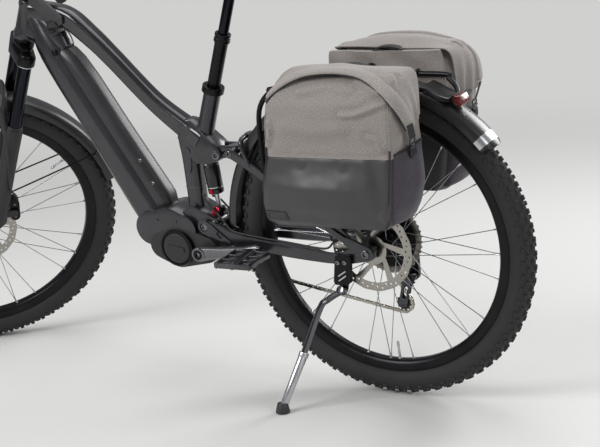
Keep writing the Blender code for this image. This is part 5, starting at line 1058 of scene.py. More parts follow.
yoke_bolts = absorb(bolt(xz(MAIN_PIVOT, -0.0448), -Y_AXIS, 0.0092, 0.0034),
                    bolt((0.1905, -0.0446, 0.378), -Y_AXIS, 0.0042, 0.0032),
                    bolt(xz(MAIN_PIVOT, 0.0448), Y_AXIS, 0.0092, 0.003))
for side in (-1, 1):
    absorb(yoke_bolts, bolt((REAR.x, side * 0.0905, REAR.z), Y_AXIS * side, 0.0094, 0.004))
piece("pivot_bolts_lower", yoke_bolts, "chainstay", POLISHED, ["rear_axle"])
axle = absorb(cross_rod(REAR, 0.0908, 0.0059, 32, 0.0006),
              lathe(mm((85, 6), (85, 9.5), (90, 9.5), (91, 8.2), (91, 4), (87.5, 3.8), (87.5, 0)), REAR,
                    -Y_AXIS, 32))
piece("rear_through_axle", axle, "chainstay", DARK_ALLOY, ["rear_axle"])

# %% [markdown]
# The upper stays run from the rocker's tail pin down to the rear axle. They are slimmer than the lower stays
# but machined the same way, so the same helper draws them. A bent tube arches across the tyre and joins
# them.

# %% Upper stays
SEAT_STATIONS = mm((247.5, 581, 42.5, 8, 20.5), (300, 550, 43.2, 8.8, 21.5), (420, 480, 62, 9.8, 19.5),
                   (500, 432.5, 80, 8.8, 18.5), (545, 406.5, 86.8, 6.8, 17.5), (590, 380, 86.8, 6.8, 17.5))
for side, word in SIDES:
    low, high = sorted((side * 0.0833, side * 0.0903))
    eye_low, eye_high = sorted((side * 0.0388, side * 0.0462))
    stay = absorb(flat_bar(SEAT_STATIONS, side, 0.0024),
                  plate([hull([(REAR.x, REAR.z, 0.0178), (0.56, 0.398, 0.0098)])], low, high, 0.0014),
                  plate([circle(SEATSTAY_PIN, 0.0113, 40)], eye_low, eye_high, 0.0012))
    if side < 0:
        absorb(stay, plate([hull(mm((535, 422, 11), (560, 400, 8)))], -0.0845, -0.0782, 0.001))
    piece("machined_upper_stay_" + word, stay, "seatstay", PAINT, ["seatstay"])
bridge_line = mm((300, -43.5, 552), (285, -43, 593), (279, -34, 612), (277, 0, 615), (279, 34, 612),
                 (285, 43, 593), (300, 43.5, 552))
upper_bridge = absorb(tube(smooth_line(bridge_line, 6), 0.006, 4),
                      block((0.282, 0.0, 0.618), (0.016, 0.024, 0.01), edge=0.0025))
stay_bolts = bmesh.new()
for side in (-1, 1):
    absorb(stay_bolts, bolt(xz(SEATSTAY_PIN, side * 0.0458), Y_AXIS * side, 0.007, 0.0028),
           bolt((0.3, side * 0.047, 0.55), Y_AXIS * side, 0.0028, 0.002))
piece("upper_stay_bridge", upper_bridge, "seatstay", PAINT, ["seatstay"])
piece("pivot_bolts_upper", stay_bolts, "seatstay", POLISHED)

# %% [markdown]
# The rocker is milled from one block: two cheeks with a window each, joined by a flat top plate. The shock is
# a turned air can over a polished shaft, with a dial and a red rebound knob at its lower end.

# %% Rocker and shock
SHOCK_FOOT = Vector((0.17, 0.0, 0.403))
SHOCK_TOP = Vector((0.158, 0.0, 0.583))
SHOCK_DIR = (SHOCK_TOP - SHOCK_FOOT).normalized()
outline = hull(mm((158, 583, 10.3), (198, 571, 12), (247.5, 581, 11.2)))
window = mm((212, 572), (233, 577), (232, 583), (211, 579))
rocker = bmesh.new()
for side in (-1, 1):
    low, high = sorted((side * 0.0127, side * 0.0208))
    absorb(rocker, plate([outline, window], low, high, 0.0012))
absorb(rocker, cross_rod(xz(ROCKER_PIN), 0.0204, 0.011, 32, 0.001),
       cross_rod(xz(SEATSTAY_PIN), 0.0378, 0.0095, 32, 0.001))
top_plate = loft([[Vector((x, y, z + rise)) for y, rise in ((-0.0206, 0.0), (-0.019, 0.0018), (0.019, 0.0018),
                                                            (0.0206, 0.0), (0.0206, -0.0022),
                                                            (-0.0206, -0.0022))]
                  for x, z in ((0.215, 0.5862), (0.226, 0.5898), (0.258, 0.5925))])
absorb(rocker, top_plate)
piece("milled_rocker", rocker, "rocker", PAINT, ["rocker_link"])
rocker_bolts = bmesh.new()
for spot, radius in (((0.158, 0.583), 0.0062), (ROCKER_PIN, 0.0066)):
    for side in (-1, 1):
        absorb(rocker_bolts, bolt(xz(spot, side * 0.0204), Y_AXIS * side, radius, 0.0026))
piece("rocker_bolts", rocker_bolts, "rocker", POLISHED)
shaft = rod(SHOCK_FOOT + SHOCK_DIR * 0.029, SHOCK_FOOT + SHOCK_DIR * 0.125, 0.0059, sides=40, edge=0.0004)
foot_end = absorb(cross_rod(SHOCK_FOOT, 0.0086, 0.0109, 40, 0.001),
                  lathe(mm((6, 0), (6, 8.6), (19.5, 8.8), (20.5, 14.8), (30, 14.9), (31.2, 13.8), (31.2, 0)),
                        SHOCK_FOOT, SHOCK_DIR, 48, edge=0.0004))
piece("shock_shaft_polished", shaft, "shock", BARE_ALLOY, ["shock_shaft"])
piece("shock_lower_end", foot_end, "shock", BLACK_METAL)
can = absorb(lathe(mm((66, 8.5), (66, 16.5), (68, 19), (78, 19.2), (79, 18), (81, 18), (82, 19.2),
                      (135, 19.3), (136, 18.4), (138, 18.4), (139, 19.3), (148, 19), (152, 16.5),
                      (153.5, 8.4), (170, 8.4), (170, 0)), SHOCK_FOOT, SHOCK_DIR, 72, closed=False,
                   edge=0.0003))
absorb(can, cross_rod(SHOCK_TOP, 0.0105, 0.0106, 40, 0.0008))
piece("shock_air_can", can, "shock_can", GLOSS_BLACK, ["shock_body"])
can_bands = absorb(
    lathe(mm((81.5, 18.5), (81.5, 19.45), (83.5, 19.45), (83.5, 18.5)), SHOCK_FOOT, SHOCK_DIR, 72),
    rod(SHOCK_FOOT + SHOCK_DIR * 0.144 - Y_AXIS * 0.0186, SHOCK_FOOT + SHOCK_DIR * 0.144 - Y_AXIS * 0.0215,
        0.0042, sides=20, edge=0.0006))
piece("shock_can_trim", can_bands, "shock_can", BARE_ALLOY)
dial_at = SHOCK_FOOT + SHOCK_DIR * 0.0745
dial = absorb(rod(dial_at - Y_AXIS * 0.017, dial_at - Y_AXIS * 0.0232, 0.0058, sides=24, edge=0.0006),
              rod(dial_at - Y_AXIS * 0.023, dial_at - Y_AXIS * 0.0242, 0.0028, sides=12, edge=0.0004))
piece("red_travel_dial", dial, "shock_can", RED_METAL)
knob_at = SHOCK_FOOT + SHOCK_DIR * 0.0255
knob_loop = [around(knob_at, 0.0095 + 0.0005 * (1.0 if step % 6 < 3 else -1.0), tau * step / 60.0)
             for step in range(60)]
knob = absorb(plate([knob_loop], -0.0213, -0.0155, 0.0004),
              lathe(mm((21.3, 5.2), (22, 4.8), (22, 0)), knob_at, -Y_AXIS, 32, closed=False))
piece("red_rebound_knob", knob, "shock_knob", RED_METAL, ["shock_knob"])

# %% [markdown]
# ## Drivetrain
# The crank arms are forged and polished on their edges, so their top edge is bright. The chain is real outer
# and inner links with rollers: the eye reads a chain by its regular gaps. It spans the frame and the lower
# stay, so it is left in place on its CAD band, attached to neither.

# %% Chain
COG_R = 0.042
RING_R = 0.066
GUIDE_PULLEY = (0.63, 0.26)
TENSION_PULLEY = (0.615, 0.203)
CHAIN_Y = 0.05


def belt_line(circles, step):
    """Even points along a belt round directed circles (x, z, radius, side); side -1 turns clockwise."""
    leave = []
    reach = []
    for k, (x1, z1, r1, s1) in enumerate(circles):
        x2, z2, r2, s2 = circles[(k + 1) % len(circles)]
        offset = s2 * r2 - s1 * r1
        along = sqrt((x2 - x1) ** 2 + (z2 - z1) ** 2 - offset * offset)
        heading = atan2(z2 - z1, x2 - x1) - atan2(offset, along)
        normal = (-sin(heading), cos(heading))
        leave.append((x1 - s1 * r1 * normal[0], z1 - s1 * r1 * normal[1]))
        reach.append((x2 - s2 * r2 * normal[0], z2 - s2 * r2 * normal[1]))
    path = []
    for k, (x, z, radius, side) in enumerate(circles):
        first = atan2(reach[k - 1][1] - z, reach[k - 1][0] - x)
        sweep = (atan2(leave[k][1] - z, leave[k][0] - x) - first) * side % tau * side
        path += [around((x, z), radius, first + sweep * n / 40.0) for n in range(41)]
    path.append(path[0])
    lengths = [0.0]
    for a, b in zip(path, path[1:]):
        lengths.append(lengths[-1] + hypot(b[0] - a[0], b[1] - a[1]))
    count = 2 * int(round(lengths[-1] / step / 2.0))
    line = []
    at = 0
    for n in range(count):
        want = lengths[-1] * n / count
        while lengths[at + 1] < want:
            at += 1
        share = (want - lengths[at]) / max(1e-9, lengths[at + 1] - lengths[at])
        line.append((path[at][0] + (path[at + 1][0] - path[at][0]) * share,
                     path[at][1] + (path[at + 1][1] - path[at][1]) * share))
    return line


LINK_PLATE = 0.0009
CHAIN_MID = LINK_PLATE + 0.0035
pins = belt_line([(CRANK.x, CRANK.z, RING_R + CHAIN_MID, -1), (REAR.x, REAR.z, COG_R + CHAIN_MID, -1),
                  (*GUIDE_PULLEY, 0.019 + CHAIN_MID, 1), (*TENSION_PULLEY, 0.019 + CHAIN_MID, -1)],
                 LINK_LENGTH)
chain = bmesh.new()
for k, pin in enumerate(pins):
    ahead = pins[(k + 1) % len(pins)]
    out = 0.0034 if k % 2 else 0.0024
    shape = hull([(*pin, 0.0033), (*ahead, 0.0033)], 10)
    for side in (-1, 1):
        low, high = sorted((CHAIN_Y + side * out, CHAIN_Y + side * (out - LINK_PLATE)))
        absorb(chain, plate([shape], low, high))
    absorb(chain, rod((pin[0], 0.0462, pin[1]), (pin[0], 0.0538, pin[1]), 0.0014, sides=8),
           rod((pin[0], 0.0487, pin[1]), (pin[0], 0.0513, pin[1]), 0.0029, sides=10))
piece("roller_chain", chain, "frame", CHAIN_STEEL, ["chain"],
      bend=("chainstay", CRANK + Vector((0.07, 0.0, 0.0)), CRANK + Vector((0.23, 0.0, 0.0))))
print("links", len(pins))

# %% [markdown]
# The chainring is one plate with teeth cut in its rim and five windows. The arms are wide at both ends, which
# a loft through seven sections gives. A pedal is a cage with steel pins for grip, drawn as a plate with six
# openings.

# %% Crank, chainring and pedals
RING_TEETH = 34
ring_line = []
for k in range(RING_TEETH):
    for share, drop in ((0.0, 0.0042), (0.2, 0.0042), (0.4, 0.0002), (0.6, 0.0002), (0.8, 0.0042)):
        ring_line.append(around(CRANK, RING_R - drop, tau * (k + share) / RING_TEETH))
ring_loops = [ring_line, circle(CRANK, 0.015, 32)]
for k in range(5):
    base = tau * k / 5.0
    arc = [around(CRANK, 0.0535, base + radians(a)) for a in range(8, 65, 7)]
    ring_loops.append(arc + [around(CRANK, 0.0275, base + radians(a)) for a in range(56, 14, -7)])
chainring = plate(ring_loops, 0.0482, 0.0518, 0.0005)
piece("narrow_wide_chainring", chainring, "crank", BLACK_METAL, ["crankset"])
ARM_LENGTH = 0.165
CRANK_DIR = outward(radians(6.5))
cranks = absorb(cross_rod(CRANK, 0.069, 0.0118, 40, 0.0006),
                rod(CRANK + Y_AXIS * 0.052, CRANK + Y_AXIS * 0.069, 0.0195, 0.018, 40, 0.001))
arm_bolts = bmesh.new()
for side in (-1, 1):
    end = CRANK - CRANK_DIR * side * ARM_LENGTH
    stations = []
    for share, half, inner, outer in ((-0.09, 0.011, 0.07, 0.082), (0.0, 0.0182, 0.0692, 0.0828),
                                      (0.14, 0.0165, 0.0692, 0.0828), (0.45, 0.0125, 0.0705, 0.0822),
                                      (0.8, 0.0122, 0.0705, 0.0822), (1.0, 0.0138, 0.0692, 0.0828),
                                      (1.075, 0.009, 0.07, 0.082)):
        centre = CRANK.lerp(end, share) + Y_AXIS * side * (inner + outer) / 2.0
        up = Vector((-CRANK_DIR.z, 0.0, CRANK_DIR.x))
        deep = (outer - inner) / 2.0
        cut = min(0.0052, half * 0.4)
        stations.append([centre + Y_AXIS * side * across + up * rise
                         for across, rise in ((deep, half - cut), (deep - cut, half), (-deep, half),
                                              (-deep, -half), (deep - cut, -half), (deep, cut - half))])
    absorb(cranks, soften(loft(stations), 0.0007, 20.0))
    absorb(cranks, lathe(mm((82, 18), (84.2, 17.4), (85, 15.8), (85, 12.6), (83.8, 12), (82, 12)), CRANK,
                         Y_AXIS * side, 48))
    absorb(arm_bolts, lathe(
        mm((81.5, 0), (81.5, 11.4), (84.6, 11), (85, 10), (85, 5.8), (82.2, 5.4), (82.2, 0)), CRANK,
        Y_AXIS * side, 24))
piece("forged_crank_arms", cranks, "crank", POLISHED, ["crankset"])
piece("crank_arm_bolts", arm_bolts, "crank", BLACK_METAL, ["crankset"])
for side, word in SIDES:
    end = CRANK - CRANK_DIR * side * ARM_LENGTH
    middle = end + Y_AXIS * side * 0.1415
    frame_loop = mm((-48, -46), (-40, -48), (40, -48), (48, -46), (49.5, -30), (46, 0), (49.5, 30), (48, 46),
                    (40, 48), (-40, 48), (-48, 46), (-49.5, 30), (-46, 0), (-49.5, -30))
    holes = []
    for x_low, x_high in ((-0.043, -0.0125), (0.0125, 0.043)):
        for y_low, y_high in ((-0.043, -0.0165), (-0.012, 0.012), (0.0165, 0.043)):
            holes.append([(x_low, y_low), (x_high, y_low), (x_high, y_high), (x_low, y_high)])
    cage = plate([frame_loop] + holes, -0.0065, 0.0065, 0.0012)
    bmesh.ops.transform(cage, matrix=Matrix.Translation(middle) @ Matrix.Rotation(radians(90.0), 4, "X"),
                        verts=cage.verts)
    absorb(cage, rod(end + Y_AXIS * side * 0.095, end + Y_AXIS * side * 0.188, 0.0088, sides=24, edge=0.0012))
    studs = rod(end + Y_AXIS * side * 0.0835, end + Y_AXIS * side * 0.096, 0.0068, sides=24, edge=0.0006)
    for px in (-0.044, 0.044):
        for py in (-0.044, -0.0135, 0.0135, 0.044):
            absorb(studs, rod(middle + Vector((px, py, -0.009)), middle + Vector((px, py, 0.009)), 0.0018,
                              sides=8, edge=0.0003))
    piece("platform_pedal_" + word, cage, "pedal_" + word, DARK_ALLOY, ["pedal_" + word])
    piece("pedal_axle_and_pins_" + word, studs, "pedal_" + word, STEEL, ["pedal_" + word])

# %% [markdown]
# The rear derailleur hangs from the axle: a body with a parallelogram link, and a spring-loaded cage whose
# two toothed pulleys guide the chain.

# %% Derailleur
mech = absorb(plate([hull([(0.63, 0.33, 0.0118), (0.634, 0.296, 0.01), (*GUIDE_PULLEY, 0.0126)]),
                     circle((0.631, 0.296), 0.0052, 20)], 0.083, 0.0962, 0.002),
              rod((GUIDE_PULLEY[0], 0.0616, GUIDE_PULLEY[1]), (GUIDE_PULLEY[0], 0.085, GUIDE_PULLEY[1]),
                  0.0124, 0.011, 32, 0.001), bolt((0.63, 0.0962, 0.33), Y_AXIS, 0.007, 0.003))
piece("derailleur_body", mech, "chainstay", BLACK_METAL, ["derailleur"])
cage_shape = bmesh.new()
loops = [hull([(*GUIDE_PULLEY, 0.0108), (*TENSION_PULLEY, 0.0108)]),
         hull(mm((626.2, 242, 5), (619, 220, 5)), 16)]
for low in (0.0546, 0.0438):
    absorb(cage_shape, plate(loops, low, low + 0.0016, 0.0003))
pulleys = bmesh.new()
for centre in (GUIDE_PULLEY, TENSION_PULLEY):
    absorb(pulleys, cog(xz(centre), 11, 0.02, 0.0492, 0.0508, 0.0045))
    absorb(cage_shape,
           rod((centre[0], 0.0436, centre[1]), (centre[0], 0.0566, centre[1]), 0.0042, sides=20, edge=0.0004))
piece("derailleur_cage_plates", cage_shape, "derailleur_cage", DARK_ALLOY, ["derailleur_cage"])
piece("derailleur_pulleys", pulleys, "derailleur_cage", PLASTIC)

# %% [markdown]
# ## Fork
# Two polished tubes slide in cast magnesium lowers. The lowers carry rubber wiper rings at the top and an
# arch in front that ties the legs together. A bright ring shows where each tube is pressed into the crown.

# %% Crown and stanchions
FORK_HALF = 0.066
ACROSS_FORK = Matrix((-BACK_AXIS, UP_AXIS, Y_AXIS)).transposed().to_4x4()
at_foot = Matrix.Translation(STEER_FOOT) @ ACROSS_FORK
crown = absorb(plate([hull([(0.0, -FORK_HALF, 0.0232), (0.0, FORK_HALF, 0.0232), (0.006, 0.0, 0.028)])],
                     0.5045, 0.5264, 0.005, at_foot),
               plate([hull(mm((0, -42, 15), (0, 42, 15), (0, 0, 27)))], 0.526, 0.539, 0.005, at_foot),
               rod(steer_point(0.534, 0.0), steer_point(0.5474, 0.0), 0.025, sides=48, edge=0.0006),
               rod(steer_point(0.54, 0.0), steer_point(0.764, 0.0), 0.0142, sides=40))
caps = bmesh.new()
tubes = bmesh.new()
rings = bmesh.new()
for side in (-1, 1):
    foot = STEER_FOOT + Y_AXIS * side * FORK_HALF
    absorb(caps, lathe(mm((525, 14), (525, 17), (529, 16.2), (531, 14), (531, 0)), foot, UP_AXIS, 40,
                       closed=False, edge=0.0004))
    absorb(tubes, rod(foot + UP_AXIS * 0.18, foot + UP_AXIS * 0.52, 0.0169, sides=64, edge=0.0006))
    absorb(rings, lathe(mm((500, 17), (500, 19), (501.2, 20.2), (505, 20.6), (505, 17)), foot, UP_AXIS, 64))
piece("forged_fork_crown", absorb(crown, caps), "steering", BLACK_METAL, ["fork_upper"], True)
piece("polished_stanchions", tubes, "steering", SLEEK_TUBE, steered=True)
piece("crown_press_rings", rings, "steering", BARE_ALLOY, steered=True)

# %% [markdown]
# The lowers are one casting: two legs, the ends that hold the axle, and the arch. Each leg is turned. The
# arch is a bent tube with two thinner ones as its ribs, because cast ribs are round and soft.

# %% Lowers, arch and axle
lowers = bmesh.new()
seals = bmesh.new()
for side in (-1, 1):
    foot = STEER_FOOT + Y_AXIS * side * FORK_HALF
    absorb(lowers, lathe(mm((40, 0), (40, 15), (44, 19.5), (56, 21.2), (150, 20.8), (250, 21.4), (300, 22.4),
                            (320, 22.5), (324, 22.2), (324, 17.8), (240, 17.8)), foot, UP_AXIS, 64,
                         closed=False, edge=0.0006))
    absorb(seals, lathe(mm((323.8, 17.8), (323.8, 21.2), (326.2, 21.4), (327.2, 20.4), (330, 20.2),
                           (331.8, 18.6), (332, 17.6)), foot, UP_AXIS, 64))
    low = side * FORK_HALF - 0.0108
    drop = hull([(STEER_FOOT.x + UP_AXIS.x * 0.055, STEER_FOOT.z + UP_AXIS.z * 0.055, 0.0196),
                 (FRONT.x, FRONT.z, 0.0186)])
    absorb(lowers, plate([drop, circle(FRONT, 0.0078, 28)], low, low + 0.0216, 0.003))
arch = mm((302, -14, 66), (350, -33, 62), (381, -36, 48), (399, -36, 30))
arch_line = [steer_point(a, b, -y) for a, b, y in arch] + [steer_point(a, b, y) for a, b, y in arch[::-1]]
absorb(lowers, tube(smooth_line(arch_line, 6), 0.01, 5))
for share in (0.0032, 0.0072):
    inner_line = [steer_point(a - share, b + 0.006, -y * 0.93) for a, b, y in arch[1:]] + [
        steer_point(a - share, b + 0.006, y * 0.93) for a, b, y in arch[:0:-1]]
    absorb(lowers, tube(smooth_line(inner_line, 6), 0.0052, 3))
tab = hull([(FRONT.x + 0.0677, FRONT.z + 0.0412, 0.0098), (FRONT.x + 0.1027, FRONT.z + 0.0342, 0.0098)])
absorb(lowers, plate([tab], -0.0662, -0.0588, 0.0012))
piece("cast_fork_lowers", lowers, "fork_slide", PLASTIC, ["fork_lower"], True)
piece("dust_wipers", seals, "fork_slide", SEAL, steered=True)
front_axle = absorb(cross_rod(FRONT, 0.0785, 0.0074, 32, 0.0006),
                    lathe(mm((77, 7), (77, 10.8), (83, 10.5), (84, 9.2), (84, 4.8), (80, 4.6), (80, 0)),
                          FRONT, -Y_AXIS, 32, closed=False))
piece("front_through_axle", front_axle, "fork_slide", DARK_ALLOY, ["front_axle"], True)

# %% [markdown]
# The brake calipers are two forged halves bolted over the disc, with a bleed screw and a hose banjo. They
# leave a slot of a few millimetres for the disc.

# %% Calipers
SLOT_HALF = 0.0026


def caliper(ends, low, high, disc_y, hose_end):
    """Two halves about a disc, with piston caps and bolts."""
    outline = hull([(x, z, 0.0128) for x, z in ends], 24)
    body = absorb(plate([outline], low, disc_y - SLOT_HALF, 0.0022),
                  plate([outline], disc_y + SLOT_HALF, high, 0.0022))
    middle = ((ends[0][0] + ends[1][0]) / 2.0, (ends[0][1] + ends[1][1]) / 2.0)
    heading = Vector((ends[1][0] - ends[0][0], 0.0, ends[1][1] - ends[0][1])).normalized()
    out = Vector((heading.z, 0.0, -heading.x))
    for spot in ends:
        edge_spot = xz(spot, disc_y) + out * 0.0085
        absorb(body, block(edge_spot, (0.007, 0.006, 0.007), edge=0.001))
    absorb(body, lathe(mm((-0.5, 0), (-0.5, 10.8), (1.2, 10.4), (1.6, 9), (1, 7.6), (1, 0)), xz(middle, low),
                       -Y_AXIS, 36, closed=False))
    small = absorb(bolt(xz(ends[0], low - 0.0004), -Y_AXIS, 0.0036, 0.0032),
                   bolt(xz(ends[1], low - 0.0004), -Y_AXIS, 0.0036, 0.0032),
                   rod(hose_end, hose_end + out * 0.007, 0.0042, sides=16, edge=0.0006))
    return body, small


for word, ends, low, high, disc_y, turned, body in (("front", [(FRONT.x + 0.1027, FRONT.z + 0.0212),
                                                               (FRONT.x + 0.1097, FRONT.z + 0.0572)], -0.058,
                                                     -0.0263, -0.041, True, "fork_slide"),
                                                    ("rear", mm((524, 402), (548, 440)), -0.0773, -0.0493,
                                                     -0.0575, False, "seatstay")):
    halves, fixings = caliper(ends, low, high, disc_y, xz(ends[0 if turned else 0], low + 0.006))
    piece(word + "_caliper_halves", halves, body, BLACK_METAL, [word + "_caliper"], turned)
    piece(word + "_caliper_fixings", fixings, body, STEEL, steered=turned)

# %% [markdown]
# ## Fenders
# Each fender is one polycarbonate strip pressed into an arch over the tyre, with its edges turned in. Its
# thickness shows at the tips. The photo shows a bright band round the rear one's end.

# %% Fender strips
FENDER_THICK = 0.0018


def fender(centre, radius, start, sweep, steps, low=0.0, high=1.0, grow=0.0):
    """An arched strip about a centre, between two shares of its sweep. grow lifts it for a band."""
    section = mm((-26.8, 35.2), (-20, 35), (-11, 33.8), (-5, 29), (-1.6, 20), (0, 10), (0.4, 0))
    outside = [(rise + grow, half + grow) for rise, half in section]
    inside = [(rise - FENDER_THICK + (0.0006 if k == 0 else 0.0), max(0.0, half - FENDER_THICK))
              for k, (rise, half) in enumerate(section)]
    loop = [(r, -h) for r, h in outside] + [(r, h) for r, h in outside[-2::-1]] + [
        (r, h) for r, h in inside] + [(r, -h) for r, h in inside[-2::-1]]
    rings = []
    for step in range(steps + 1):
        share = low + (high - low) * step / steps
        taper = 1.0 - 0.35 * max(0.0, 1.0 - min(share, 1.0 - share) / 0.012) ** 2
        out = outward(radians(start - sweep * share))
        rings.append([centre + out * (radius + r) + Y_AXIS * h * taper for r, h in loop])
    return loft(rings)


REAR_FENDER_AT = Vector((0.5965, 0.0, 0.372))
REAR_ARCH = (0.3925, 177.0, 140.0)  # radius, first angle and sweep
FRONT_FENDER_R = 0.3865
piece("front_fender_strip", fender(FRONT, FRONT_FENDER_R, 122.0, 118.0, 90), "fork_slide", FENDER,
      ["front_fender"], True)
piece("rear_fender_strip", fender(REAR_FENDER_AT, *REAR_ARCH, 110), "seatstay", FENDER,
      ["rear_fender"])
band = fender(REAR_FENDER_AT, *REAR_ARCH, 10, 0.962, 0.985, 0.0006)
piece("rear_fender_band", band, "seatstay", BARE_ALLOY)
stay_end = FRONT + Vector((0.9441, 0.0, 0.3297)) * (FRONT_FENDER_R + 0.0009)
wires = bmesh.new()
clips = bmesh.new()
for side in (-1, 1):
    root, tip = steer_point(0.122, 0.01, side * 0.0429), stay_end + Y_AXIS * side * 0.0362
    line = [root, steer_point(0.12, 0.018, side * 0.0429), tip - Vector((0.03, 0.0, 0.006)), tip]
    absorb(wires, tube(smooth_line(line, 5), 0.0021, 3))
    absorb(clips, block(tip - Vector((0.007, 0.0, 0.002)), (0.018, 0.005, 0.008), edge=0.0012),
           block(root, (0.01, 0.006, 0.01), edge=0.0014))
piece("front_fender_stays", wires, "fork_slide", BLACK_METAL, steered=True)
piece("front_stay_clips", clips, "fork_slide", PLASTIC, steered=True)
rear_screws = bmesh.new()
for share in (0.2, 0.56, 0.9):
    for side in (-1, 1):
        turn = radians(REAR_ARCH[1] - REAR_ARCH[2] * share)
        absorb(rear_screws, bolt(REAR_FENDER_AT + outward(turn) * 0.3905 + Y_AXIS * side * 0.015,
                                 outward(turn, side * 0.1), 0.0042, 0.0026))
piece("fender_screws", rear_screws, "seatstay", STEEL)

# %% [markdown]
# ## Rack and lights
# The rack is one bent tube with two side struts and a raised hoop welded across. Behind it a small folded
# plate carries the tail light.

# %% Rack
RACK_ROUTE = mm((335.3, 48.4, 542.6), (341.5, 48.8, 553.2), (344, 52, 610), (356, 60, 690), (392, 68, 733),
                (430, 68, 745), (745, 68, 745), (778, 60, 737), (800, 48, 721), (812, 26, 710.5),
                (812, 0, 710.5))
rack_line = [(x, -y, z) for x, y, z in RACK_ROUTE] + [(x, y, z) for x, y, z in RACK_ROUTE[-2::-1]]
rack = tube(smooth_line(rack_line, 5), 0.006, 5)
for side in (-1, 1):
    strut = mm((640, 68, 745), (635, 68, 500), (620, 86.8, 430), (616.2, 86.8, 409.4), (606, 86.8, 392.2))
    absorb(rack, tube(smooth_line([(x, side * y, z) for x, y, z in strut], 5), 0.0045, 4),
           block((0.608, side * 0.0868, 0.395), (0.015, 0.0055, 0.017), edge=0.0014))
absorb(rack, cross_rod((0.44, 0.0, 0.745), 0.068, 0.0045, 24))
hoop = mm((605, -68, 745), (605, -44, 770), (605, -20, 775.5), (605, 20, 775.5), (605, 44, 770),
          (605, 68, 745))
absorb(rack, tube(smooth_line(hoop, 6), 0.0045, 4))
plate_line = mm((756, 742), (780, 730), (800, 720), (818, 711), (819, 706), (800, 712), (776, 725),
                (754, 737))
absorb(rack, plate([plate_line], -0.03, 0.03, 0.001))
piece("welded_rack", rack, "seatstay", BLACK_METAL, ["rack"])

# %% [markdown]
# The tail light's lens is a moulded wedge: its side outline is repeated across the width, a little smaller
# at both ends. The headlight is a turned shell with cooling ribs. Its lens is a piece of its own, so that
# the two materials meet at a real edge.

# %% Tail light and headlight
LENS_MID = Vector((0.8335, 0.0, 0.706))
lens_rings = []
for half, grow in ((-0.0197, -0.0014), (-0.0185, 0.0), (0.0185, 0.0), (0.0197, -0.0014)):
    outline = mm((822.5, 705.5), (833, 693.5), (839.5, 696.5), (845.2, 700.5), (844, 706), (837.2, 718),
                 (822.5, 718.5))
    lens_rings.append([LENS_MID + (xz(spot) - LENS_MID) * (1.0 + grow / 0.012) + Y_AXIS * half
                       for spot in outline])
piece("tail_light_lens", soften(loft(lens_rings), 0.0008, 30.0), "seatstay", RED_LENS,
      ["tail_light"])
piece("tail_light_back", block((0.82, 0.0, 0.712), (0.005, 0.038, 0.014), edge=0.001), "seatstay", PLASTIC)
BAR = steer_point(0.756, -0.047)
LAMP_AT = BAR - BACK_AXIS * 0.06 - UP_AXIS * 0.006
lamp_shell = lathe(mm((-19, 0), (-19, 15), (-16, 17.2), (14, 21.8), (19, 22), (19, 20), (15, 19.6), (15, 0)),
                   LAMP_AT, -BACK_AXIS, 64, closed=False, edge=0.0006)
for k in range(5):
    absorb(lamp_shell, block(LAMP_AT + UP_AXIS * 0.018 + BACK_AXIS * (0.012 - 0.005 * k),
                             (0.0016, 0.02, 0.003), BAR_TILT, edge=0.0004))
absorb(lamp_shell, rod(LAMP_AT + UP_AXIS * 0.006, BAR - BACK_AXIS * 0.01, 0.0068, sides=24, edge=0.0008))
piece("headlight_shell", lamp_shell, "steering", PLASTIC, ["headlight"], True)
lamp_lens = lathe(mm((15, 0), (15, 19.5), (17.5, 19.2), (18.6, 15), (19, 0)), LAMP_AT, -BACK_AXIS, 64,
                  closed=False)
piece("headlight_lens", lamp_lens, "steering", CLEAR_LENS, steered=True)

# %% [markdown]
# ## Side stand
# The stand's head is a plate with two bolts. Its leg is an aluminium I-section with bright machined edges. A
# silver sleeve slides in the lower half to set the length, and ends in a flared rubber foot.

# %% Stand
STAND_PIVOT = Vector((0.533, -0.088, 0.278))
STAND_BEND = Vector((0.486, -0.106, 0.249))
STAND_FOOT = Vector((0.4255, -0.2328, 0.0275))
bracket = plate([mm((526.2, 361), (530, 363.5), (565, 364.5), (567.6, 360), (561.8, 301), (550, 292.2),
                    (520, 292.2), (516.2, 299.5))], -0.0924, -0.0829, 0.0016)
stripes = bmesh.new()
for shift in (0.0, 0.011):
    absorb(stripes, block((0.541, -0.093, 0.31 + shift), (0.024, 0.002, 0.0032),
                          Matrix.Rotation(radians(-34.0), 4, "Y"), edge=0.0007))
piece("stand_head_stripes", stripes, "chainstay", BARE_ALLOY, ["stand_bracket"])
absorb(bracket, plate([hull(mm((533, 278, 9.8), (535, 300, 13)))], -0.078, -0.074, 0.0008))
piece("stand_head", bracket, "chainstay", BLACK_METAL, ["stand_bracket"])
head_bolts = absorb(bolt((0.533, -0.0922, 0.347), -Y_AXIS, 0.0052, 0.0034),
                    bolt((0.551, -0.0922, 0.348), -Y_AXIS, 0.0052, 0.0034))
piece("stand_bolts", head_bolts, "chainstay", STEEL)
leg_dir = (STAND_FOOT - STAND_BEND).normalized()
leg_line = smooth_line([STAND_PIVOT, STAND_PIVOT.lerp(STAND_BEND, 0.7), STAND_BEND + leg_dir * 0.012,
                        STAND_BEND + leg_dir * 0.125], 6)
section = mm((-6, -5.2), (6, -5.2), (6, -3.2), (2.6, -2.6), (2.6, 2.6), (6, 3.2), (6, 5.2), (-6, 5.2),
             (-6, 3.2), (-2.6, 2.6), (-2.6, -2.6), (-6, -3.2))
leg_rings = []
for k, middle in enumerate(leg_line):
    ahead = ahead_at(leg_line, k)
    flat_way = ahead.cross(Vector((-0.3, -0.8, 0.52))).normalized()
    other = ahead.cross(flat_way).normalized()
    leg_rings.append([middle + other * a + flat_way * b for a, b in section])
pin_half = Vector((-0.195, -0.823, 0.533)) * 0.0088
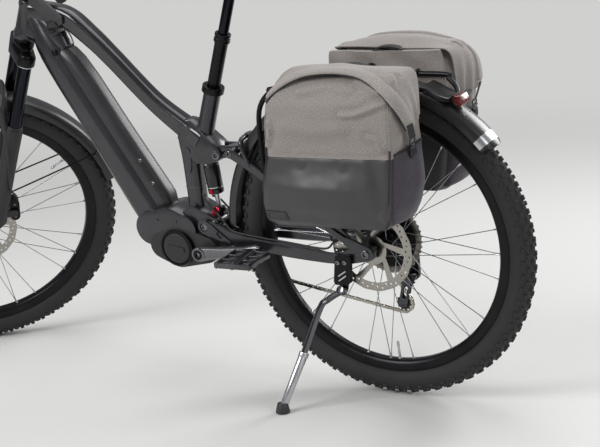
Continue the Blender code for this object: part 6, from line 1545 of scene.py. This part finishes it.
leg = absorb(soften(loft(leg_rings), 0.0005, 40.0, 1),
             rod(STAND_PIVOT - pin_half, STAND_PIVOT + pin_half, 0.0103, sides=32, edge=0.001))
piece("i_section_leg", leg, "stand", POLISHED, ["stand_leg"])
ground_up = LEANED.inverted() @ Z_AXIS
sleeve = absorb(rod(STAND_BEND + leg_dir * 0.12, STAND_FOOT + ground_up * 0.01, 0.0104, 0.0092, 32, 0.0012),
                rod(STAND_BEND + leg_dir * 0.118, STAND_BEND + leg_dir * 0.13, 0.0115, sides=32, edge=0.0008))
piece("silver_stand_sleeve", sleeve, "stand", BARE_ALLOY, ["stand_leg"])
foot = lathe(mm((0, 0), (0, 16.5), (3, 16.8), (20, 12.5), (22.5, 11.2), (22.5, 0)), STAND_FOOT, ground_up, 40,
             closed=False, edge=0.0006)
piece("rubber_stand_foot", foot, "stand", PATCH, ["stand_leg"])

# %% [markdown]
# ## Cockpit and saddle
# These stand above the photo's edge, so they follow usual sizes: a forged stem, a swept riser bar, rubber
# grips with rings, hydraulic brake levers, a dropper lever, a shift lever and a small remote for the motor.

# %% Stem and handlebar
BAR_ROUTE = mm((45, 0, 0), (75, 10, 0), (120, 44, 2), (150, 50, 6), (370, 66, 40))


def on_bar(side, y, up=0.0, back=0.0):
    """A point at a distance along the bar's straight end, moved up and back from its middle line."""
    share = (y - 0.15) / 0.22
    return BAR + Y_AXIS * side * y + UP_AXIS * (0.05 + 0.016 * share + up) + BACK_AXIS * (
        0.006 + 0.034 * share + back)


stem = absorb(lathe(mm((651, 14.5), (651, 19), (653, 19.5), (760, 19.5), (763, 18.8), (764, 16), (764, 0)),
                    STEER_FOOT, UP_AXIS, 56, closed=False, edge=0.0006),
              rod(steer_point(0.756, -0.01), steer_point(0.756, -0.033), 0.0165, 0.017, 40, 0.001),
              lathe(mm((-24, 16), (-24, 20.8), (-22.8, 21.4), (22.8, 21.4), (24, 20.8), (24, 16)), BAR,
                    Y_AXIS, 56, edge=0.0004))
absorb(stem, block(BAR - BACK_AXIS * 0.02, (0.006, 0.044, 0.03), BAR_TILT, edge=0.0015))
piece("forged_stem", stem, "steering", BLACK_METAL, ["stem"], True)
stem_bolts = bmesh.new()
for side in (-1, 1):
    for up in (-1, 1):
        absorb(stem_bolts, bolt(BAR - BACK_AXIS * 0.0226 + Y_AXIS * side * 0.0165 + UP_AXIS * up * 0.0115,
                                -BACK_AXIS, 0.0038, 0.003))
    absorb(stem_bolts, bolt(steer_point(0.67 + 0.05 * (side > 0), 0.019, 0.0), BACK_AXIS, 0.0036, 0.003))
absorb(stem_bolts, bolt(steer_point(0.7636, 0.0), UP_AXIS, 0.006, 0.003))
piece("stem_bolts", stem_bolts, "steering", STEEL, steered=True)
bar_points = [BAR + Y_AXIS * -y + UP_AXIS * up + BACK_AXIS * back for y, up, back in BAR_ROUTE[::-1]]
bar_points += [BAR + Y_AXIS * y + UP_AXIS * up + BACK_AXIS * back for y, up, back in BAR_ROUTE]
bar_line = smooth_line(bar_points, 8)
swell = [1.0 + 0.39 * portion((0.062 - abs(p.y)) / 0.022) for p in bar_line]
piece("riser_handlebar", tube(bar_line, 0.0112, 7, swell), "steering", BLACK_METAL,
      ["handlebar"], True)

# %% [markdown]
# Both ends of the bar carry the same parts, so one loop makes them. A grip is turned, with a rib every
# 4.8 mm. The blade of a brake lever is a loft along a curve. Every lever rides on a body of its own,
# because it moves.

# %% Grips, brakes and levers
for side, word in SIDES:
    inner, outer = on_bar(side, 0.248), on_bar(side, 0.372)
    axis = (outer - inner).normalized()
    length = (outer - inner).length
    profile = mm((0, 11.7), (0, 15), (1.5, 15.8), (6, 15.8), (7.5, 14.8))
    ribs = int((length - 0.03) / 0.0048)
    for k in range(ribs):
        at = 0.01 + 0.0048 * k
        wide = 0.015 + 0.0008 * sin(pi * k / ribs)
        profile += [(at, wide - 0.0009), (at + 0.0008, wide), (at + 0.003, wide),
                    (at + 0.0038, wide - 0.0009)]
    profile += [(length - 0.01, 0.015), (length - 0.008, 0.0159), (length - 0.0015, 0.0158), (length, 0.0148),
                (length, 0.0)]
    piece("ribbed_grip_" + word, lathe(profile, inner, axis, 48, closed=False), "steering", GRIP,
          ["grip_" + word], True)
    body = absorb(lathe(mm((206, 11.6), (206, 16), (207.5, 16.5), (220.5, 16.5), (222, 16), (222, 11.6)),
                        on_bar(side, 0.0), axis, 48, edge=0.0004),
                  rod(on_bar(side, 0.1775, -0.004, -0.024), on_bar(side, 0.2255, -0.004, -0.026), 0.0098,
                      sides=32, edge=0.0016),
                  block(on_bar(side, 0.2265, 0.0, -0.0315), (0.0185, 0.03, 0.0195), BAR_TILT, edge=0.0025))
    cover_plate = absorb(
        block(on_bar(side, 0.201, 0.0062, -0.025), (0.013, 0.04, 0.003), BAR_TILT, edge=0.001),
        bolt(on_bar(side, 0.187, 0.0074, -0.025), UP_AXIS, 0.0018, 0.0012),
        bolt(on_bar(side, 0.215, 0.0074, -0.025), UP_AXIS, 0.0018, 0.0012))
    absorb(body, rod(on_bar(side, 0.189, -0.004, -0.024), on_bar(side, 0.2, -0.003, 0.0), 0.005, sides=20))
    piece("brake_master_" + word, absorb(body, cover_plate), "steering", BLACK_METAL,
          ["brake_body_" + word], True)
    blade_line = [on_bar(side, 0.235, 0.0, -0.034), on_bar(side, 0.262, 0.0, -0.048),
                  on_bar(side, 0.3, 0.0, -0.05), on_bar(side, 0.345, 0.0, -0.043)]
    blade = smooth_line(blade_line, 8)
    lever_rings = []
    for k, middle in enumerate(blade):
        across = ahead_at(blade, k).cross(UP_AXIS).normalized()
        tall = 0.0108 if k < len(blade) - 3 else 0.0085
        lever_rings.append(rounded_ring(middle, across, UP_AXIS, 0.0048, tall, 0.0016, 4))
    lever = absorb(loft(lever_rings),
                   rod(on_bar(side, 0.235, -0.0058, -0.034), on_bar(side, 0.235, 0.0058, -0.034), 0.0058,
                       sides=28, edge=0.0008),
                   rod(blade[-1] - UP_AXIS * 0.0042, blade[-1] + UP_AXIS * 0.0042, 0.004, sides=20,
                       edge=0.0014))
    piece("curved_brake_lever_" + word, lever, "brake_lever_" + word, BLACK_METAL,
          ["brake_lever_" + word], True)
    role = "dropper_lever" if side < 0 else "shift_lever"
    pod = on_bar(side, 0.19, -0.026, 0.004)
    thumb = smooth_line([pod, on_bar(side, 0.205, -0.036, 0.02), on_bar(side, 0.228, -0.04, 0.032)], 6)
    shape = absorb(rod(pod - UP_AXIS * 0.0052, pod + UP_AXIS * 0.0052, 0.0098, sides=36, edge=0.0014),
                   tube(thumb, 0.0042, 4),
                   block(thumb[-1], (0.008, 0.018, 0.0075), Matrix.Rotation(radians(-25.0 * side), 4, "X"),
                         edge=0.0022, segments=3))
    piece("thumb_" + role, shape, role, BLACK_METAL, [role], True)
remote_in, remote_out = on_bar(-1, 0.158), on_bar(-1, 0.168)
remote = absorb(lathe(mm((0, 11.6), (0, 14.6), (1.2, 15), (8.8, 15), (10, 14.6), (10, 11.6)), remote_in,
                      (remote_out - remote_in).normalized(), 48),
                block(on_bar(-1, 0.163, 0.015, 0.01), (0.033, 0.0158, 0.0096), BAR_TILT, edge=0.0024,
                      segments=3))
piece("assist_remote_pod", remote, "steering", PLASTIC, ["assist_remote"], True)
buttons = bmesh.new()
for shift in (-0.009, 0.001):
    absorb(buttons, rod(on_bar(-1, 0.163, 0.0192, 0.01 + shift), on_bar(-1, 0.163, 0.0206, 0.01 + shift),
                        0.0036, sides=24, edge=0.0005))
piece("remote_buttons", buttons, "steering", GRIP, steered=True)
spot = rod(on_bar(-1, 0.163, 0.019, 0.0205), on_bar(-1, 0.163, 0.0202, 0.0205), 0.0018, sides=16)
piece("remote_lit_spot", spot, "steering", BLUE_LAMP, steered=True)

# %% [markdown]
# The saddle is a foam pad under stretched vinyl on a nylon shell, held by two steel rails. The skin is one
# loft from nose to tail, with a hollow along its middle and edges that turn under.

# %% Saddle
RAIL_Z = POST_TOP.z + 0.0163
RAIL_X = POST_TOP.x
saddle_knots = mm((-158, 12, 10), (-152, 26, 24), (-140, 37, 32), (-80, 46, 35), (-10, 66, 32), (50, 116, 35),
                  (90, 140, 40), (112, 124, 32), (120, 90, 16))
saddle_sizes = smooth_line(saddle_knots, 6)
skin_rings = []
for offset, width, depth in saddle_sizes:
    base = RAIL_Z + 0.024 + 0.08 * abs(offset) * (1.0 if offset > 0.0 else 0.55)
    ring = []
    for step in range(40):
        turn = tau * step / 40.0
        across = copysign(abs(cos(turn)) ** 0.75, cos(turn)) * width / 2.0
        rise = copysign(abs(sin(turn)) ** 0.85, sin(turn)) * depth / 2.0
        hollow = 0.0
        if rise > 0.0:
            hollow = 0.0055 * exp(-(across / 0.011) ** 2) * portion((0.115 - abs(offset)) / 0.05)
        ring.append(Vector((RAIL_X + offset, across,
                            base + max(rise, -depth * 0.36) - hollow - 0.1 * across * across / 0.14)))
    skin_rings.append(ring)
piece("padded_saddle_skin", loft(skin_rings), "seatpost", SADDLE_SKIN, ["saddle"])
rails = bmesh.new()
for side in (-1, 1):
    line = mm((-130, 12, 24), (-100, 18, 12), (-45, 22, 0), (45, 22, 0), (80, 34, 12), (98, 42, 26))
    absorb(rails, tube(smooth_line([(RAIL_X + x, side * y, RAIL_Z + z) for x, y, z in line], 6), 0.0035, 5))
piece("steel_saddle_rails", rails, "seatpost", STEEL)

# %% [markdown]
# Hoses and cables are smooth nylon over steel or pressure hose. The long ones are held by clips. Those that
# cross between the turning, sliding and swinging parts are left in place, attached to neither part.

# %% Hoses and clips
def hose(side, on, off, radius=0.0025):
    """A hose that leaves the bar (along, up, back) and runs past points of the steering axis."""
    line = [on_bar(side, *spot) for spot in on] + [steer_point(*spot) for spot in off]
    return tube(smooth_line(line, 8), radius, 4)


front_hose = hose(-1, mm((174.5, -4, -24), (150, -14, -34)),
                  mm((680, -95, -105), (600, -95, -90), (500, -78, -88), (420, -60, -92), (350, -34, -96.5),
                     (250, -8, -93.5), (165, 10, -92.5), (134, 30, -74), (111.5, 36, -52)))
piece("front_brake_run", front_hose, "steering", PLASTIC, ["front_brake_hose"], True,
      bend=("fork_slide", steer_point(0.44, 0.0, -0.09), steer_point(0.18, 0.0, -0.09)))
runs = absorb(
    hose(1, mm((174.5, -4, -24), (140, -16, -40)), mm((730, -92, 60), (690, -62, 24), (672, -22.2, 8))),
    hose(1, mm((177.5, -21, 4), (150, -30, -12)), mm((715, -70, 58), (682, -46, 18), (668, -22.2, 2)),
         0.0023),
    hose(-1, mm((177.5, -21, 4), (150, -32, -12)), mm((720, -76, -58), (684, -50, -18), (669, -22.2, -3)),
         0.0023), block(steer_point(0.67, -0.0255, 0.002), (0.01, 0.026, 0.014), BAR_TILT, edge=0.002))
piece("bar_cable_runs", runs, "steering", PLASTIC, ["bar_hoses"], True)
rear_left = mm((140, -16, 456), (156, -24, 446), (178, -26, 422), (192, -27, 408), (208, -38, 401),
               (229, -43, 388.4), (300, -48, 379.4), (388, -59, 375.4), (470, -69, 370.6), (498, -69, 372),
               (512, -65, 385))
rear_right = [(x, -y, z) for x, y, z in rear_left[:8]] + mm((470, 69, 370.6), (530, 70, 364), (535, 69, 340))
rear_runs = absorb(tube(smooth_line(rear_left, 8), 0.0025, 4), tube(smooth_line(rear_right, 8), 0.0025, 4),
                   cross_rod((0.192, 0.0, 0.408), 0.028, 0.0034, 20, 0.0006))
piece("rear_hose_runs", rear_runs, "frame", PLASTIC, ["rear_hoses"],
      bend=("chainstay", Vector((0.142, 0.0, 0.456)), Vector((0.19, 0.0, 0.409))))

# %% [markdown]
# ## Panniers
# Each bag is one soft shell that fills and sags: its wall bulges between the seams and folds where straps
# pull. It is lofted through level slices, and the folds are added as ridges along lines read from the photo.
# The lower part is coated cloth. The canvas above overlaps it by a few millimetres with a turned hem.

# %% Bag wall
BAG_IN_Y = 0.0745
PANEL_Y = -0.086  # outer face of the left bag's back panel
# Slices of the bag: height, front and rear end, inner and outer face from the bag's inside.
BAG_LEVELS = mm((465, 462, 704, 20, 108), (470, 444, 726, 6, 126), (486, 433, 741, 1, 138.5),
                (525, 435, 750, 1, 149), (570, 441, 758, 1, 152), (637, 458, 765, 1, 148),
                (700, 463, 769, 2, 148), (745, 470, 770, 6, 144), (770, 482, 769, 14, 135),
                (790, 502, 762, 28, 121), (800, 522, 752, 40, 106))
FOOT_Z = BAG_LEVELS[0][0]
TOP_Z = BAG_LEVELS[-1][0]
SEAM_Z = 0.637
# Folds in the outer face: a line read from the photo, its height and its half width.
RIDGES = [(mm((665, 729), (697, 730), (737, 744), (763, 755)), 0.005, 0.007),
          (mm((690, 797), (719, 786), (748, 776), (767, 769)), 0.0045, 0.008),
          (mm((721, 681), (740, 674), (749, 653)), 0.0042, 0.006),
          (mm((479, 708), (482, 686), (472, 660)), 0.004, 0.007),
          (mm((725, 625), (738, 540)), -0.0018, 0.015), (mm((545, 642), (552, 622)), 0.0012, 0.009),
          (mm((640, 642), (652, 620)), 0.0014, 0.009), (mm((760, 545), (735, 500)), 0.002, 0.011),
          (mm((520, 700), (600, 690), (660, 700)), 0.0022, 0.016),
          (mm((560, 775), (620, 786), (680, 780)), 0.003, 0.009)]


def from_line(x, z, line):
    """Distance from a point of the side view to a broken line."""
    best = 1.0
    for (ax, az), (bx, bz) in zip(line, line[1:]):
        dx, dz = bx - ax, bz - az
        share = portion(((x - ax) * dx + (z - az) * dz) / (dx * dx + dz * dz))
        best = min(best, hypot(x - ax - dx * share, z - az - dz * share))
    return best


def level_at(z):
    """The bag's slice at a height."""
    for low, high in zip(BAG_LEVELS, BAG_LEVELS[1:]):
        if z <= high[0]:
            share = (z - low[0]) / (high[0] - low[0])
            smooth = share * share * (3.0 - 2.0 * share) * 0.4 + share * 0.6
            return [a + (b - a) * smooth for a, b in zip(low, high)]
    return list(BAG_LEVELS[-1])


def bag_ring(z, grow, phase):
    """One slice of the left bag's wall, with bulge, folds and soft unevenness."""
    x_low, x_high, inner, outer = level_at(z)[1:]
    corners = [(x_high, outer, 0.012), (x_low, outer, 0.02), (x_low, inner, 0.026), (x_high, inner, 0.024)]
    signs = [(1, 1), (-1, 1), (-1, -1), (1, -1)]
    corners = [(x, y, min(r, (outer - inner) * 0.42)) for x, y, r in corners]
    centres = [(x - sx * r, y - sy * r, r) for (x, y, r), (sx, sy) in zip(corners, signs)]
    rises = [exp(-((z - middle) / 0.05) ** 2) for middle in (0.55, 0.72)]
    line = []
    for k, centre in enumerate(centres):
        for step in range(7):
            turn = pi / 2.0 * (k + step / 6.0)
            line.append((*around(centre, centre[2], turn), cos(turn), sin(turn)))
        nx, ny = line[-1][2:]
        a, b = line[-1], around(centres[(k + 1) % 4], centres[(k + 1) % 4][2], pi / 2.0 * (k + 1))
        count = (46, 22, 40, 22)[k]
        for step in range(1, count):
            share = step / count
            line.append((a[0] + (b[0] - a[0]) * share, a[1] + (b[1] - a[1]) * share, nx, ny))
    ring = []
    for x, y, nx, ny in line:
        u = (x - (x_low + x_high) / 2.0) / ((x_high - x_low) / 2.0)
        v = (y - (inner + outer) / 2.0) / max(0.01, (outer - inner) / 2.0)
        push = grow
        if ny > 0.5:
            push += (1.0 - u * u) * (0.02 * rises[0] + 0.0105 * rises[1]) * ny - 0.003 * exp(
                -((z - SEAM_Z) / 0.006) ** 2)
            for ridge, height, width in RIDGES:
                away = from_line(x, z, ridge)
                if away < width * 3.5:
                    push += 1.5 * height * (exp(-(away / width) ** 2) - 0.5
                                            * exp(-((away - width * 1.5) / width) ** 2))
        elif nx > 0.5:
            fold = sin(v * 8.0 + 3.0 * sin(z * 30.0) + phase) + 0.5 * uneven(v * 3.0, z * 60.0, phase)
            above = portion((z - 0.63) / 0.05)
            push += (1.0 - v * v) * (0.003 + 0.009 * rises[1]) + 0.0046 * fold * above * (1.0 - 0.7 * abs(v))
        elif nx < -0.5:
            push += (1.0 - v * v) * (0.005 * rises[0] + 0.004 * rises[1]) + 0.0018 * sin(
                v * 7.0 + z * 60.0 + phase)
        push += 0.0016 * uneven(x * 16.0 + phase, y * 16.0, z * 20.0) + 0.0007 * uneven(
            x * 55.0, y * 55.0 + phase, z * 48.0)
        if ny < -0.5:
            push = min(push, 0.0) * 0.5
        ring.append(Vector((x + nx * push, -(BAG_IN_Y + y + ny * push), z)))
    return ring


# %% [markdown]
# Every part of the bags is drawn for the left one, and the right one gets its mirror image, so a mend is made
# once. Cloth parts also get a UV map in metres for the weave. phase shifts the folds, so that the two bags
# don't look copied.

# %% Sewing helpers
def lay_cloth(shape):
    """A UV map in metres, laid flat on each face's main direction."""
    layer = shape.loops.layers.uv.new("cloth")
    shape.normal_update()
    for face in shape.faces:
        axis = max(range(3), key=lambda k: abs(face.normal[k]))
        for corner in face.loops:
            spot = corner.vert.co
            corner[layer].uv = ((spot.y, spot.z), (spot.x, spot.z), (spot.x, spot.y))[axis]
    return shape


def mirror(shape, word):
    """The left bag's shape, or its mirror image."""
    if word == "right":
        bmesh.ops.scale(shape, vec=(1.0, -1.0, 1.0), verts=shape.verts)
        bmesh.ops.reverse_faces(shape, faces=shape.faces)
    return shape


def sew(name, word, shape, look, crease=38.0, hides=()):
    """A cloth piece of one bag."""
    return piece(name + "_" + word, lay_cloth(mirror(shape, word)), "pannier_" + word, look,
                 hides, crease=crease)


def fit(name, word, shape, look):
    """A hard piece of one bag."""
    return piece(name + "_" + word, mirror(shape, word), "pannier_" + word, look)


# %% [markdown]
# The closure is a flap from the straight back edge to an arched binding, which is buckled down at both ends.
# Between them the cloth hangs a little and folds at the ends. The curves are read from the photo.

# %% Flap and binding
LOWER_ARCH = mm((478, -212.5, 750), (484.6, -212.5, 761.6), (522.1, -206, 786.7), (569.4, -199, 804.5),
                (628.2, -195, 809.5), (680, -196, 805.2), (713.7, -201, 794.8), (749.2, -213, 774.4),
                (763.2, -218, 764.3), (776.9, -217.5, 746.9), (784.8, -210, 728.8), (790, -201, 708.5),
                (791, -190, 689.7))
UPPER_ARCH = mm((476, -198, 760), (486.2, -198, 774.3), (512.9, -186, 796.7), (549.1, -177, 810.1),
                (602.1, -171.5, 815), (646.8, -171.5, 815.2), (680.6, -173, 812.9), (716.8, -177, 803.7),
                (738.2, -184, 796.6), (756.3, -190, 786.9), (769.8, -192, 775.5), (782, -190, 760.8),
                (790, -184, 743.1), (795, -176, 723.1), (797, -166, 691.8))
BACK_EDGE = mm((474, -150, 770), (473.8, -130, 786.4), (480, -100, 800.4), (530, -90, 804), (590, -88, 803),
               (650, -87, 800), (740, -87, 799), (768.3, -87, 794), (778.5, -90, 770), (779, -95, 700))
HOOK_LINE = mm((-85, 754), (-64, 754), (-60, 752.8), (-59.2, 750), (-59.2, 741))


def even(points, count):
    """Evenly spaced points on a smooth curve."""
    line = smooth_line(points, 12)
    lengths = [0.0]
    for a, b in zip(line, line[1:]):
        lengths.append(lengths[-1] + (b - a).length)
    spread = []
    at = 0
    for k in range(count):
        want = lengths[-1] * k / (count - 1)
        while at < len(lengths) - 2 and lengths[at + 1] < want:
            at += 1
        share = (want - lengths[at]) / max(1e-9, lengths[at + 1] - lengths[at])
        spread.append(line[at].lerp(line[at + 1], share))
    return spread


def ribbon(lefts, rights, thick, crown=0.0):
    """A band between two curves, with a thickness and a slight crown."""
    rings = []
    for k, (a, b) in enumerate(zip(lefts, rights)):
        across = (b - a).normalized()
        up = ahead_at(lefts, k).cross(across).normalized()
        if up.z < 0.0 or (abs(up.z) < 0.25 and up.x < 0.0):
            up = -up
        wide = (b - a).length
        rings.append([a + across * wide * share + up * rise * thick
                      for share, rise in ((0.0, 0.15), (0.03, 0.75), (0.12, 1.0), (0.5, 1.0 + crown),
                                          (0.88, 1.0), (0.97, 0.75), (1.0, 0.15), (0.97, -0.3), (0.5, -0.4),
                                          (0.03, -0.3))])
    return loft(rings)


def flap(phase, count=120, rows=22):
    """The cloth between the back edge and the binding."""
    back = even(BACK_EDGE, count)
    front = even(UPPER_ARCH, count)
    over = []
    under = []
    for row in range(rows + 1):
        v = row / rows
        line = []
        for k in range(count):
            u = k / (count - 1)
            spot = back[k].lerp(front[k], v)
            ends = max(0.0, abs(u - 0.5) * 2.0 - 0.55) / 0.45
            lift = 0.006 * sin(pi * v) * (1.0 - ends)
            lift += 0.0046 * ends * sin(v * 15.0 + u * 8.0 + phase) * sin(pi * v)
            lift += 0.003 * uneven(spot.x * 18.0 + phase, spot.y * 22.0, spot.z * 18.0) * sin(pi * v)
            way = Vector((0.9 * (1.0 if u > 0.5 else -1.0) * ends, 0.0, 1.0 - 0.8 * ends)).normalized()
            line.append(spot + way * lift)
        over.append(line)
        under.append([p - Vector((0.0016 * (1.0 if q > count / 2 else -1.0), 0.0, 0.0022))
                      for q, p in enumerate(line)])
    return loft([line + low[::-1] for line, low in zip(over, under)])


def close_bag(word, phase):
    """The flap, its arched binding, a dark strip painted as the shadow under the binding, and the binding's
    stitches.
    """
    sew("roll_top_flap", word, flap(phase), CANVAS, 60.0)
    lowers, uppers = even(LOWER_ARCH, 96), even(UPPER_ARCH, 96)
    lowers, uppers = [a - Y_AXIS * 0.002 for a in lowers], [b + Vector((-0.001, 0.0016, 0.0)) for b in uppers]
    sew("arched_binding", word, ribbon(lowers, uppers, 0.0052, 0.25), STRAP_CLOTH, 50.0)
    # A dark webbing strip along the binding's lower edge is painted shadow: it stands in for the shade
    # between the binding and the wall.
    shadow_strip_line = [a + Vector((0.0, 0.0012, -0.0012)) for a in lowers]
    sew("painted_shadow_strip", word, tube(shadow_strip_line, 0.002, 3), WEBBING, 50.0)
    stitches = bmesh.new()
    for share in (0.1, 0.9):
        row = [a.lerp(b, share) + Vector((0.0, -0.0016, 0.0036)) for a, b in zip(lowers, uppers)]
        absorb(stitches, tube(row[2:-2], 0.0005, 2))
    fit("binding_stitches", word, stitches, WEBBING)


# %% [markdown]
# The coated base and the canvas above it are two padded shells, because a real edge shows where the canvas
# starts with its turned hem. Piping stiffens the base's corners, and a thin seam cord carries on above it.

# %% Walls and piping
def sew_walls(word, phase):
    """The coated base and the canvas above it."""
    lower = loft([bag_ring(FOOT_Z + (0.64 - FOOT_Z) * (step / 46.0) ** 1.15, 0.0, phase)
                  for step in range(47)])
    sew("coated_bag_base", word, lower, COATED, 60.0, ["pannier_" + word])
    hem_steps = ((-0.0035, -0.0002), (-0.0042, 0.0008), (-0.004, 0.0019), (-0.002, 0.0023), (0.001, 0.0019))
    rings = [bag_ring(SEAM_Z + rise, grow, phase) for rise, grow in hem_steps]
    rings += [bag_ring(SEAM_Z + 0.002 + (TOP_Z - SEAM_Z - 0.002) * step / 56.0, 0.0012, phase)
              for step in range(1, 57)]
    sew("canvas_bag_upper", word, loft(rings), CANVAS, 60.0)


def sew_piping(word):
    """Piping at the corners of the base and a seam cord above."""
    piping = bmesh.new()
    seams = bmesh.new()
    for end, x_in, y_in in ((1, 0.0034, 0.0036), (-1, 0.0056, 0.006)):
        edge_line = []
        for step in range(40):
            z = 0.476 + (0.762 - 0.476) * step / 39.0
            x_low, x_high, inner, outer = level_at(z)[1:]
            grow = 0.0012 if z > SEAM_Z else 0.0
            x = (x_high if end > 0 else x_low) + end * (grow - x_in)
            edge_line.append(Vector((x, -(BAG_IN_Y + outer + grow - y_in), z)))
        absorb(piping, tube(edge_line[:25], 0.0022, 3))
        absorb(seams, tube(edge_line[24:], 0.0013, 3))
    sew("bag_piping", word, piping, WEBBING)
    sew("bag_seam_cord", word, seams, STRAP_CLOTH)


# %% [markdown]
# The rear end of each bag carries a mesh pocket. It is one loft that swells most at mid height, and its top
# edge is bound with a webbing hem.

# %% Side pocket
def sew_pocket(word, phase):
    """The mesh pocket and its hem."""
    pocket_rings = []
    for step in range(31):
        z = 0.48 + (0.64 - 0.48) * step / 30.0
        x_low, x_high, inner, outer = level_at(z)[1:]
        share = step / 30.0
        outsides = []
        insides = []
        for across in range(25):
            v = across / 24.0
            y = inner + 0.006 + (outer - inner - 0.016) * v
            swell = 0.033 * sin(pi * v) ** 0.8 * sin(pi * min(1.0, share * 0.92 + 0.06)) ** 0.6
            swell += 0.0014 * sin(v * 19.0 + z * 40.0 + phase) * sin(pi * v) * share
            outsides.append(Vector((x_high + 0.0036 + swell, -(BAG_IN_Y + y),
                                    z + 0.003 * sin(pi * v) * share)))
            insides.append(Vector((x_high - 0.006, -(BAG_IN_Y + y), z)))
        pocket_rings.append(outsides + insides[::-1])
    sew("mesh_side_pocket", word, loft(pocket_rings), MESH_CLOTH, 60.0)
    hem = [p + Vector((0.0004, 0.0, 0.0)) for p in pocket_rings[-1][:25]]
    sew("pocket_hem", word, tube(smooth_line(hem, 3), 0.0026, 4), WEBBING)


# %% [markdown]
# The wheel side has a soft back panel with a handle, a rail and two hooks for the rack. At both ends of the
# binding a strap runs to a metal ring with a buckle and a loose tail. Straps are bands between two curves, so
# they keep their width in every bend.

# %% Back panel, straps and hooks
def sew_panel(word, phase):
    """The soft panel toward the wheel."""
    panel_rings = []
    for row in range(33):
        share = row / 32.0
        z = 0.6 + 0.196 * share
        low_x, high_x = 0.47 + 0.01 * share ** 6, 0.764 - 0.012 * share ** 6
        over = []
        for across in range(49):
            x = low_x + (high_x - low_x) * across / 48.0
            swell = 0.005 * sin(pi * across / 48.0) * sin(pi * min(1.0, share * 1.1))
            swell += 0.006 * uneven(x * 14.0 + phase, z * 30.0, 3.0) + 0.0022 * sin(
                x * 60.0 + z * 90.0 + phase)
            over.append(Vector((x, -0.0766 + 0.003 * share + min(0.0078, swell) * 0.8,
                                z + 0.003 * uneven(x * 14.0, phase, 0.0) * share)))
        panel_rings.append(over + [Vector((p.x, PANEL_Y, p.z)) for p in over[::-1]])
    sew("bag_back_panel", word, loft(panel_rings), CANVAS, 60.0)


def fit_straps(word):
    """Straps, rings, buckles and handle, and the rail with its hooks."""
    straps = bmesh.new()
    metal = bmesh.new()
    buckles = bmesh.new()
    for low_end, high_end, ring_at, way in ((LOWER_ARCH[-1], UPPER_ARCH[-1], (0.788, -0.16, 0.66), 1.0),
                                            (LOWER_ARCH[0], UPPER_ARCH[0], (0.466, -0.188, 0.712), -1.0)):
        a, b, ring_spot = Vector(low_end), Vector(high_end), Vector(ring_at)
        middle = (a + b) / 2.0
        across = (b - a).normalized()
        lefts, rights = [[middle + across * wide + (ring_spot - middle) * s + Vector((way * 0.002, 0.0, 0.0))
                          for s in (-0.25, 0.1, 0.5, 0.85)] for wide in (-0.01, 0.01)]
        absorb(straps, ribbon(even(lefts, 14), even(rights, 14), 0.0018))
        loop = []
        for step in range(28):
            turn = tau * step / 28.0
            tall = 0.01 if sin(turn) < 0.0 else 0.004
            loop.append(ring_spot + Y_AXIS * 0.0115 * cos(turn) + Z_AXIS * (tall * sin(turn)))
        absorb(metal, tube(loop, 0.0017, 3, cyclic=True))
        absorb(buckles, block(ring_spot + Vector((-way * 0.001, 0.0, -0.024)), (0.006, 0.026, 0.02),
                              edge=0.0022, segments=3),
               block(ring_spot + Vector((way * 0.0016, 0.0, -0.024)), (0.004, 0.015, 0.013), edge=0.0012))
        tail_l = [ring_spot + Vector((way * x, -0.0095, z))
                  for x, z in ((0.0006, -0.006), (-0.002, -0.03), (-0.007, -0.056))]
        tail_r = [p + Vector((0.0, 0.019, 0.0)) for p in tail_l]
        absorb(straps, ribbon(even(tail_l, 12), even(tail_r, 12), 0.0016))
    handle = []
    for step in range(25):
        share = step / 24.0
        handle.append(Vector((0.59 + 0.07 * share, PANEL_Y, 0.796 + 0.009 * sin(pi * share) ** 0.6)))
    absorb(straps, ribbon([p - Y_AXIS * 0.01 for p in handle], [p + Y_AXIS * 0.01 for p in handle], 0.002))
    back_rail = block((0.612, -0.079, 0.736), (0.24, 0.008, 0.03), edge=0.003)
    for hook_x in (0.525, 0.7):
        absorb(back_rail, block((hook_x, -0.08, 0.75), (0.032, 0.008, 0.026), edge=0.0024),
               tube([Vector((hook_x, y, z)) for y, z in HOOK_LINE], 0.0024, 4))
    sew("bag_webbing", word, straps, WEBBING, 50.0)
    fit("strap_rings", word, metal, DARK_ALLOY)
    fit("strap_buckles", word, buckles, PLASTIC)
    fit("rail_and_hooks", word, back_rail, PLASTIC)


# %% [markdown]
# The photo shows a small rubber label low on the base. It stays bare here. It follows the wall's own slices,
# so it lies on the cloth. Then both bags are sewn.

# %% Rubber patch, and both bags
def fit_patch(word, phase):
    """A bare rubber patch that follows the wall."""
    patch_rows = []
    for row in range(9):
        z = 0.487 + 0.0225 * row / 8.0
        front = sorted((p.x, p.y) for p in bag_ring(z, 0.0, phase) if p.y < -BAG_IN_Y - 0.075)
        lows = []
        for across in range(13):
            x = 0.445 + 0.054 * across / 12.0
            lows.append(Vector((x, min(y for spot, y in front if abs(spot - x) < 0.0062) - 0.0016, z)))
        patch_rows.append(lows + [p + Y_AXIS * 0.004 for p in lows[::-1]])
    label = soften(loft(patch_rows), 0.0006, 50.0, 2)
    rim_line = [patch_rows[1][k] for k in range(1, 12)] + [patch_rows[7][k] for k in range(11, 0, -1)]
    absorb(label, tube([p - Y_AXIS * 0.0002 for p in rim_line], 0.0006, 2, cyclic=True))
    fit("bare_rubber_patch", word, label, PATCH)


for word, phase in (("left", 0.0), ("right", 2.4)):
    sew_walls(word, phase)
    close_bag(word, phase)
    sew_piping(word)
    sew_pocket(word, phase)
    sew_panel(word, phase)
    fit_straps(word)
    fit_patch(word, phase)

# %% [markdown]
# ## Finish
# The bench scene that turned curves into meshes is removed.

# %% End
bpy.data.scenes.remove(bench)
